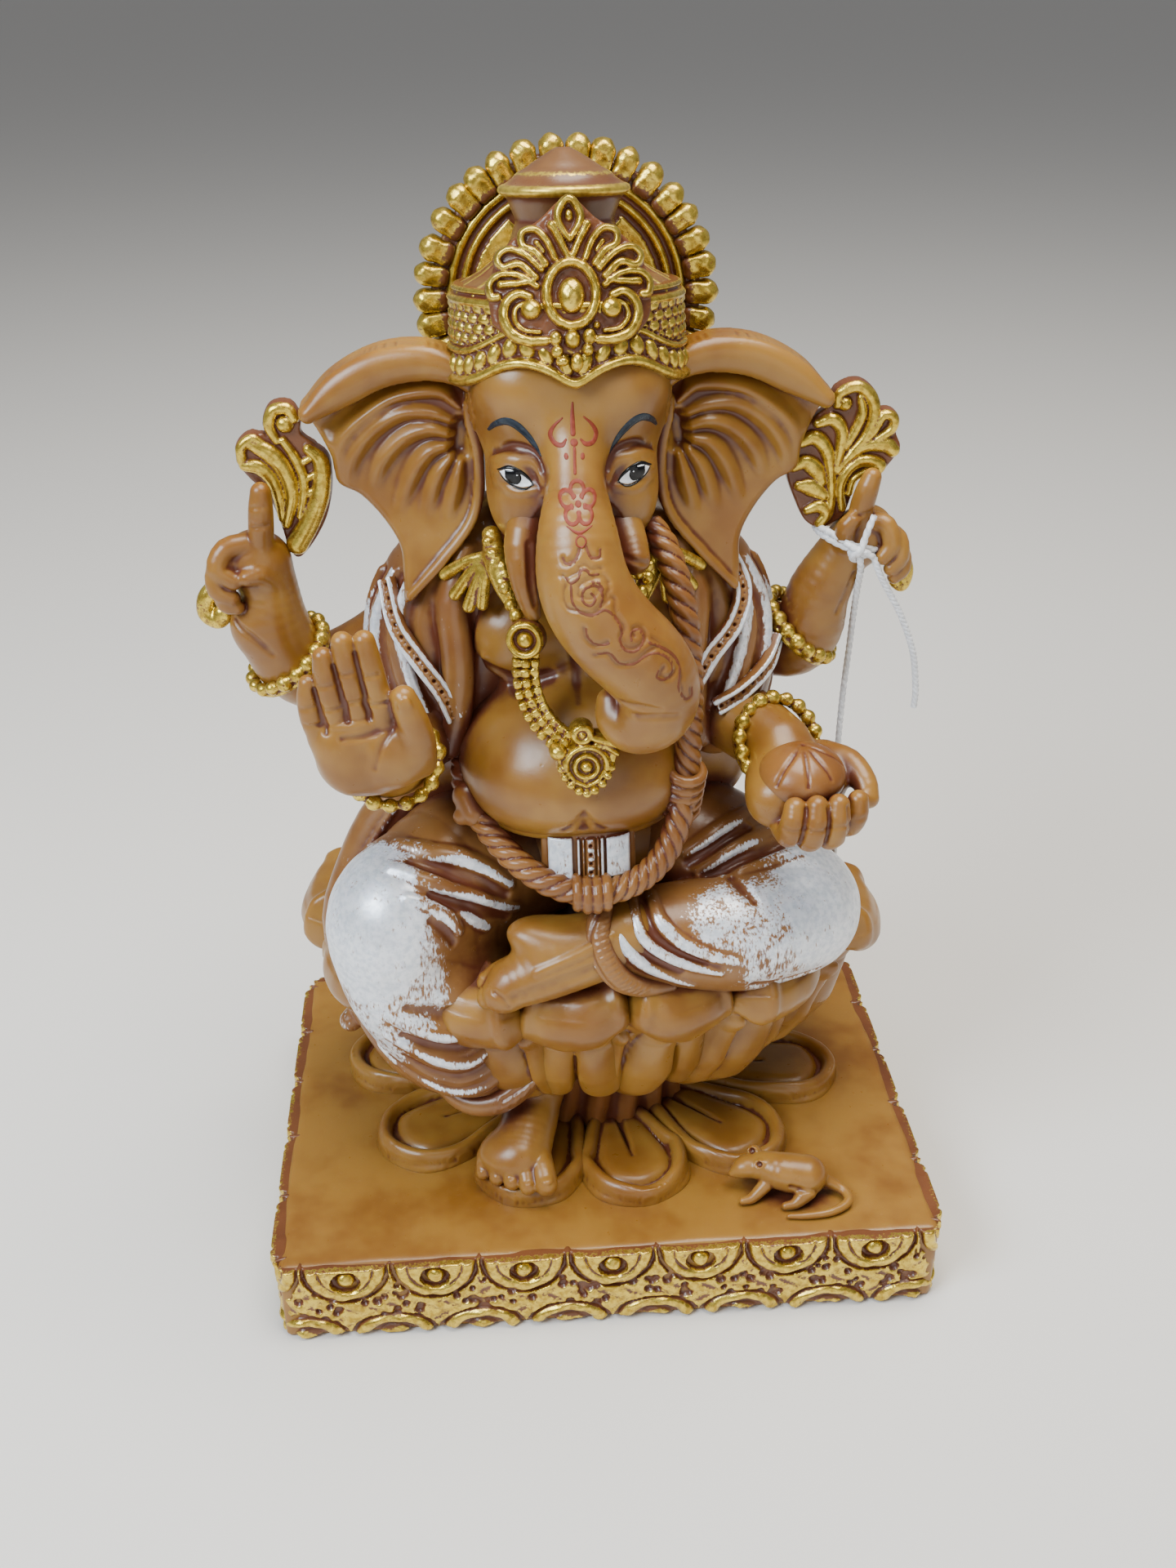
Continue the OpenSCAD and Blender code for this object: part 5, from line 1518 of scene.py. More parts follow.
SEAT_PROFILE = np.array([      # distance along the petal, share of its reach, height
    [0.0, 0.60, 33.4], [3.5, 0.72, 34.6], [8, 0.82, 38.0], [13, 0.885, 42.8], [18, 0.915, 48.0],
    [22, 0.94, 52.0],
    [25, 0.99, 55.0], [28, 1.03, 57.4], [31, 1.01, 60.0], [35, 0.93, 62.0], [40, 0.82, 62.6]])


def seat_petal(i):
    """An upright petal of the seat: two swollen lobes under a lip that curls over and dips to a point."""
    angle = -8 - 360 / SEAT_PETALS * i
    far = reach(54, 37, angle)
    half = (11.6 if i % 3 == 0 else 11.2) + 1.6 * abs(math.cos(math.radians(angle)))
    sheet = Drawing((-half - 1, -1), (half + 1, 40.5), 0.34)
    outline = [[-5, 0], [-half * 0.8, 4], [-half * 0.98, 11], [-half, 19], [-half, 25], [-half * 0.86, 30],
               [-half * 0.52, 35.4],
               [0, 38.8], [half * 0.52, 35.4], [half * 0.86, 30], [half, 25], [half, 19],
               [half * 0.98, 11], [half * 0.8, 4], [5, 0]]
    sheet.fill(outline, 1.6, edge=1.5)
    lean = (-1) ** i * 0.9
    for s in (-1, 1):
        sheet.cord([(s * 3.2 + lean, 0.6, 1.4, 1.3), (s * (half - 3), 4, 1.6, 1.8),
                    (s * (half - 1.5), 11, 1.5, 2.2),
                    (s * (half - 1.4), 18, 1.5, 2.5), (s * (half - 1.4), 24, 1.6, 2.9)], floor=1.0)
        sheet.dome(s * 4.4 + lean * 0.5, 13.4, 4.7, 13.8, 3.2, floor=1.2, turn=s * 5)
    sheet.groove([(lean, 0, 0.9, 1.5), (lean * 0.6, 10, 0.75, 1.3), (lean * 0.4, 18, 0.6, 0.9)])
    tip = lean * 2.2
    dip = 23.0 + 5.0 * (abs(sheet.u - tip) / half) ** 1.4
    above = sheet.w - dip
    roll = np.sqrt(np.clip(1 - np.clip(1 - above / 2.3, 0, 1) ** 2, 0, 1))
    lip = 4.3 * roll * (1 - 0.5 * smooth(above, 3, 12)) + 0.9 * np.exp(-((sheet.rim + 1.6) / 1.1) ** 2)
    sheet.height = np.where((above > 0) & (sheet.rim < 0),
                            np.maximum(sheet.height, 0.9 + lip * np.clip(-sheet.rim / 0.9, 0, 1)),
                            sheet.height)
    sheet.height += 0.14 * np.sin(sheet.u * 0.7 + i) * np.sin(sheet.w * 0.5 + i)

    def curved(u, w, n):
        profile = lambda w, column: np.interp(w, SEAT_PROFILE[:, 0], SEAT_PROFILE[:, column])
        share, height = profile(w, 1), profile(w, 2)
        run = (profile(w + 1.2, 1) - profile(w - 1.2, 1)) * 40
        rise = profile(w + 1.2, 2) - profile(w - 1.2, 2)
        size = np.maximum(np.hypot(run, rise), 1e-6)
        radial = share * far - 2.0 - u * u / 30 + n * rise / size
        return radial, u, height - n * run / size
    return sheet.surface(2.2, turned(curved, angle, (0, AXIS_Y, 0)), 2)


def joined(makers):
    """Several surfaces as one piece."""
    parts = [make() for make in makers]
    start = np.cumsum([0] + [len(p[0]) for p in parts])
    return (np.vstack([p[0] for p in parts]), np.vstack([p[1] + s for p, s in zip(parts, start)]),
            np.concatenate([p[2] for p in parts]))


def seat_clay():
    """The pad that the figure sits on."""
    clay = Clay(0.6)
    clay.add(Tube([[0, AXIS_Y, 60, 12], [0, AXIS_Y, 58, 12]], 1))
    clay.add(Ellipsoid((0, AXIS_Y, 52), (46, 31, 10.6)), 3)
    clay.add(Ellipsoid((0, AXIS_Y, 44), (34, 26, 11)), 4)
    return clay


def stem_clay():
    """The neck under the seat, ringed with upright folds."""
    clay = Clay(0.5)
    clay.add(Tube([[0, AXIS_Y, 12, 21.5], [0, AXIS_Y, 26, STEM_R], [0, AXIS_Y, 40, 20]], 3))
    clay.keep(Box((0, AXIS_Y, 27), (30, 30, 11), 0.5))

    def folds_round(x, y, z):
        turn = np.arctan2(y - F(AXIS_Y), x)
        return (0.9 * np.cos(turn * 20 + 0.4 * np.sin(z * 0.4))).astype(F)
    return clay.warp(folds_round)


# ------------------------------------------------------------------ arms and hands

def finger(clay, rows, radius, blend=1.2):
    """A finger through rows of [x, y, z], a little thinner towards its tip."""
    widths = np.interp(np.linspace(0, 1, len(rows)), [0, 0.5, 0.85, 1], [1.06, 1.0, 0.96, 0.82]) * radius
    clay.add(Tube([[*row, w] for row, w in zip(rows, widths)], 3), blend)


def crease(clay, a, b, depth=0.45, wide=0.6):
    """A short line pressed into the skin, deepest in its middle."""
    middle = [(p + q) / 2 for p, q in zip(a, b)]
    clay.emboss([[*a, wide, -depth * 0.6], [*middle, wide, -depth], [*b, wide, -depth * 0.6]], 3)


def front_right_clay():
    clay = Clay(0.28)
    clay.add(Tube([[-29, -2, 107, 6.8], [-32.6, -11, 104.6, 6.6], [-35.4, -20, 107.6, 6.2]]))
    clay.add(Ellipsoid((-37.4, -26.6, 113), (9.4, 4.6, 7.4), (-8, -16, 0)), 3)
    clay.add(Ellipsoid((-40.6, -27.4, 117.6), (7, 3.8, 4.6), (-8, -14, 0)), 2.5)
    clay.add(Ellipsoid((-33.4, -29.4, 113.4), (5, 3, 5.4), (0, 10, 0)), 1.6)
    clay.add(Ellipsoid((-42, -29, 112.6), (3.6, 2.6, 5.6), (0, -18, 0)), 2)
    clay.emboss([[-41.6, -31, 117.8, 0.8, -0.6], [-38, -31.4, 118.2, 0.9, -0.7],
                 [-34.6, -31, 119.6, 0.8, -0.6]])
    clay.emboss([[-43, -31, 120, 0.8, 0.4], [-38.4, -31.6, 120.6, 0.9, 0.5],
                 [-34.6, -31.4, 121.8, 0.8, 0.4]])
    clay.emboss([[-33.6, -31, 119.4, 0.8, -0.5], [-35.6, -32, 116.4, 0.8, -0.4],
                 [-36.8, -32, 112.6, 0.8, -0.3]])
    finger(clay, [[-35.2, -28, 119], [-35.8, -28.6, 124.6], [-36.6, -28.8, 130], [-37, -28.8, 133.6]],
           2.15, blend=0.5)
    finger(clay, [[-38.8, -28, 119.4], [-39.4, -28.8, 125], [-40, -29, 130.4], [-40.4, -29, 133.6]], 2.15,
           blend=0.5)
    finger(clay, [[-42.4, -28, 118.6], [-43, -28.8, 123.6], [-43.4, -29, 128.4], [-43.6, -29, 131.2]],
           2.05, blend=0.5)
    finger(clay, [[-45.4, -27.6, 116.4], [-46.4, -28.4, 120.4], [-46.6, -28.6, 124],
                  [-46.4, -28.6, 126.6]], 1.8, blend=0.5)
    for x, z in ((-35.4, 123.4), (-36.4, 128.4), (-39, 124), (-39.8, 129), (-42.8, 122.8), (-43.3, 127),
                 (-46.2, 119.8), (-46.6, 123)):
        crease(clay, (x - 1.9, -31, z - 0.2), (x + 1.9, -31, z + 0.2))
    for rows in ([[-37.1, -30.6, 120.6], [-37.6, -30.4, 126], [-38.6, -30, 132]],
                 [[-40.6, -30.6, 120.6], [-41.2, -30.4, 125.6], [-41.9, -30, 130]],
                 [[-44, -30.2, 118.6], [-44.8, -30, 122.6], [-45.2, -29.6, 126]]):
        clay.emboss([[*p, 0.7, -0.7] for p in rows])
    finger(clay, [[-29.6, -27, 111], [-29.4, -29.6, 116.4], [-30.6, -30.4, 121.4], [-31.4, -30.6, 124.4]],
           2.5, blend=1.6)
    clay.add(Ellipsoid((-31.2, -32.6, 124), (1.1, 0.35, 1.4)), 0.2)
    return clay


def front_left_clay():
    clay = Clay(0.28)
    clay.add(Tube([[24, -3, 106.6, 6.8], [28.6, -9.6, 105.4, 6.4], [32, -15, 104.4, 6]]))
    clay.add(Ellipsoid((34, -21.6, 101), (8.8, 7, 6.2), (8, 6, 0)), 3)
    clay.add(Ellipsoid((30.4, -24.6, 99.4), (5.4, 4.8, 5)), 2)
    for rows, r in (([[30.6, -25.6, 97], [31.4, -30.4, 96], [31.8, -32, 99], [32, -31.4, 101.4]], 2.35),
                    ([[33.6, -26, 96], [34.8, -31.2, 95.4], [35.3, -32.6, 98.8], [35.6, -31.8, 101.8]],
                     2.35),
                    ([[37, -25.6, 96], [38.4, -30.6, 95.2], [39.1, -32, 98.6], [39.4, -31.2, 101.6]], 2.3),
                    ([[40, -24, 97], [41.8, -27.8, 95.8], [42.8, -29.4, 98.4], [43.2, -29, 101]], 2.2)):
        finger(clay, rows, r, blend=0.5)
    for x in (33.6, 37.3, 41.1):
        clay.emboss([[x - 0.1, -33, 102, 0.6, -0.6], [x, -33.4, 99, 0.7, -0.9], [x, -32.6, 96, 0.6, -0.7],
                     [x - 0.4, -29, 94, 0.6, -0.4]])
    for x in (32, 35.4, 39.2, 43):
        crease(clay, (x - 1.6, -33, 98.6), (x + 1.6, -33, 98.8), 0.35)
    finger(clay, [[40, -16, 103.4], [43.6, -19.6, 103.4], [45.4, -23.6, 101.6], [45.8, -26, 99.6]], 2.2,
           blend=2)
    return clay


def sweet_clay():
    """A pleated dumpling held in the cupped hand."""
    clay = Clay(0.28)
    clay.add(Ellipsoid((34.4, -23.6, 103.4), (7.6, 6.8, 5.0), (14, 0, 0)))
    for end in ((29.6, -28, 104), (34.4, -30, 104.4), (38.6, -28.6, 105), (41, -24, 105)):
        clay.emboss([[34.6, -22, 109.6, 0.5, -0.2],
                     [(34.6 + end[0]) / 2, (end[1] - 22) / 2 - 1, 108.6, 0.6, -0.6], [*end, 0.6, -0.5]])
    return clay


def back_right_clay():
    clay = Clay(0.3)
    clay.add(Tube([[-22, 8, 127, 7.4], [-38, 7, 116.4, 6.8], [-48, 4, 113.6, 6.6], [-52.4, 1, 118, 6.6],
                   [-54.6, -0.4, 125, 6.2],
                   [-54.6, -1, 132, 5], [-54.6, -1.4, 137, 4.4]], 4))
    clay.add(Ellipsoid((-56.4, -2, 137.4), (5, 4.2, 5.4), (0, 20, 0)), 2)
    clay.add(Ellipsoid((-58, -1.6, 125.6), (3.6, 4, 4.6)), 2.5)
    finger(clay, [[-55, -3, 139], [-54.4, -4, 143], [-54, -4.4, 147], [-53.7, -4.4, 150]], 2.1, blend=1)
    for rows, r in (([[-56.6, -3.6, 141], [-60.4, -4.6, 140.4], [-62, -5.6, 137.4], [-59.6, -6, 135.4]],
                     1.9),
                    ([[-58.6, -3.6, 138.6], [-62.2, -5, 137], [-62.4, -5.8, 133.8], [-60.2, -6, 132.4]],
                     1.75),
                    ([[-59.4, -3.4, 136], [-61.8, -4.6, 133.6], [-61.4, -5.4, 131.2],
                      [-59.6, -5.6, 130.6]], 1.6)):
        finger(clay, rows, r, blend=0.4)
    finger(clay, [[-53.2, -3.6, 134], [-55, -5.6, 136.2], [-57.2, -6.4, 136]], 1.7, blend=0.8)
    crease(clay, (-56.4, -6.4, 144.6), (-52.4, -6.4, 144.8))
    crease(clay, (-56, -6.6, 148), (-52.4, -6.6, 148.2), 0.3)
    clay.emboss([[-60, -4, 127.6, 0.9, -0.6], [-57, -6, 124.8, 1.1, -0.8], [-54.6, -6.6, 122, 1, -0.4]])
    return clay


def back_left_clay():
    clay = Clay(0.3)
    clay.add(Tube([[16, 8, 127, 7.4], [29, 7, 118, 6.8], [36.4, 4, 116, 6.5], [39.6, 2, 119.6, 6.2],
                   [41, 1, 126.6, 5.5],
                   [43.8, 0.4, 132.6, 4.8], [46.6, 0, 137, 4.5]], 4))
    clay.add(Ellipsoid((48.4, -1, 138), (4.6, 4.2, 5)), 2)
    finger(clay, [[46.4, -3, 139], [46.2, -4, 143], [46.8, -4.6, 146.6], [47.6, -4.4, 149]], 2.0, blend=0.8)
    for rows, r in (([[48.6, -3.6, 141], [50.6, -4.8, 140.6], [51.6, -5.6, 137.6], [50.2, -6, 135.4]], 1.7),
                    ([[50.4, -3.4, 139.4], [52.8, -4.6, 138.2], [53.2, -5.4, 135.2], [51.8, -5.8, 133.2]],
                     1.65),
                    ([[51, -3, 137], [53.8, -3.8, 135.4], [54, -4.8, 132.8], [52.6, -5.2, 131.4]], 1.5)):
        finger(clay, rows, r, blend=0.4)
    finger(clay, [[44, -3.4, 137.4], [43.6, -5, 140.4], [44.6, -5.4, 142.2]], 1.7, blend=0.7)
    crease(clay, (44.4, -6.4, 143), (48.6, -6.4, 143.4))
    clay.emboss([[46.2, -4.4, 131.6, 0.9, -0.5], [45.6, -4.2, 128, 1, -0.6],
                 [43.8, -4.4, 124.6, 0.9, -0.4]])
    return clay


SHAWL_FOLDS = [[[-30, -6, 137], [-33, -6.6, 128], [-31.6, -8.6, 119], [-29, -9, 111]],
               [[-33.6, -3, 135], [-36.8, -3, 126], [-36, -5, 117], [-33.4, -6.6, 109]],
               [[-35, 2, 133], [-38.6, 2, 124], [-38.2, 0.6, 114], [-35.4, -2, 106]]]


def shawl_clay(side):
    """A shawl end over the shoulder and upper arm, with soft folds along its length."""
    x = partial(to_side, side)
    clay = Clay(0.4)
    clay.add(Tube([[x(-11), 4, 143, 4], [x(-17), 3, 140, 6], [x(-24), 2, 134, 8.6], [x(-28), 2, 127, 9.6],
                   [x(-29.5), 1, 120, 9.6],
                   [x(-30), 0, 113, 9], [x(-29.5), -1, 107, 7.4], [x(-28.5), -2, 103, 5.6]], 4))
    clay.add(Tube([[x(-12), 8, 138, 6], [x(-14), 10, 126, 6], [x(-12), 12, 112, 6]]), 4)
    clay.add(Tube([[x(-16.6), 0, 138, 6], [x(-18), -1, 128, 7], [x(-18.6), -1, 118, 7],
                   [x(-19.6), -1, 107, 6]]), 3)
    clay.add(Tube([[x(-21), -6, 139, 2], [x(-23.4), -8, 131, 2.6], [x(-23), -9.6, 122, 2.8],
                   [x(-23.4), -9.4, 112, 2.6],
                   [x(-25), -8, 104, 2.4]]), 2)
    for rows in SHAWL_FOLDS:
        clay.emboss([[x(a), b, c, 1.3, 1.3] for a, b, c in rows])
        clay.emboss([[x(a + 2.1), b - 1, c - 0.6, 1.5, -1.1] for a, b, c in rows])
    return clay


# ------------------------------------------------------------------ crown and halo

CROWN_AXIS = (-3.0, -3.0, 168.0)
CROWN_TILT = -6.0
CROWN_R = 18.4           # the radius at which a drawing's u is true length round the crown


def round_crown(radius_at):
    """Wraps a drawing round the crown: u runs along the front of a circle, w up its axis."""
    tilt = math.radians(CROWN_TILT)

    def place(u, w, n):
        turn = u / CROWN_R
        r = np.interp(w, *radius_at) + n
        x, y, z = r * np.sin(turn), -r * np.cos(turn), w
        return (x + CROWN_AXIS[0], y * math.cos(tilt) - z * math.sin(tilt) + CROWN_AXIS[1],
                y * math.sin(tilt) + z * math.cos(tilt) + CROWN_AXIS[2])
    return place


def crown_band():
    """Beaded headband under a wall of scales, with a plain moulding on top."""
    half = CROWN_R * math.pi
    sheet = Drawing((-half, -4), (half, 14.4), 0.3)
    dip = -1.2 * np.exp(-(sheet.u / 2.6) ** 2) + 2.0 * np.exp(-((abs(sheet.u) - 8) / 5.5) ** 2)
    low = dip + 1.0 - 1.8 * smooth(abs(sheet.u), 10, 22)
    sheet.rim = np.maximum(low - sheet.w, sheet.w - 14)
    sheet.height = np.full_like(sheet.u, 0.3)
    v = sheet.w - low
    mould = lambda at, wide, high: high * np.sqrt(np.clip(1 - ((v - at) / wide) ** 2, 0, 1))
    sheet.height = np.maximum(sheet.height, mould(0.9, 0.95, 1.7))
    sheet.height = np.maximum(sheet.height, mould(5.4, 0.6, 1.3))
    bead = (sheet.u / 2.85) % 1 - 0.5
    shell = np.clip(1 - (bead / 0.46) ** 2 - ((v - 3.15) / 1.65) ** 2, 0, 1)
    sheet.height = np.maximum(sheet.height, 0.3 + 1.2 * np.sqrt(shell) * (shell > 0))
    row = np.floor((sheet.w - 4.6) / 1.5)
    across = ((sheet.u / 2.5) + 0.5 * (row % 2)) % 1 - 0.5
    up = (sheet.w - 4.6) / 1.5 - row - 0.42
    scale = np.clip(1 - (across / 0.52) ** 2 - (up / 0.62) ** 2, 0, 1)
    wall = (v > 6.2) & (sheet.w < 11.4)
    sheet.height = np.where(wall, 0.15 + 0.95 * np.sqrt(scale), sheet.height)
    sheet.height = np.maximum(sheet.height,
                              1.3 * np.sqrt(np.clip(1 - ((sheet.w - 12.1) / 0.75) ** 2, 0, 1)))
    sheet.height = np.maximum(sheet.height, 1.0 * np.sqrt(np.clip(1 - ((sheet.w - 13.7) / 0.6) ** 2, 0, 1)))
    return sheet.surface(2.2, round_crown(([-4, 0, 12, 14.4], [18.3, 18.2, 17.6, 17.0])), 1)


CAP_PROFILE = ([0, 10, 13, 14, 15.5, 17.5, 20, 23, 26, 27, 28, 28.8, 31.4, 33.6],
               [15, 17, 17.2, 16, 13, 10.4, 8.4, 7.4, 8.6, 9.3, 9.3, 8.2, 4.4, 0.6])


def crown_cap():
    """The dome and its pointed cap, turned about the crown's axis."""
    half = CROWN_R * math.pi
    sheet = Drawing((-half, 4), (half, 34), 0.4)
    sheet.rim = np.maximum(4.4 - sheet.w, sheet.w - 33.6)
    sheet.height = np.full_like(sheet.u, 0.2)
    ring = lambda at, wide, high: high * np.sqrt(np.clip(1 - ((sheet.w - at) / wide) ** 2, 0, 1))
    sheet.height = np.maximum(sheet.height, ring(27.4, 0.85, 1.0))
    sheet.height = np.maximum(sheet.height, ring(29.8, 0.4, 0.6))
    for u in range(-54, 55, 6):
        sheet.cord([(u, 12.6, 0.6, 0.8), (u * 1.02, 14.6, 0.6, 0.8), (u * 1.04, 16.6, 0.6, 0.7)])
    sheet.height = np.maximum(sheet.height, ring(17.6, 0.6, 0.7))
    return sheet.surface(0.4, round_crown(CAP_PROFILE), 1)


def cap_gilding(points, normals, hollow, heights):
    """Gold on the cap's rings and ribs; the rest stays brown."""
    return smooth(heights, 0.35, 0.6)


def mirror_rows(rows):
    """Rows of (u, ...) reflected in u = 0."""
    return [(-row[0], *row[1:]) for row in rows]


def crest():
    """A gem in a ring, between scrolls, under a fan of looped leaves, over a cluster of drops."""
    sheet = Drawing((-15.5, -13.5), (15, 17), 0.2)
    sheet.fill([[-12.6, -4], [-13, 1], [-11.6, 6], [-8.4, 9.6], [-4.6, 12], [0, 15.4], [4.4, 12],
                [8.4, 9.6], [11.6, 6], [13, 1],
                [12.4, -4], [8, -7.6], [0, -9.4], [-8, -7.6]], 0.5, edge=0.5)
    sheet.ring(0, 0.2, 3.95, 5.0, 0.85, 1.5, floor=0.5)
    sheet.dome(0, 0, 2.15, 2.9, 1.9, floor=0.5)
    for flip in (lambda rows: rows, mirror_rows):
        draw = lambda rows, floor=0.4: sheet.cord(flip(rows), floor=floor)
        draw([(-4.2, -7.0, 0.8, 1.2), (-7, -6.9, 0.95, 1.4), (-9.6, -5.6, 0.95, 1.5),
              (-10.8, -3, 0.9, 1.5), (-10.2, -0.6, 0.85, 1.5),
              (-8.4, 0.6, 0.8, 1.4), (-6.6, 0, 0.75, 1.4)])
        draw([(-5.2, -5.6, 0.45, 1.0), (-7.6, -5.2, 0.5, 1.0), (-9, -3.6, 0.5, 1.0),
              (-8.8, -1.8, 0.45, 1.0), (-7.6, -0.9, 0.4, 0.9)])
        ball = flip([(-6.4, -2.0)])[0]
        sheet.dome(ball[0], ball[1], 1.7, 1.7, 1.8, floor=0.5)
        for loop in ([(-5.4, 1.6), (-8, 3.4), (-11, 3.8), (-12.8, 2.4), (-12.6, 0.4), (-11.6, 0.2)],
                     [(-6, 2.4), (-8.6, 2.2), (-11, 2.2)],
                     [(-4.6, 4.2), (-7, 6.6), (-9.8, 7.6), (-11.4, 6.4), (-10.6, 4.8), (-8, 5.2),
                      (-5.6, 3)],
                     [(-2.4, 5.8), (-3.6, 8.6), (-5.4, 10.4), (-7.4, 10), (-7.4, 8), (-5.6, 7), (-4, 5)],
                     [(-0.4, 6.2), (-1.6, 8.8), (-2.8, 11)]):
            wide = np.linspace(0.6, 0.75, len(loop))
            draw([(*p, w, 1.3) for p, w in zip(loop, wide)])
        draw([(-5.2, 8.4, 0.5, 0.9), (-4.2, 7, 0.4, 0.8)])
    sheet.cord([(0, 8.6, 0.5, 1.2), (-1.7, 11.4, 0.7, 1.4), (-1.5, 13.4, 0.75, 1.5), (0, 15, 0.7, 1.5),
                (1.5, 13.4, 0.75, 1.5),
                (1.7, 11.4, 0.7, 1.4), (0, 8.6, 0.5, 1.2)], floor=0.4)
    sheet.dome(0, 12.4, 0.7, 1.1, 0.9, floor=0.4)
    for u, w, a, b in ((-2.7, -6.7, 1.05, 1.25), (0, -6.9, 1.3, 1.5), (2.7, -6.5, 1.1, 1.4),
                       (-2.5, -8.8, 1.0, 1.1), (2.4, -8.6, 0.95, 1.1),
                       (-1.7, -10.4, 1.1, 0.9), (0.6, -10.6, 1.05, 1.6), (3.9, -4.8, 0.6, 0.6)):
        sheet.dome(u, w, a, b, 1.5, floor=0.6)
    sheet.height += np.where(sheet.rim < 0, 0.06 * np.sin(sheet.u * 3.1) * np.sin(sheet.w * 2.7), 0)
    lean = plane_at((-3.3, -19.2, 183.2), 17)

    def place(u, w, n):
        return lean(u * 0.93, w * 0.9, n - u * u / 52 - np.maximum(-w - 4, 0) * 0.12)
    return sheet.surface(1.6, place, 1)


HALO_CENTRE = (-2.0, 15.0, 176.0)
HALO_TILES = 34


def at_halo(u, w, n):
    """Lays a drawing upright behind the head, facing forward."""
    return u + HALO_CENTRE[0], HALO_CENTRE[1] - n, w + HALO_CENTRE[2]


def halo_disc():
    """A disc with two gilt cords near its edge and a rayed field inside them."""
    sheet = Drawing((-23.6, -23.6), (23.6, 23.6), 0.34)
    r = np.hypot(sheet.u, sheet.w)
    turn = np.degrees(np.arctan2(sheet.w, sheet.u))
    sheet.rim = r - 22.6
    sheet.height = np.full_like(r, 0.5)
    for at, wide, high in ((19.3, 0.8, 1.5), (17.2, 0.75, 1.4), (21.6, 0.6, 0.7)):
        sheet.height = np.maximum(sheet.height, high * np.sqrt(np.clip(1 - ((r - at) / wide) ** 2, 0, 1)))
    panel = (r < 15.6) & (abs(turn % 60 - 30) < 24)
    sheet.height = np.where(panel, 1.0, sheet.height)
    return sheet.surface(2.2, at_halo, 1)


def halo_tile(i):
    """One rounded tile of the halo's rim, battered a little differently from its neighbours."""
    rng = np.random.default_rng(40 + i)
    turn = math.radians(i * 360 / HALO_TILES + rng.uniform(-0.9, 0.9))
    at = lambda r: (HALO_CENTRE[0] + r * math.cos(turn), HALO_CENTRE[1] - 0.2,
                    HALO_CENTRE[2] + r * math.sin(turn))
    clay = Clay(0.34)
    wide = rng.uniform(1.75, 2.05)
    spin = (0, -math.degrees(turn), 0)
    clay.add(Box(at(22.3), (2.5, 1.9, wide * 0.97), 1.1, spin))
    clay.add(Ellipsoid(at(23.5), (2.2, 2.1, wide * 1.03), spin), 0.6)
    clay.warp(lambda x, y, z: (0.12 * np.sin(x * 2.3 + i) * np.sin(z * 2.9 + 2 * i)
                               * np.sin(y * 2 + i)).astype(F))
    points, quads, _ = clay.surface()
    return relaxed(points, quads, 1), quads, np.full(len(points), 1.0)


def tile_gilding(points, normals, hollow, heights):
    """Gold on the tiles' outer ends, worn away towards the disc."""
    r = np.hypot(points[:, 0] - HALO_CENTRE[0], points[:, 2] - HALO_CENTRE[2])
    return 0.75 - 0.6 * smooth(-r, -21.8, -20.4)


def drawn_leaf(outline, lines, origin, back=1.8, bumps=()):
    """A gilt leaf seen from in front: a thin plate with raised ribs."""
    lo, hi = np.min(outline, 0) - 1.6, np.max(outline, 0) + 1.6
    sheet = Drawing(lo, hi, 0.2)
    sheet.fill(outline, 0.5, edge=0.6)
    for rows in lines:
        sheet.cord([(u, w, wide * 1.28, high) for u, w, wide, high in rows], floor=0.3)
    for u, w, a, b in bumps:
        sheet.dome(u, w, a, b, 1.5, floor=0.4)

    def place(u, w, n):
        return u, origin - n, w
    return sheet.surface(back, place, 1)


def goad():
    """The hooked goad, drawn in X and Z with raised ribs and teeth."""
    outline = [[-50.6, 138.6], [-51.4, 143], [-53, 148], [-56, 151.6], [-57.6, 154.6], [-56, 158.2],
               [-53.2, 158.8], [-51.6, 158.4],
               [-52.4, 161], [-50.8, 163.6], [-48, 163.6], [-46.4, 161.4], [-46.6, 158.6], [-44.4, 156.6],
               [-42.4, 153.4],
               [-42.4, 149], [-43.8, 144], [-46.6, 139.4], [-49, 137.2]]
    ribs = [[[-49.6, 157.6, 0.6, 1.2], [-47.9, 154.6, 0.75, 1.3], [-46.9, 151.3, 0.75, 1.3],
             [-47.2, 148, 0.7, 1.3], [-48.1, 144.6, 0.5, 1]],
            [[-54.6, 157.2, 1, 1.3], [-51.8, 155.4, 1.3, 1.7], [-49.8, 152.6, 1.2, 1.8],
             [-49, 148.5, 1.1, 1.6], [-50.4, 143.4, 0.7, 1.2]],
            [[-56.2, 153.6, 0.8, 1.2], [-53.8, 153.2, 1.1, 1.4], [-51.9, 151, 1, 1.5],
             [-51.1, 147.8, 0.9, 1.4], [-50.9, 144.4, 0.7, 1]],
            [[-56.6, 154.4, 0.7, 1.1], [-56.4, 156.6, 0.8, 1.2], [-54.6, 158, 0.8, 1.2],
             [-53, 157.2, 0.6, 1.1]],
            [[-45.6, 156, 0.8, 1.3], [-44, 154.4, 1.1, 1.7], [-43.7, 152, 1.2, 1.8],
             [-44.5, 148, 1.3, 1.8], [-46.4, 143.8, 1.4, 1.8], [-49, 139.8, 1.5, 1.9]],
            [[-50.6, 157.6, 0.6, 1.1], [-51.6, 160.2, 0.8, 1.3], [-50.6, 162.6, 0.85, 1.4],
             [-48.4, 162.8, 0.85, 1.4], [-47.4, 161.2, 0.7, 1.3]]]
    teeth = [[[u, w, 0.55, 1.1], [u + 1.5, w + 0.9, 0.5, 1.2]]
             for u, w in ((-46.4, 154), (-46, 151.2), (-46.6, 148.4), (-47, 145.8), (-48.4, 142.6))]
    return drawn_leaf(outline, ribs + teeth, -0.6, bumps=[(-49, 160.3, 1.5, 1.5)])


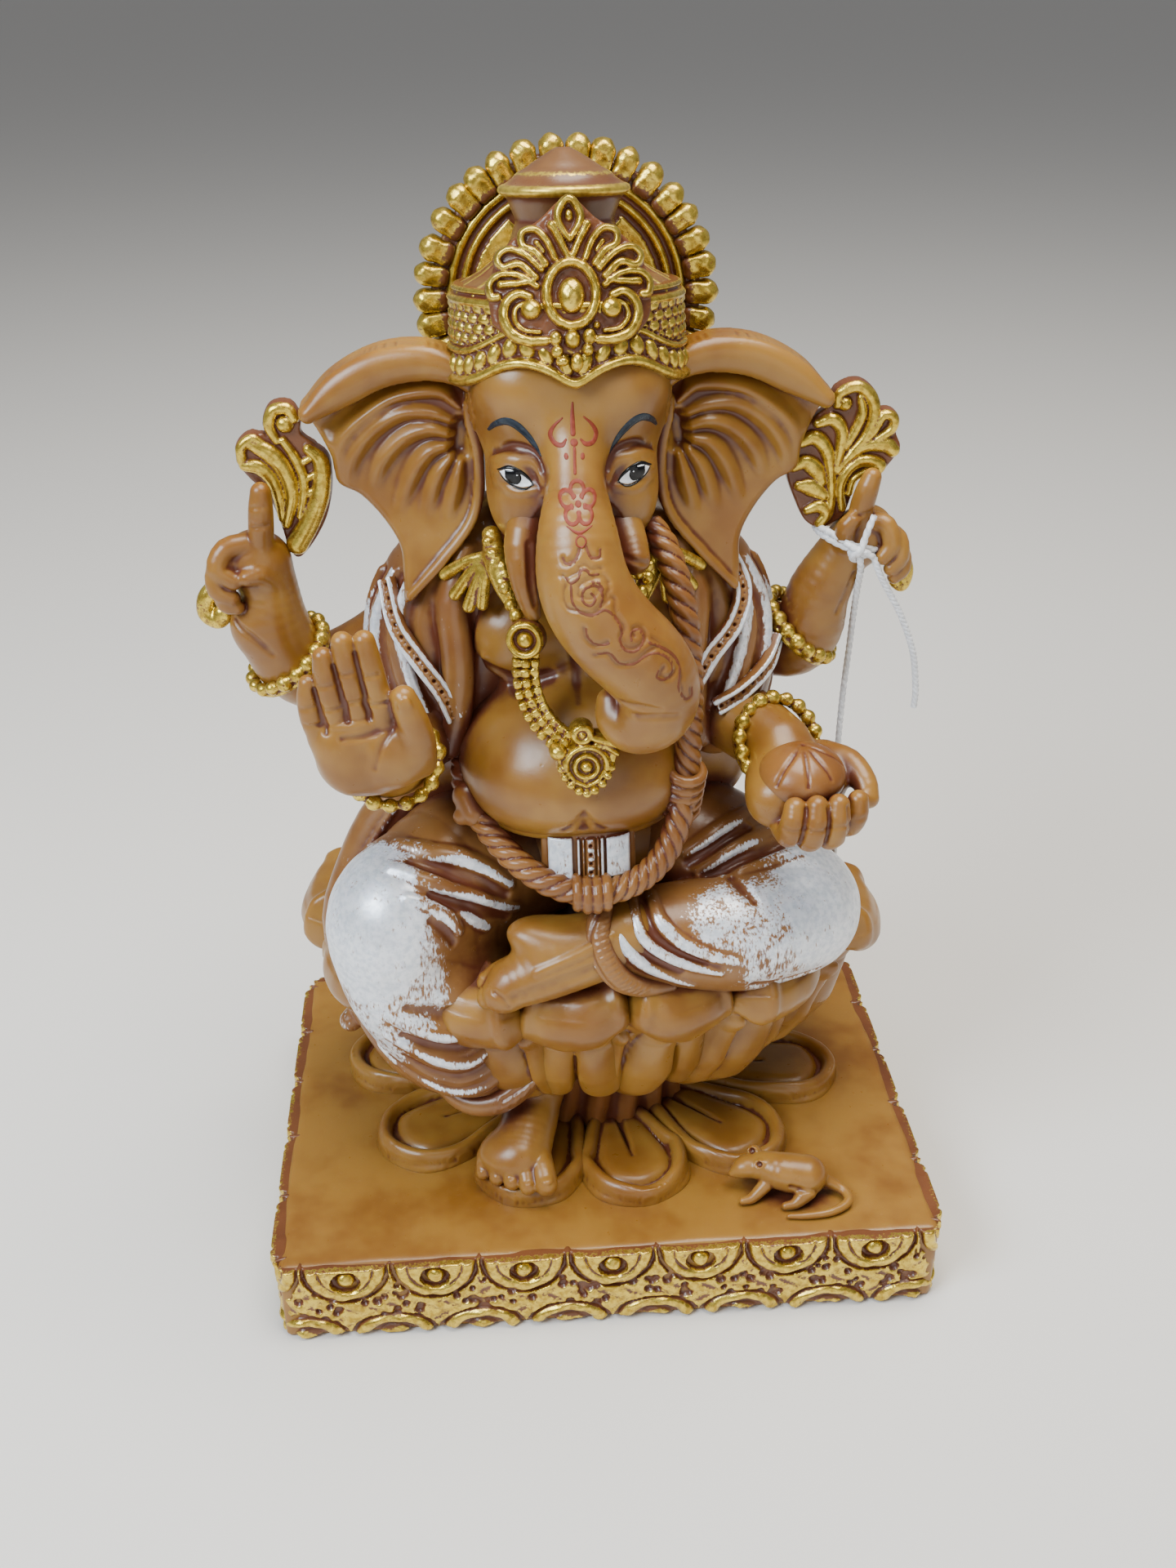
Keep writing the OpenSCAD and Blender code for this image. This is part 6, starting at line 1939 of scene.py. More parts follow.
def flame():
    """The lotus or flame, drawn in X and Z with curled, raised ribs."""
    outline = [[40, 138.8], [37.4, 140.6], [35.6, 144], [33.8, 149], [34.4, 153], [36, 156.4], [38.4, 159],
               [40.2, 160.4], [41, 162.8],
               [44.6, 164.4], [47.8, 162.8], [48.8, 159.2], [50.4, 159.6], [52.2, 158.2], [52, 155.6],
               [53, 153], [52, 151], [50.6, 149.2],
               [49.6, 147.8], [46.4, 147.6], [45.2, 144.6], [43.8, 141]]
    ribs = [[[38.6, 157.6, 0.7, 1.2], [41, 158.2, 1, 1.5], [42.6, 156.4, 0.9, 1.6],
             [42.6, 153.2, 0.8, 1.4], [42, 149.6, 0.6, 1.2]],
            [[35.8, 154.4, 0.8, 1.1], [38.2, 155.2, 1.1, 1.5], [40.2, 153.2, 1, 1.6],
             [41.1, 149.8, 0.8, 1.4], [41.6, 144.8, 0.7, 1.2], [41.4, 142, 0.7, 1.2]],
            [[34.8, 150.2, 0.7, 1.1], [36.8, 151, 1.1, 1.4], [38.8, 149.6, 1.2, 1.4],
             [39.9, 147.6, 0.8, 1.1]],
            [[36, 147, 0.8, 1.1], [38, 146.6, 1.3, 1.3], [40.4, 145.2, 0.9, 1.1]],
            [[37.6, 142.6, 0.7, 1.1], [39.6, 143.2, 1, 1.4], [41, 142, 0.9, 1.4], [39.9, 140.2, 0.8, 1.2]],
            [[41.6, 160.6, 0.6, 1.1], [42, 162.6, 0.8, 1.3], [44.8, 163.6, 0.9, 1.5],
             [47.2, 161.8, 0.9, 1.5], [47.9, 159, 0.85, 1.5],
             [46.8, 155.4, 0.75, 1.4], [44.6, 152.4, 0.7, 1.2], [42.4, 149.4, 0.7, 1.2]],
            [[45.4, 161.8, 0.5, 1.1], [45.9, 159.2, 0.75, 1.4], [44.9, 156.4, 0.75, 1.4],
             [43.4, 153.4, 0.6, 1.2]],
            [[45.2, 153.4, 0.6, 1.2], [47.8, 155.8, 0.7, 1.4], [49.4, 158.6, 0.75, 1.5],
             [51.2, 158.2, 0.75, 1.5], [51, 156.2, 0.75, 1.4], [48.4, 154.4, 0.6, 1.2]],
            [[43.6, 151, 0.6, 1.2], [46.6, 153.4, 0.9, 1.4], [50.2, 153.6, 1.1, 1.5],
             [51.6, 152.6, 1, 1.3]],
            [[43.6, 142.8, 0.6, 1.2], [43, 146.6, 0.75, 1.4], [44.2, 149.6, 0.85, 1.5],
             [46.6, 151, 0.95, 1.5], [49.4, 150.2, 1, 1.5], [49, 148.8, 0.7, 1.3]],
            [[44.6, 145.4, 0.6, 1.1], [45.2, 147.8, 0.6, 1.2], [47, 149, 0.6, 1.2]]]
    return drawn_leaf(outline, ribs, -0.6, bumps=[(42.9, 160.8, 1.25, 1.25)])


def curl_clay(rows):
    """A small curl through rows of [x, y, z, radius]."""
    clay = Clay(0.25)
    clay.add(Tube(rows, 5))
    return clay


BEAD_R = 1.35


def beads_ring(at, turn, radius, count):
    """Beads round an arm beside a thin cord, no two of quite the same size."""
    clay = Clay(0.26)
    axes = turn_matrix(turn)
    spots = []
    for i in range(count * 2):
        a = 2 * math.pi * i / (count * 2)
        spots.append(np.array(at) + axes @ np.array([radius * math.cos(a), radius * math.sin(a), 0], F))
    ring = [[*(p - axes[:, 2] * 1.3), 0.62] for p in spots] + [[*(spots[0] - axes[:, 2] * 1.3), 0.62]]
    clay.add(Tube(ring, 1))
    clay.add(Tube([[*(p + axes[:, 2] * 0.1), 0.7] for p in spots]
                  + [[*(spots[0] + axes[:, 2] * 0.1), 0.7]], 1), 0.4)
    rng = np.random.default_rng(count + int(radius * 10))
    for p in spots[::2]:
        size = BEAD_R * rng.uniform(0.9, 1.08)
        clay.add(Ellipsoid(p + axes[:, 2] * rng.uniform(-0.1, 0.3), (size, size, size)), 0.25)
    return clay


# ------------------------------------------------------------------ ornaments on the body

def chain():
    """Three rows of small squared beads side by side, from the clasp down to the pendant."""
    clay = Clay(0.24)
    middle = spline([[-11.6, -22.4, 128.4], [-11.8, -22.6, 123], [-10.6, -24.6, 118.4], [-8, -26.8, 115.2],
                     [-5, -28.4, 113.4]], 10)
    rng = np.random.default_rng(11)
    step = 1.7
    travelled = np.concatenate([[0], np.cumsum(np.linalg.norm(np.diff(middle, axis=0), axis=1))])
    clay.add(Tube([[*p + (0, 1.5, 0), 1.5] for p in middle[::3]], 1))
    for i in range(int(travelled[-1] / step)):
        p = np.array([np.interp((i + 0.5) * step, travelled, middle[:, k]) for k in range(3)])
        q = np.array([np.interp((i + 0.9) * step, travelled, middle[:, k]) for k in range(3)])
        along = (q - p) / np.linalg.norm(q - p)
        side = np.cross(along, (0, -1, 0.12))
        side /= np.linalg.norm(side)
        tip = math.degrees(math.atan2(along[0], -along[2]))
        for k in (-1, 0, 1):
            spot = p + side * k * 1.55 + (0, 0.25 * abs(k), 0)
            clay.add(Box(spot, (0.7, 0.95, 0.72), 0.36, (0, -tip, rng.uniform(-8, 8))), 0.12)
    return clay


def loose_beads():
    """Single beads: up from the clasp to the collar, and down beside the trunk's other side."""
    clay = Clay(0.24)
    for rows, sizes in (([[-14.6, -17.4, 137], [-13.8, -19, 134.6], [-13, -20.6, 133.4]], (1.2, 1.1, 1.2)),
                        ([[6.6, -19, 139.4], [8.4, -18.4, 138.2], [7.2, -20, 136.4], [7.6, -20.6, 133.6],
                          [9, -19.4, 132.2], [8.2, -21, 131],
                          [9.2, -20.4, 129.4]], (1.2, 1.2, 1.25, 1.3, 1.1, 1.3, 1.0))):
        for p, r in zip(rows, sizes):
            clay.add(Ellipsoid(p, (r, r, r)), 0.2)
    clay.add(Tube([[6.8, -17.6, 140, 0.7], [7.6, -19, 135, 0.7], [8.8, -19.4, 130, 0.7]]), 0.3)
    return clay


def clasp():
    """The chain's clasp: a boss in a ring on a round plate."""
    sheet = Drawing((-4, -4), (4, 4), 0.2)
    sheet.dome(0, 0, 3.2, 3.2, 0.5)
    sheet.ring(0, 0, 2.5, 2.5, 0.65, 1.2, floor=0.5)
    sheet.dome(0, 0, 1.35, 1.35, 1.5, floor=0.5)
    return sheet.surface(1.6, plane_at((-11.7, -23.2, 130.4), 10, -14), 1)


def pendant():
    """A shield under a double arch with a boss in the middle, a ball and a rosette above it."""
    sheet = Drawing((-8.5, -7.5), (8.5, 9), 0.2)
    sheet.fill([[-5, 1.6], [-4, -1.8], [-2.4, -3.9], [0, -5.6], [2.4, -3.9], [4, -1.8], [5, 1.6], [3, 3],
                [0, 3.6], [-3, 3]], 0.6, edge=0.4)
    sheet.ring(0, 0, 3.4, 3.2, 0.6, 1.3, floor=0.4, start=-12, sweep=204)
    sheet.ring(0, -0.3, 1.9, 1.9, 0.45, 1.0, floor=0.5)
    sheet.dome(0, -0.3, 1.0, 1.0, 1.3, floor=0.6)
    for s in (-1, 1):
        for u, w in ((4.1, -0.6), (3.5, -2.1), (2.6, -3.5), (1.3, -4.7)):
            sheet.dome(s * u, w, 0.8, 0.8, 1.0, floor=0.5)
        sheet.cord([(s * 3.0, -1.2, 0.35, 0.7), (s * 1.8, -2.9, 0.35, 0.7), (0, -3.8, 0.35, 0.7)],
                   floor=0.5)
    sheet.dome(0, -5.2, 0.8, 0.8, 1.0, floor=0.4)
    sheet.dome(-4.6, 2.4, 1.5, 1.4, 1.7, floor=0.4)
    sheet.ring(-0.6, 5.4, 1.3, 1.2, 0.7, 1.2, floor=0.4)
    sheet.dome(-0.6, 5.4, 0.7, 0.7, 1.3, floor=0.5)
    sheet.cord([(1.4, 4.6, 0.7, 1.2), (3.6, 4, 0.9, 1.4), (5.6, 3, 0.6, 1), (6.8, 2.4, 0.3, 0.6)],
               floor=0.3)
    sheet.cord([(1.6, 3.4, 0.5, 1), (3.6, 2.8, 0.6, 1), (5.2, 1.6, 0.4, 0.8)], floor=0.3)
    return sheet.surface(2.4, plane_at((-2.6, -28.6, 110.2), 6, 0), 1)


def collar(side):
    """Overlapping drops of the collar that show under each ear."""
    x = partial(to_side, side)
    clay = Clay(0.26)
    ends = ([[-24.4, -8.4, 136.2, 1.1], [-22.8, -10, 133.2, 1.15], [-20.6, -11.6, 131.6, 1.15],
             [-18.4, -13, 132.4, 1.05]])
    for a, b, c, r in ends:
        clay.add(Tube([[x(-17), -12.6, 141, 0.8], [(x(a) + x(-17)) / 2, (b - 12.6) / 2 - 0.4,
                                                   (c + 141) / 2 + 0.6, 1.0], [x(a), b, c, r]]), 0.3)
    clay.add(Tube([[x(-16.4), -12, 144, 1.6], [x(-15.8), -14, 140.4, 2.0], [x(-14.8), -16, 137, 1.7],
                   [x(-13.8), -17.4, 134.6, 1.2]]), 0.6)
    rng = np.random.default_rng(21 + side)
    for i in range(14):
        t = i / 13
        p = np.array([x(-16.6 + 2.8 * t), -13.6 - 4.2 * t,
                      144 - 9 * t]) + rng.uniform(-0.9, 0.9, 3) * (1, 0.5, 0.5)
        clay.add(Ellipsoid(p, rng.uniform(0.7, 1.2, 3)), 0.2)
    return clay


ROPE = [[9.6, -13, 146], [12.4, -17, 140], [14.2, -19.6, 133], [15, -20.4, 126], [15.4, -20.6, 118],
        [15.4, -20.4, 110],
        [15, -20.8, 102], [13.6, -22.6, 94.6], [10.6, -25, 89], [5.6, -27, 85.6], [-1, -28, 84.4],
        [-8, -27, 85.6], [-14, -24, 88.6],
        [-19, -19, 92.6], [-22, -14, 96.6], [-24, -8, 101]]


def twisted(route, radius, groove, strands, lay, step=0.36, around=40, ends=(0.7, 0.6)):
    """Strands laid together along a route: radius and groove depth in mm, lay is the length of one turn."""
    middle = spline(route, 26)
    travelled = np.concatenate([[0], np.cumsum(np.linalg.norm(np.diff(middle, axis=0), axis=1))])
    count = int(travelled[-1] / step)
    along = np.linspace(0, travelled[-1], count)
    p = np.stack([np.interp(along, travelled, middle[:, k]) for k in range(3)], 1)
    ahead = np.gradient(p, axis=0)
    ahead /= np.linalg.norm(ahead, axis=1, keepdims=True)
    side = np.cross(ahead, (0.3, 0.2, 0.1))
    side /= np.linalg.norm(side, axis=1, keepdims=True)
    other = np.cross(ahead, side)
    turn = np.linspace(0, 2 * math.pi, around, endpoint=False)
    phase = strands * (turn[None, :] + 2 * math.pi * along[:, None] / lay)
    shape = radius - groove + groove * np.sqrt(abs(np.cos(phase / 2)) + 0.01)
    fade = min(4, travelled[-1] * 0.2)
    thick = np.interp(along, [0, fade, travelled[-1] - fade, travelled[-1]],
                      [ends[0], 1, 1, ends[1]])[:, None]
    ring = np.cos(turn)[None, :, None] * side[:, None, :] + np.sin(turn)[None, :, None] * other[:, None, :]
    points = (p[:, None, :] + ring * (shape * thick)[..., None]).reshape(-1, 3)
    caps = np.vstack([p[:1], p[-1:]])
    i, j = np.meshgrid(np.arange(count - 1), np.arange(around), indexing="ij")
    i, j = i.ravel(), j.ravel()
    nxt = (j + 1) % around
    quads = np.stack([i * around + j, (i + 1) * around + j, (i + 1) * around + nxt, i * around + nxt],
                     1)[:, ::-1]
    j = np.arange(0, around, 2)
    first, last, end = len(points), len(points) + 1, (count - 1) * around
    lid = np.stack([np.full(len(j), first), j, (j + 1) % around, (j + 2) % around], 1)
    foot = np.stack([np.full(len(j), last), end + (j + 2) % around, end + (j + 1) % around, end + j], 1)
    heights = np.concatenate([(shape * thick).ravel(), [radius, radius]])
    return np.vstack([points, caps]), np.vstack([quads, lid, foot]), heights


def rope():
    """The twisted thread across the chest."""
    return twisted(ROPE, 2.4, 0.75, 4, 11.0)


def rope_windings():
    """Coils bound round the thread at its side and under the belly, and a lump at its other side."""
    clay = Clay(0.26)
    axes = turn_matrix((10, 6, 0))
    for i in range(5):
        centre = np.array([15, -20.8, 103.6]) - axes[:, 2] * (i * 1.95)
        spots = [centre + axes @ np.array([2.8 * math.cos(a), 2.8 * math.sin(a), 0.3 * math.sin(a)], F)
                 for a in np.linspace(0, 2 * math.pi, 15)]
        clay.add(Tube([[*s, 1.0] for s in spots], 1), 0.05)
    clay.add(Ellipsoid((14.7, -21.3, 99.9), (2.3, 2.3, 4.4)), 0.1)
    for u in (-2.8, -1.1, 0.6, 2.3):
        spots = [np.array([-1.6 + u, -28.4 + 0.06 * u * u, 84.3 + 0.05 * u * u])
                 + np.array([0, 2.5 * math.cos(a), 2.5 * math.sin(a)])
                 for a in np.linspace(0, 2 * math.pi, 13)]
        clay.add(Tube([[*s, 0.92] for s in spots], 1), 0.1)
    clay.add(Tube([[-22.6, -15, 97.4, 2.6], [-21.4, -17, 95, 2.4]]), 0.6)
    clay.add(Ellipsoid((-23.6, -16.8, 94.4), (1.6, 1.4, 1.6)), 0.6)
    return clay


def buckle():
    """Waistband plates: plain ones at the ends, ridged and studded ones between."""
    sheet = Drawing((-8.4, -4.6), (8.4, 4.6), 0.2)
    for u, half, high in ((-5.0, 2.15, 1.3), (-1.9, 0.3, 1.4), (-1.05, 0.25, 1.0), (0.2, 0.85, 0.9),
                          (1.5, 0.25, 1.0), (2.2, 0.3, 1.4), (5.0, 2.15, 1.3)):
        sheet.fill([[u - half, -3.6], [u + half, -3.7], [u + half, 3.7], [u - half, 3.6]], high, steps=1,
                   edge=0.35)
    for w in (-2.5, -0.9, 0.7, 2.3):
        sheet.groove([(0.2, w, 0.42, 0.8), (0.25, w, 0.42, 0.8)], 1)
    for w in (-1.7, -0.1, 1.5):
        sheet.dome(0.2, w, 0.5, 0.35, 0.5, floor=0.8)
    sheet.height = np.where(sheet.rim < 1.2, np.maximum(sheet.height, 0.15), sheet.height)
    sheet.rim -= 1.0
    bend = plane_at((-2, -25.4, 90), 14)

    def place(u, w, n):
        x, y, z = bend(u, w, n)
        return x, y + u * u / 30, z
    return sheet.surface(2.6, place, 1)


def mouse_clay():
    clay = Clay(0.24)
    clay.add(Tube([[38, -33, 21.6, 3.9], [33.4, -32.4, 22.4, 3.6], [30.4, -31.2, 22.8, 2.9]]))
    clay.add(Ellipsoid((27.4, -30.6, 22.6), (3.1, 2.4, 2.2), (0, 0, 12)), 1.2)
    clay.add(Tube([[25.4, -31, 22, 1.3], [24.2, -31.2, 21.6, 0.8]]), 1)
    for at in ((28.6, -28.8, 24.6), (29.4, -32.4, 24.4)):
        clay.add(Ellipsoid(at, (1.3, 1.1, 1.2)), 0.3)
        clay.cut(Ellipsoid((at[0] - 0.5, at[1] - 0.4, at[2] + 0.4), (0.7, 0.6, 0.6)), 0.3)
    clay.add(Tube([[30, -34, 20.6, 1.4], [27.4, -35.4, 18.9, 1.0], [25.6, -35.6, 18.5, 0.8]]), 0.5)
    clay.add(Tube([[37.6, -36, 20.4, 1.9], [35.4, -37.4, 18.9, 1.1], [33.4, -37.6, 18.5, 0.8]]), 0.6)
    clay.add(Tube([[41, -33, 20.4, 1.3], [44.6, -34.4, 19, 1.0], [45.4, -37.4, 18.6, 0.9],
                   [42, -39.6, 18.4, 0.8], [37.4, -40.2, 18.3, 0.7],
                   [33.6, -40, 18.2, 0.5]]), 0.8)
    clay.emboss([[34.6, -35.4, 22, 0.8, -0.5], [36.6, -36.8, 21.4, 0.8, -0.5],
                 [38.8, -36.4, 20.6, 0.7, -0.3]])
    return clay


def border_strip(rows, half=1.1, holes=12):
    """A shawl border: a flat strip of [x, y, z] rows with raised edges and a row of drilled holes."""
    path = spline(rows, 12)
    travelled = np.concatenate([[0], np.cumsum(np.linalg.norm(np.diff(path, axis=0), axis=1))])
    length = travelled[-1]
    sheet = Drawing((0, -half - 0.7), (length, half + 0.7), 0.2)
    sheet.rim = np.maximum(abs(sheet.w) - half - 0.4, np.maximum(-sheet.u, sheet.u - length) + 0.3)
    sheet.height = np.full_like(sheet.u, 0.35)
    for w in (-half, half):
        sheet.cord([(0.3, w, 0.42, 0.85), (length / 2, w, 0.42, 0.85), (length - 0.3, w, 0.42, 0.85)])
    for i in range(holes):
        u = (i + 0.5) * length / holes
        sheet.groove([(u, 0, 0.5, 0.9), (u + 0.05, 0, 0.5, 0.9)], 1)
        sheet.groove([(u + length / holes / 2, 0.1, 0.3, 0.3),
                      (u + length / holes / 2 + 0.05, 0.1, 0.3, 0.3)], 1)
    ahead = np.gradient(path, axis=0)
    ahead /= np.linalg.norm(ahead, axis=1, keepdims=True)
    axis = np.array([CENTRE_X + np.sign(path[len(path) // 2, 0] - CENTRE_X) * 26.5, 1, 121])
    facing = path - axis
    facing[:, 2] *= 0.15
    facing -= (facing * ahead).sum(1)[:, None] * ahead
    facing /= np.linalg.norm(facing, axis=1, keepdims=True)
    across = np.cross(facing, ahead)

    def place(u, w, n):
        at = lambda table: np.stack([np.interp(u, travelled, table[:, k]) for k in range(3)], 1)
        p = at(path) + at(across) * w[:, None] + at(facing) * n[:, None]
        return p[:, 0], p[:, 1], p[:, 2]
    return sheet.surface(1.2, place, 1)


piece("plinth_cast", plinth_clay, "amber", "amber_resin", ["plinth"])
for word in ("front", "back", "right", "left"):
    piece(f"frieze_{word}_relief", lambda s=word: frieze(s), "gilt", "gilt_resin", [f"frieze_{word}"],
          frieze_gilding)
for i in range(FLOOR_PETALS_SEEN):
    piece(f"floor_petal_{i + 1}_cast", lambda i=i: floor_petal(i), "amber", "amber_resin",
          [f"floor_petal_{i + 1}"])
piece("floor_petals_back_cast",
      lambda: joined([lambda i=i: floor_petal(i) for i in range(FLOOR_PETALS_SEEN, FLOOR_PETALS)]),
      "amber", "amber_resin", ["floor_petals_back"])
for i in range(SEAT_PETALS_SEEN):
    piece(f"seat_petal_{i + 1}_cast", lambda i=i: seat_petal(i), "amber", "amber_resin",
          [f"seat_petal_{i + 1}"])
piece("seat_petals_back_cast",
      lambda: joined([lambda i=i: seat_petal(i) for i in range(SEAT_PETALS_SEEN, SEAT_PETALS)]), "amber",
      "amber_resin", ["seat_petals_back"])
piece("seat_cup", seat_clay, "amber_darker", "washed_resin", ["seat_pad"])
piece("lotus_neck", stem_clay, "amber_darker", "washed_resin", ["lotus_stem"])
piece("arm_front_right", front_right_clay, "amber", "amber_resin", ["front_right_arm"])
piece("arm_front_left", front_left_clay, "amber", "amber_resin", ["front_left_arm"])
piece("sweet_dumpling", sweet_clay, "amber_cord", "washed_resin", ["sweet_ball"])
piece("arm_back_right", back_right_clay, "amber", "amber_resin", ["back_right_arm"])
piece("arm_back_left", back_left_clay, "amber", "amber_resin", ["back_left_arm"])
for side, word in ((-1, "right"), (1, "left")):
    piece(f"shawl_{word}_folds", lambda s=side: shawl_clay(s), "white", "washed_resin", [f"{word}_shawl"],
          white_on([], 5, [on_side(side, rows) for rows in SHAWL_FOLDS], 1.7))
piece("crown_band_relief", crown_band, "gilt", "gilt_resin", ["crown_band"], by_height(0.35, 0.9, 4))
piece("crown_cap_turned", crown_cap, "gilt_brown", "washed_resin", ["crown_cap"], cap_gilding)
piece("crown_crest_relief", crest, "gilt", "gilt_resin", ["crown_crest"], by_height(0.7, 1.3, 4))
piece("halo_disc_relief", halo_disc, "gilt", "gilt_resin", ["halo_disc"], by_height(0.6, 0.95, 3))
piece("halo_tiles", lambda: joined([lambda i=i: halo_tile(i) for i in range(HALO_TILES)]), "gilt",
      "gilt_resin", ["halo_lobes_ring"],
      tile_gilding)
piece("goad_relief", goad, "gilt", "gilt_resin", ["goad"], by_height(0.6, 1.1, 4))
piece("flame_relief", flame, "gilt", "gilt_resin", ["lotus_flame"], by_height(0.6, 1.1, 4))
piece("goad_curl",
      lambda: curl_clay([[-58.5, -1, 134, 1.3], [-62, -1, 133.4, 1.5], [-65, -1, 131, 1.6],
                         [-65.6, -1, 128, 1.6], [-63.8, -1.4, 126.8, 1.7],
                                      [-62.6, -1.6, 128, 1.8]]), "gilt", "gilt_resin", [], gold_plain)
piece("flame_curl",
      lambda: curl_clay([[51.6, -1, 134.6, 1.1], [54.6, -1, 133.6, 1.2], [55.8, -1, 131, 1.3],
                         [55.2, -1.2, 128.4, 1.3], [54, -1.4, 129, 1.2]]),
      "gilt", "gilt_resin", [], gold_plain)
piece("bracelet_front_right", lambda: beads_ring((-34.8, -20.4, 108.4), (62, 0, 12), 8.0, 18), "gilt",
      "gilt_resin", ["front_right_bracelet"], gold_all)
piece("bracelet_front_left", lambda: beads_ring((32, -14.6, 105.2), (58, 0, 26), 7.8, 18), "gilt",
      "gilt_resin", ["front_left_bracelet"], gold_all)
piece("armlet_back_right", lambda: beads_ring((-53, 1.4, 118.6), (14, -35, 0), 7.9, 18), "gilt",
      "gilt_resin", ["back_right_armlet"], gold_all)
piece("armlet_back_left", lambda: beads_ring((38.4, 3, 119.6), (10, 42, 0), 7.6, 18), "gilt", "gilt_resin",
      ["back_left_armlet"], gold_all)
piece("chain_of_beads", chain, "gilt", "gilt_resin", ["necklace"], gold_all)
piece("loose_beads", loose_beads, "gilt", "gilt_resin", [], gold_all)
piece("chain_clasp", clasp, "gilt", "gilt_resin", [], by_height(0.5, 0.9, 4))
piece("pendant_shield", pendant, "gilt", "gilt_resin", [], gold_all)
piece("collar_right", lambda: collar(-1), "gilt", "gilt_resin", ["collar_sprays"], gold_all)
piece("collar_left", lambda: collar(1), "gilt", "gilt_resin", [], gold_all)
piece("sacred_thread_strands", rope, "amber_cord", "washed_resin", ["sacred_thread"])
piece("sacred_thread_windings", rope_windings, "amber_cord", "washed_resin", [])
piece("waist_buckle_plates", buckle, "white", "white_brushed_resin", ["waist_buckle"],
      by_height(0.7, 1.1, 3))
piece("mouse_cast", mouse_clay, "amber", "amber_resin", ["mouse"])
BORDER_RIGHT = [[-34.6, -3.6, 134], [-33.2, -7.6, 127], [-29.6, -10.2, 121.4], [-26, -11.4, 116],
                [-24, -11.6, 110.6]]
BORDER_LEFT = [[23, -4, 138], [26, -7, 131.6], [24.6, -9.4, 126], [20.4, -11.6, 121], [17.4, -12.6, 116]]
BORDER_LEFT_LOW = [[33.4, -3, 120], [31, -7, 116.6], [26.4, -9.8, 113], [21.4, -11, 110.4]]
for name, rows, holes in (("shawl_border_right", BORDER_RIGHT, 12), ("shawl_border_left", BORDER_LEFT, 12),
                          ("shawl_border_left_low", BORDER_LEFT_LOW, 8)):
    piece(name, lambda r=rows, k=holes: border_strip(r, holes=k), "white", "white_brushed_resin", [],
          by_height(0.2, 0.62, 2))

piece("trunk_scrollwork", lambda: draw_on_face((-7, 123.6), (15, 150), trunk_ink, True), "brown_paint",
      "amber_resin")


# ------------------------------------------------------------------ hanging tag

STRING_D = 0.0012
TAIL_ROUTE = [
    [0.0485, -0.0065, 0.1355], [0.050, -0.0065, 0.132], [0.052, -0.006, 0.1285], [0.054, -0.0055, 0.125],
    [0.0556, -0.005, 0.1215], [0.057, -0.0045, 0.118], [0.058, -0.004, 0.1145], [0.0586, -0.0035, 0.111],
    [0.059, -0.0032, 0.108], [0.059, -0.003, 0.105]]
DROP_ROUTE = [
    [0.0466, -0.0056, 0.133], [0.047, -0.0025, 0.128], [0.0474, 0.0005, 0.122], [0.0476, 0.0025, 0.115],
    [0.0476, 0.004, 0.108], [0.0476, 0.005, 0.101], [0.0476, 0.0054, 0.094], [0.0478, 0.0056, 0.087],
    [0.048, 0.0058, 0.080]]


def cotton_line(name, route, replaced, strands):
    """One free string, laid up from strands along its route."""
    rows = np.array(route) * 1000
    points, quads, _ = twisted(rows, STRING_D * 500, 0.2, strands, 3.0, step=0.12, around=24, ends=(1, 1))
    item = mesh_object(name, points, quads, {}, MATERIALS["cotton"])
    path = spline(rows, 8) * MM
    finish_piece(item, [replaced])


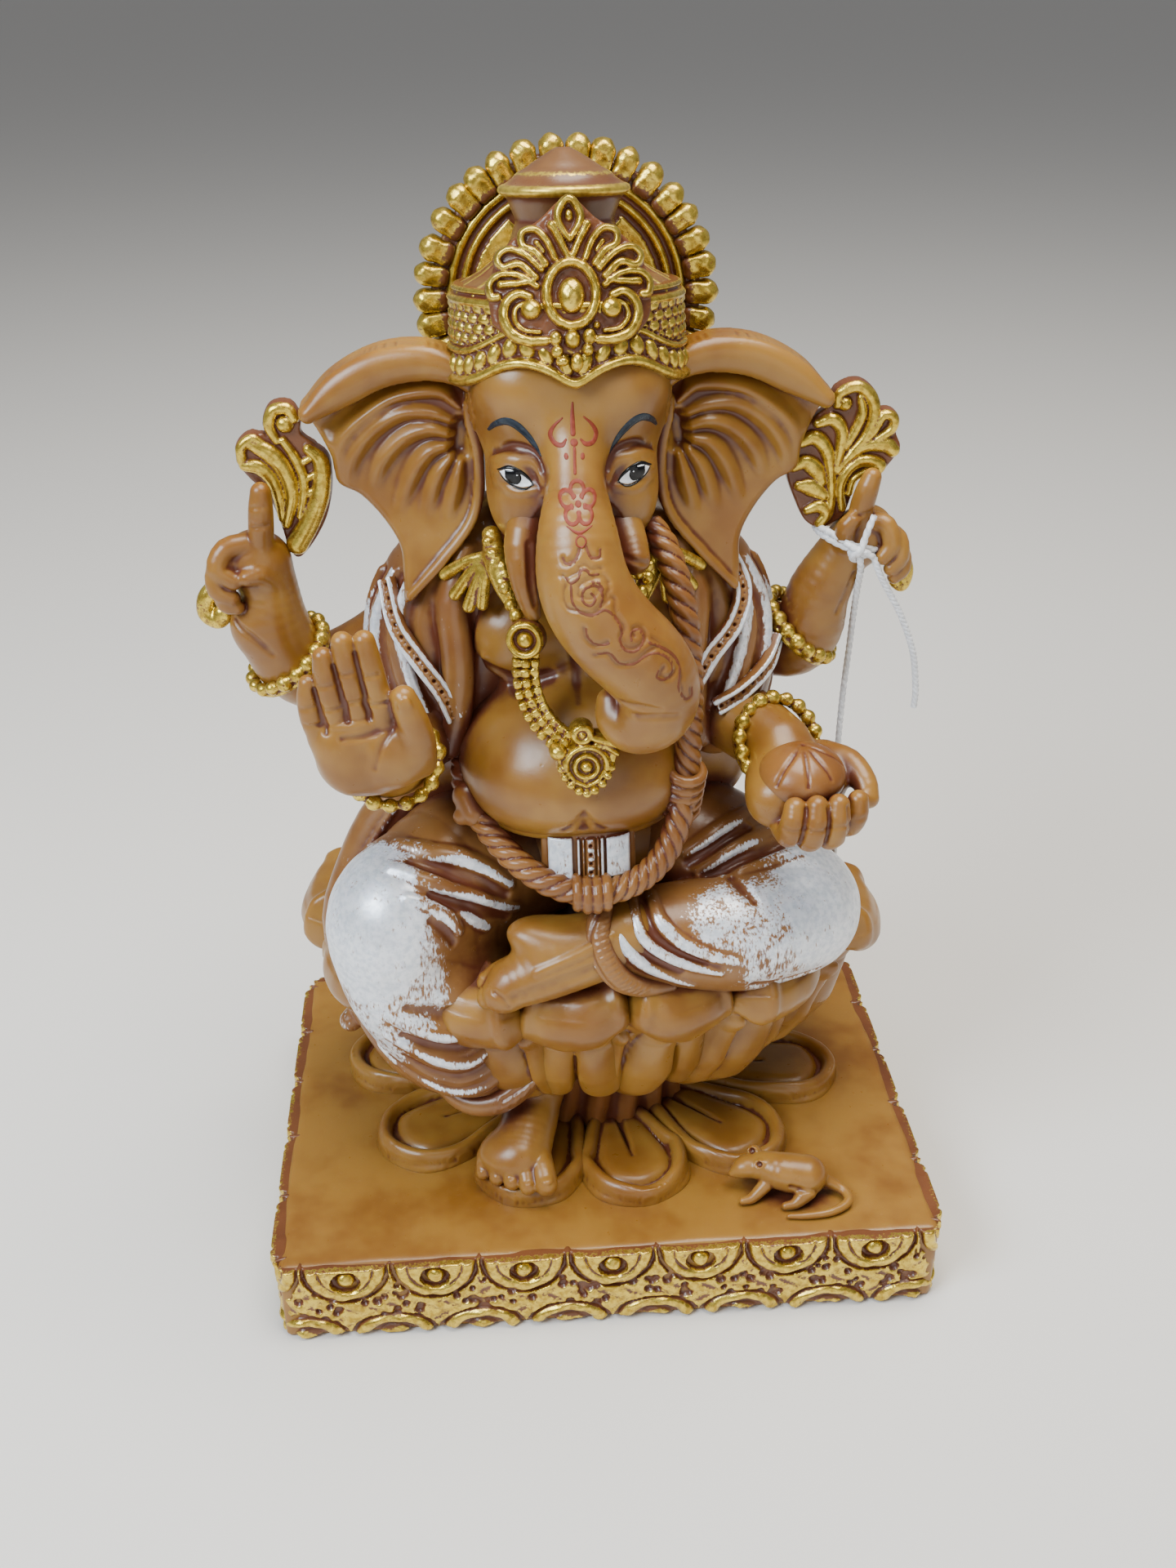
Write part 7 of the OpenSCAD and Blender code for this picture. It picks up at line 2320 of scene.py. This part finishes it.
def tag_card():
    """A blank card with cut corners and an eyelet, seen from its edge."""
    sheet = Drawing((-8, -12), (8, 12), 0.25)
    corner = abs(sheet.u) + abs(sheet.w - 2) - 13.5
    eyelet = 1.2 - np.hypot(sheet.u, sheet.w - 9)
    sheet.rim = np.maximum(np.maximum(abs(sheet.u) - 6.8, abs(sheet.w) - 10.8), np.maximum(corner, eyelet))
    sheet.height = 0.25 + 0.1 * np.exp(-((np.hypot(sheet.u, sheet.w - 9) - 1.9) / 0.4) ** 2)
    turn = math.radians(80)

    def place(u, w, n):
        across = n + 0.1 * np.sin(u * 0.3)
        return (48.2 + u * math.cos(turn) - across * math.sin(turn),
                6 + u * math.sin(turn) + across * math.cos(turn), 69 + w)
    return sheet.surface(0.3, place, 1)


def string_knot():
    """The string's loop round the wrist, the crossed knot in front and its short upper end."""
    centre, r = np.array([45.8, 0.6, 136.4]), 6.5
    right = np.array([math.cos(math.radians(20)), 0, -math.sin(math.radians(20))])
    loop = [centre + r * math.cos(a) * right + np.array([0, 0.98 * r * math.sin(a), 0])
            for a in np.linspace(-math.pi / 2, 1.5 * math.pi, 17)]
    second = [p + np.array([0, 0.25 * (-1) ** i, 0.9 + 0.3 * math.sin(i)]) for i, p in enumerate(loop)]
    routes = [loop, second,
              [[43.4, -5.9, 138.3], [45.0, -7.3, 137.5], [46.6, -6.7, 136.2], [46.4, -5.6, 135.2]],
              [[46.9, -5.9, 138.4], [45.6, -7.6, 137.4], [44.6, -6.9, 136.0], [45.4, -5.9, 135.0]],
              [[44.2, -6.2, 136.4], [45.6, -7.6, 136.9], [46.4, -7.2, 139.0], [47.1, -7.1, 141.2],
               [47.9, -6.8, 143.2]],
              [[45.2, -7.0, 137.4], [46.9, -7.4, 136.8], [48.5, -6.5, 135.5]],
              [[45.4, -6.9, 137.0], [46.1, -6.8, 135.0], [46.6, -5.6, 133.0]]]
    return joined([lambda r=r: twisted(r, 0.6, 0.2, 2, 3.0, step=0.14, around=20, ends=(1, 0.9))
                   for r in routes])


def hang_strings():
    """The string's two ends, and the blank tag on the longer one."""
    cotton_line("tag_string_tail_laid", TAIL_ROUTE, "tag_string_tail", 3)
    card = mesh_object("tag_card_blank", *tag_card()[:2], {}, MATERIALS["card"])
    finish_piece(card, ["blank_tag"])
    cotton_line("tag_string_drop_laid", DROP_ROUTE, "tag_string_drop", 2)


piece("tag_knot_tied", string_knot, "cotton", "cotton_string", ["tag_knot"])

look_camera()
hang_strings()
light_studio()
lay_floor()
build_pieces()
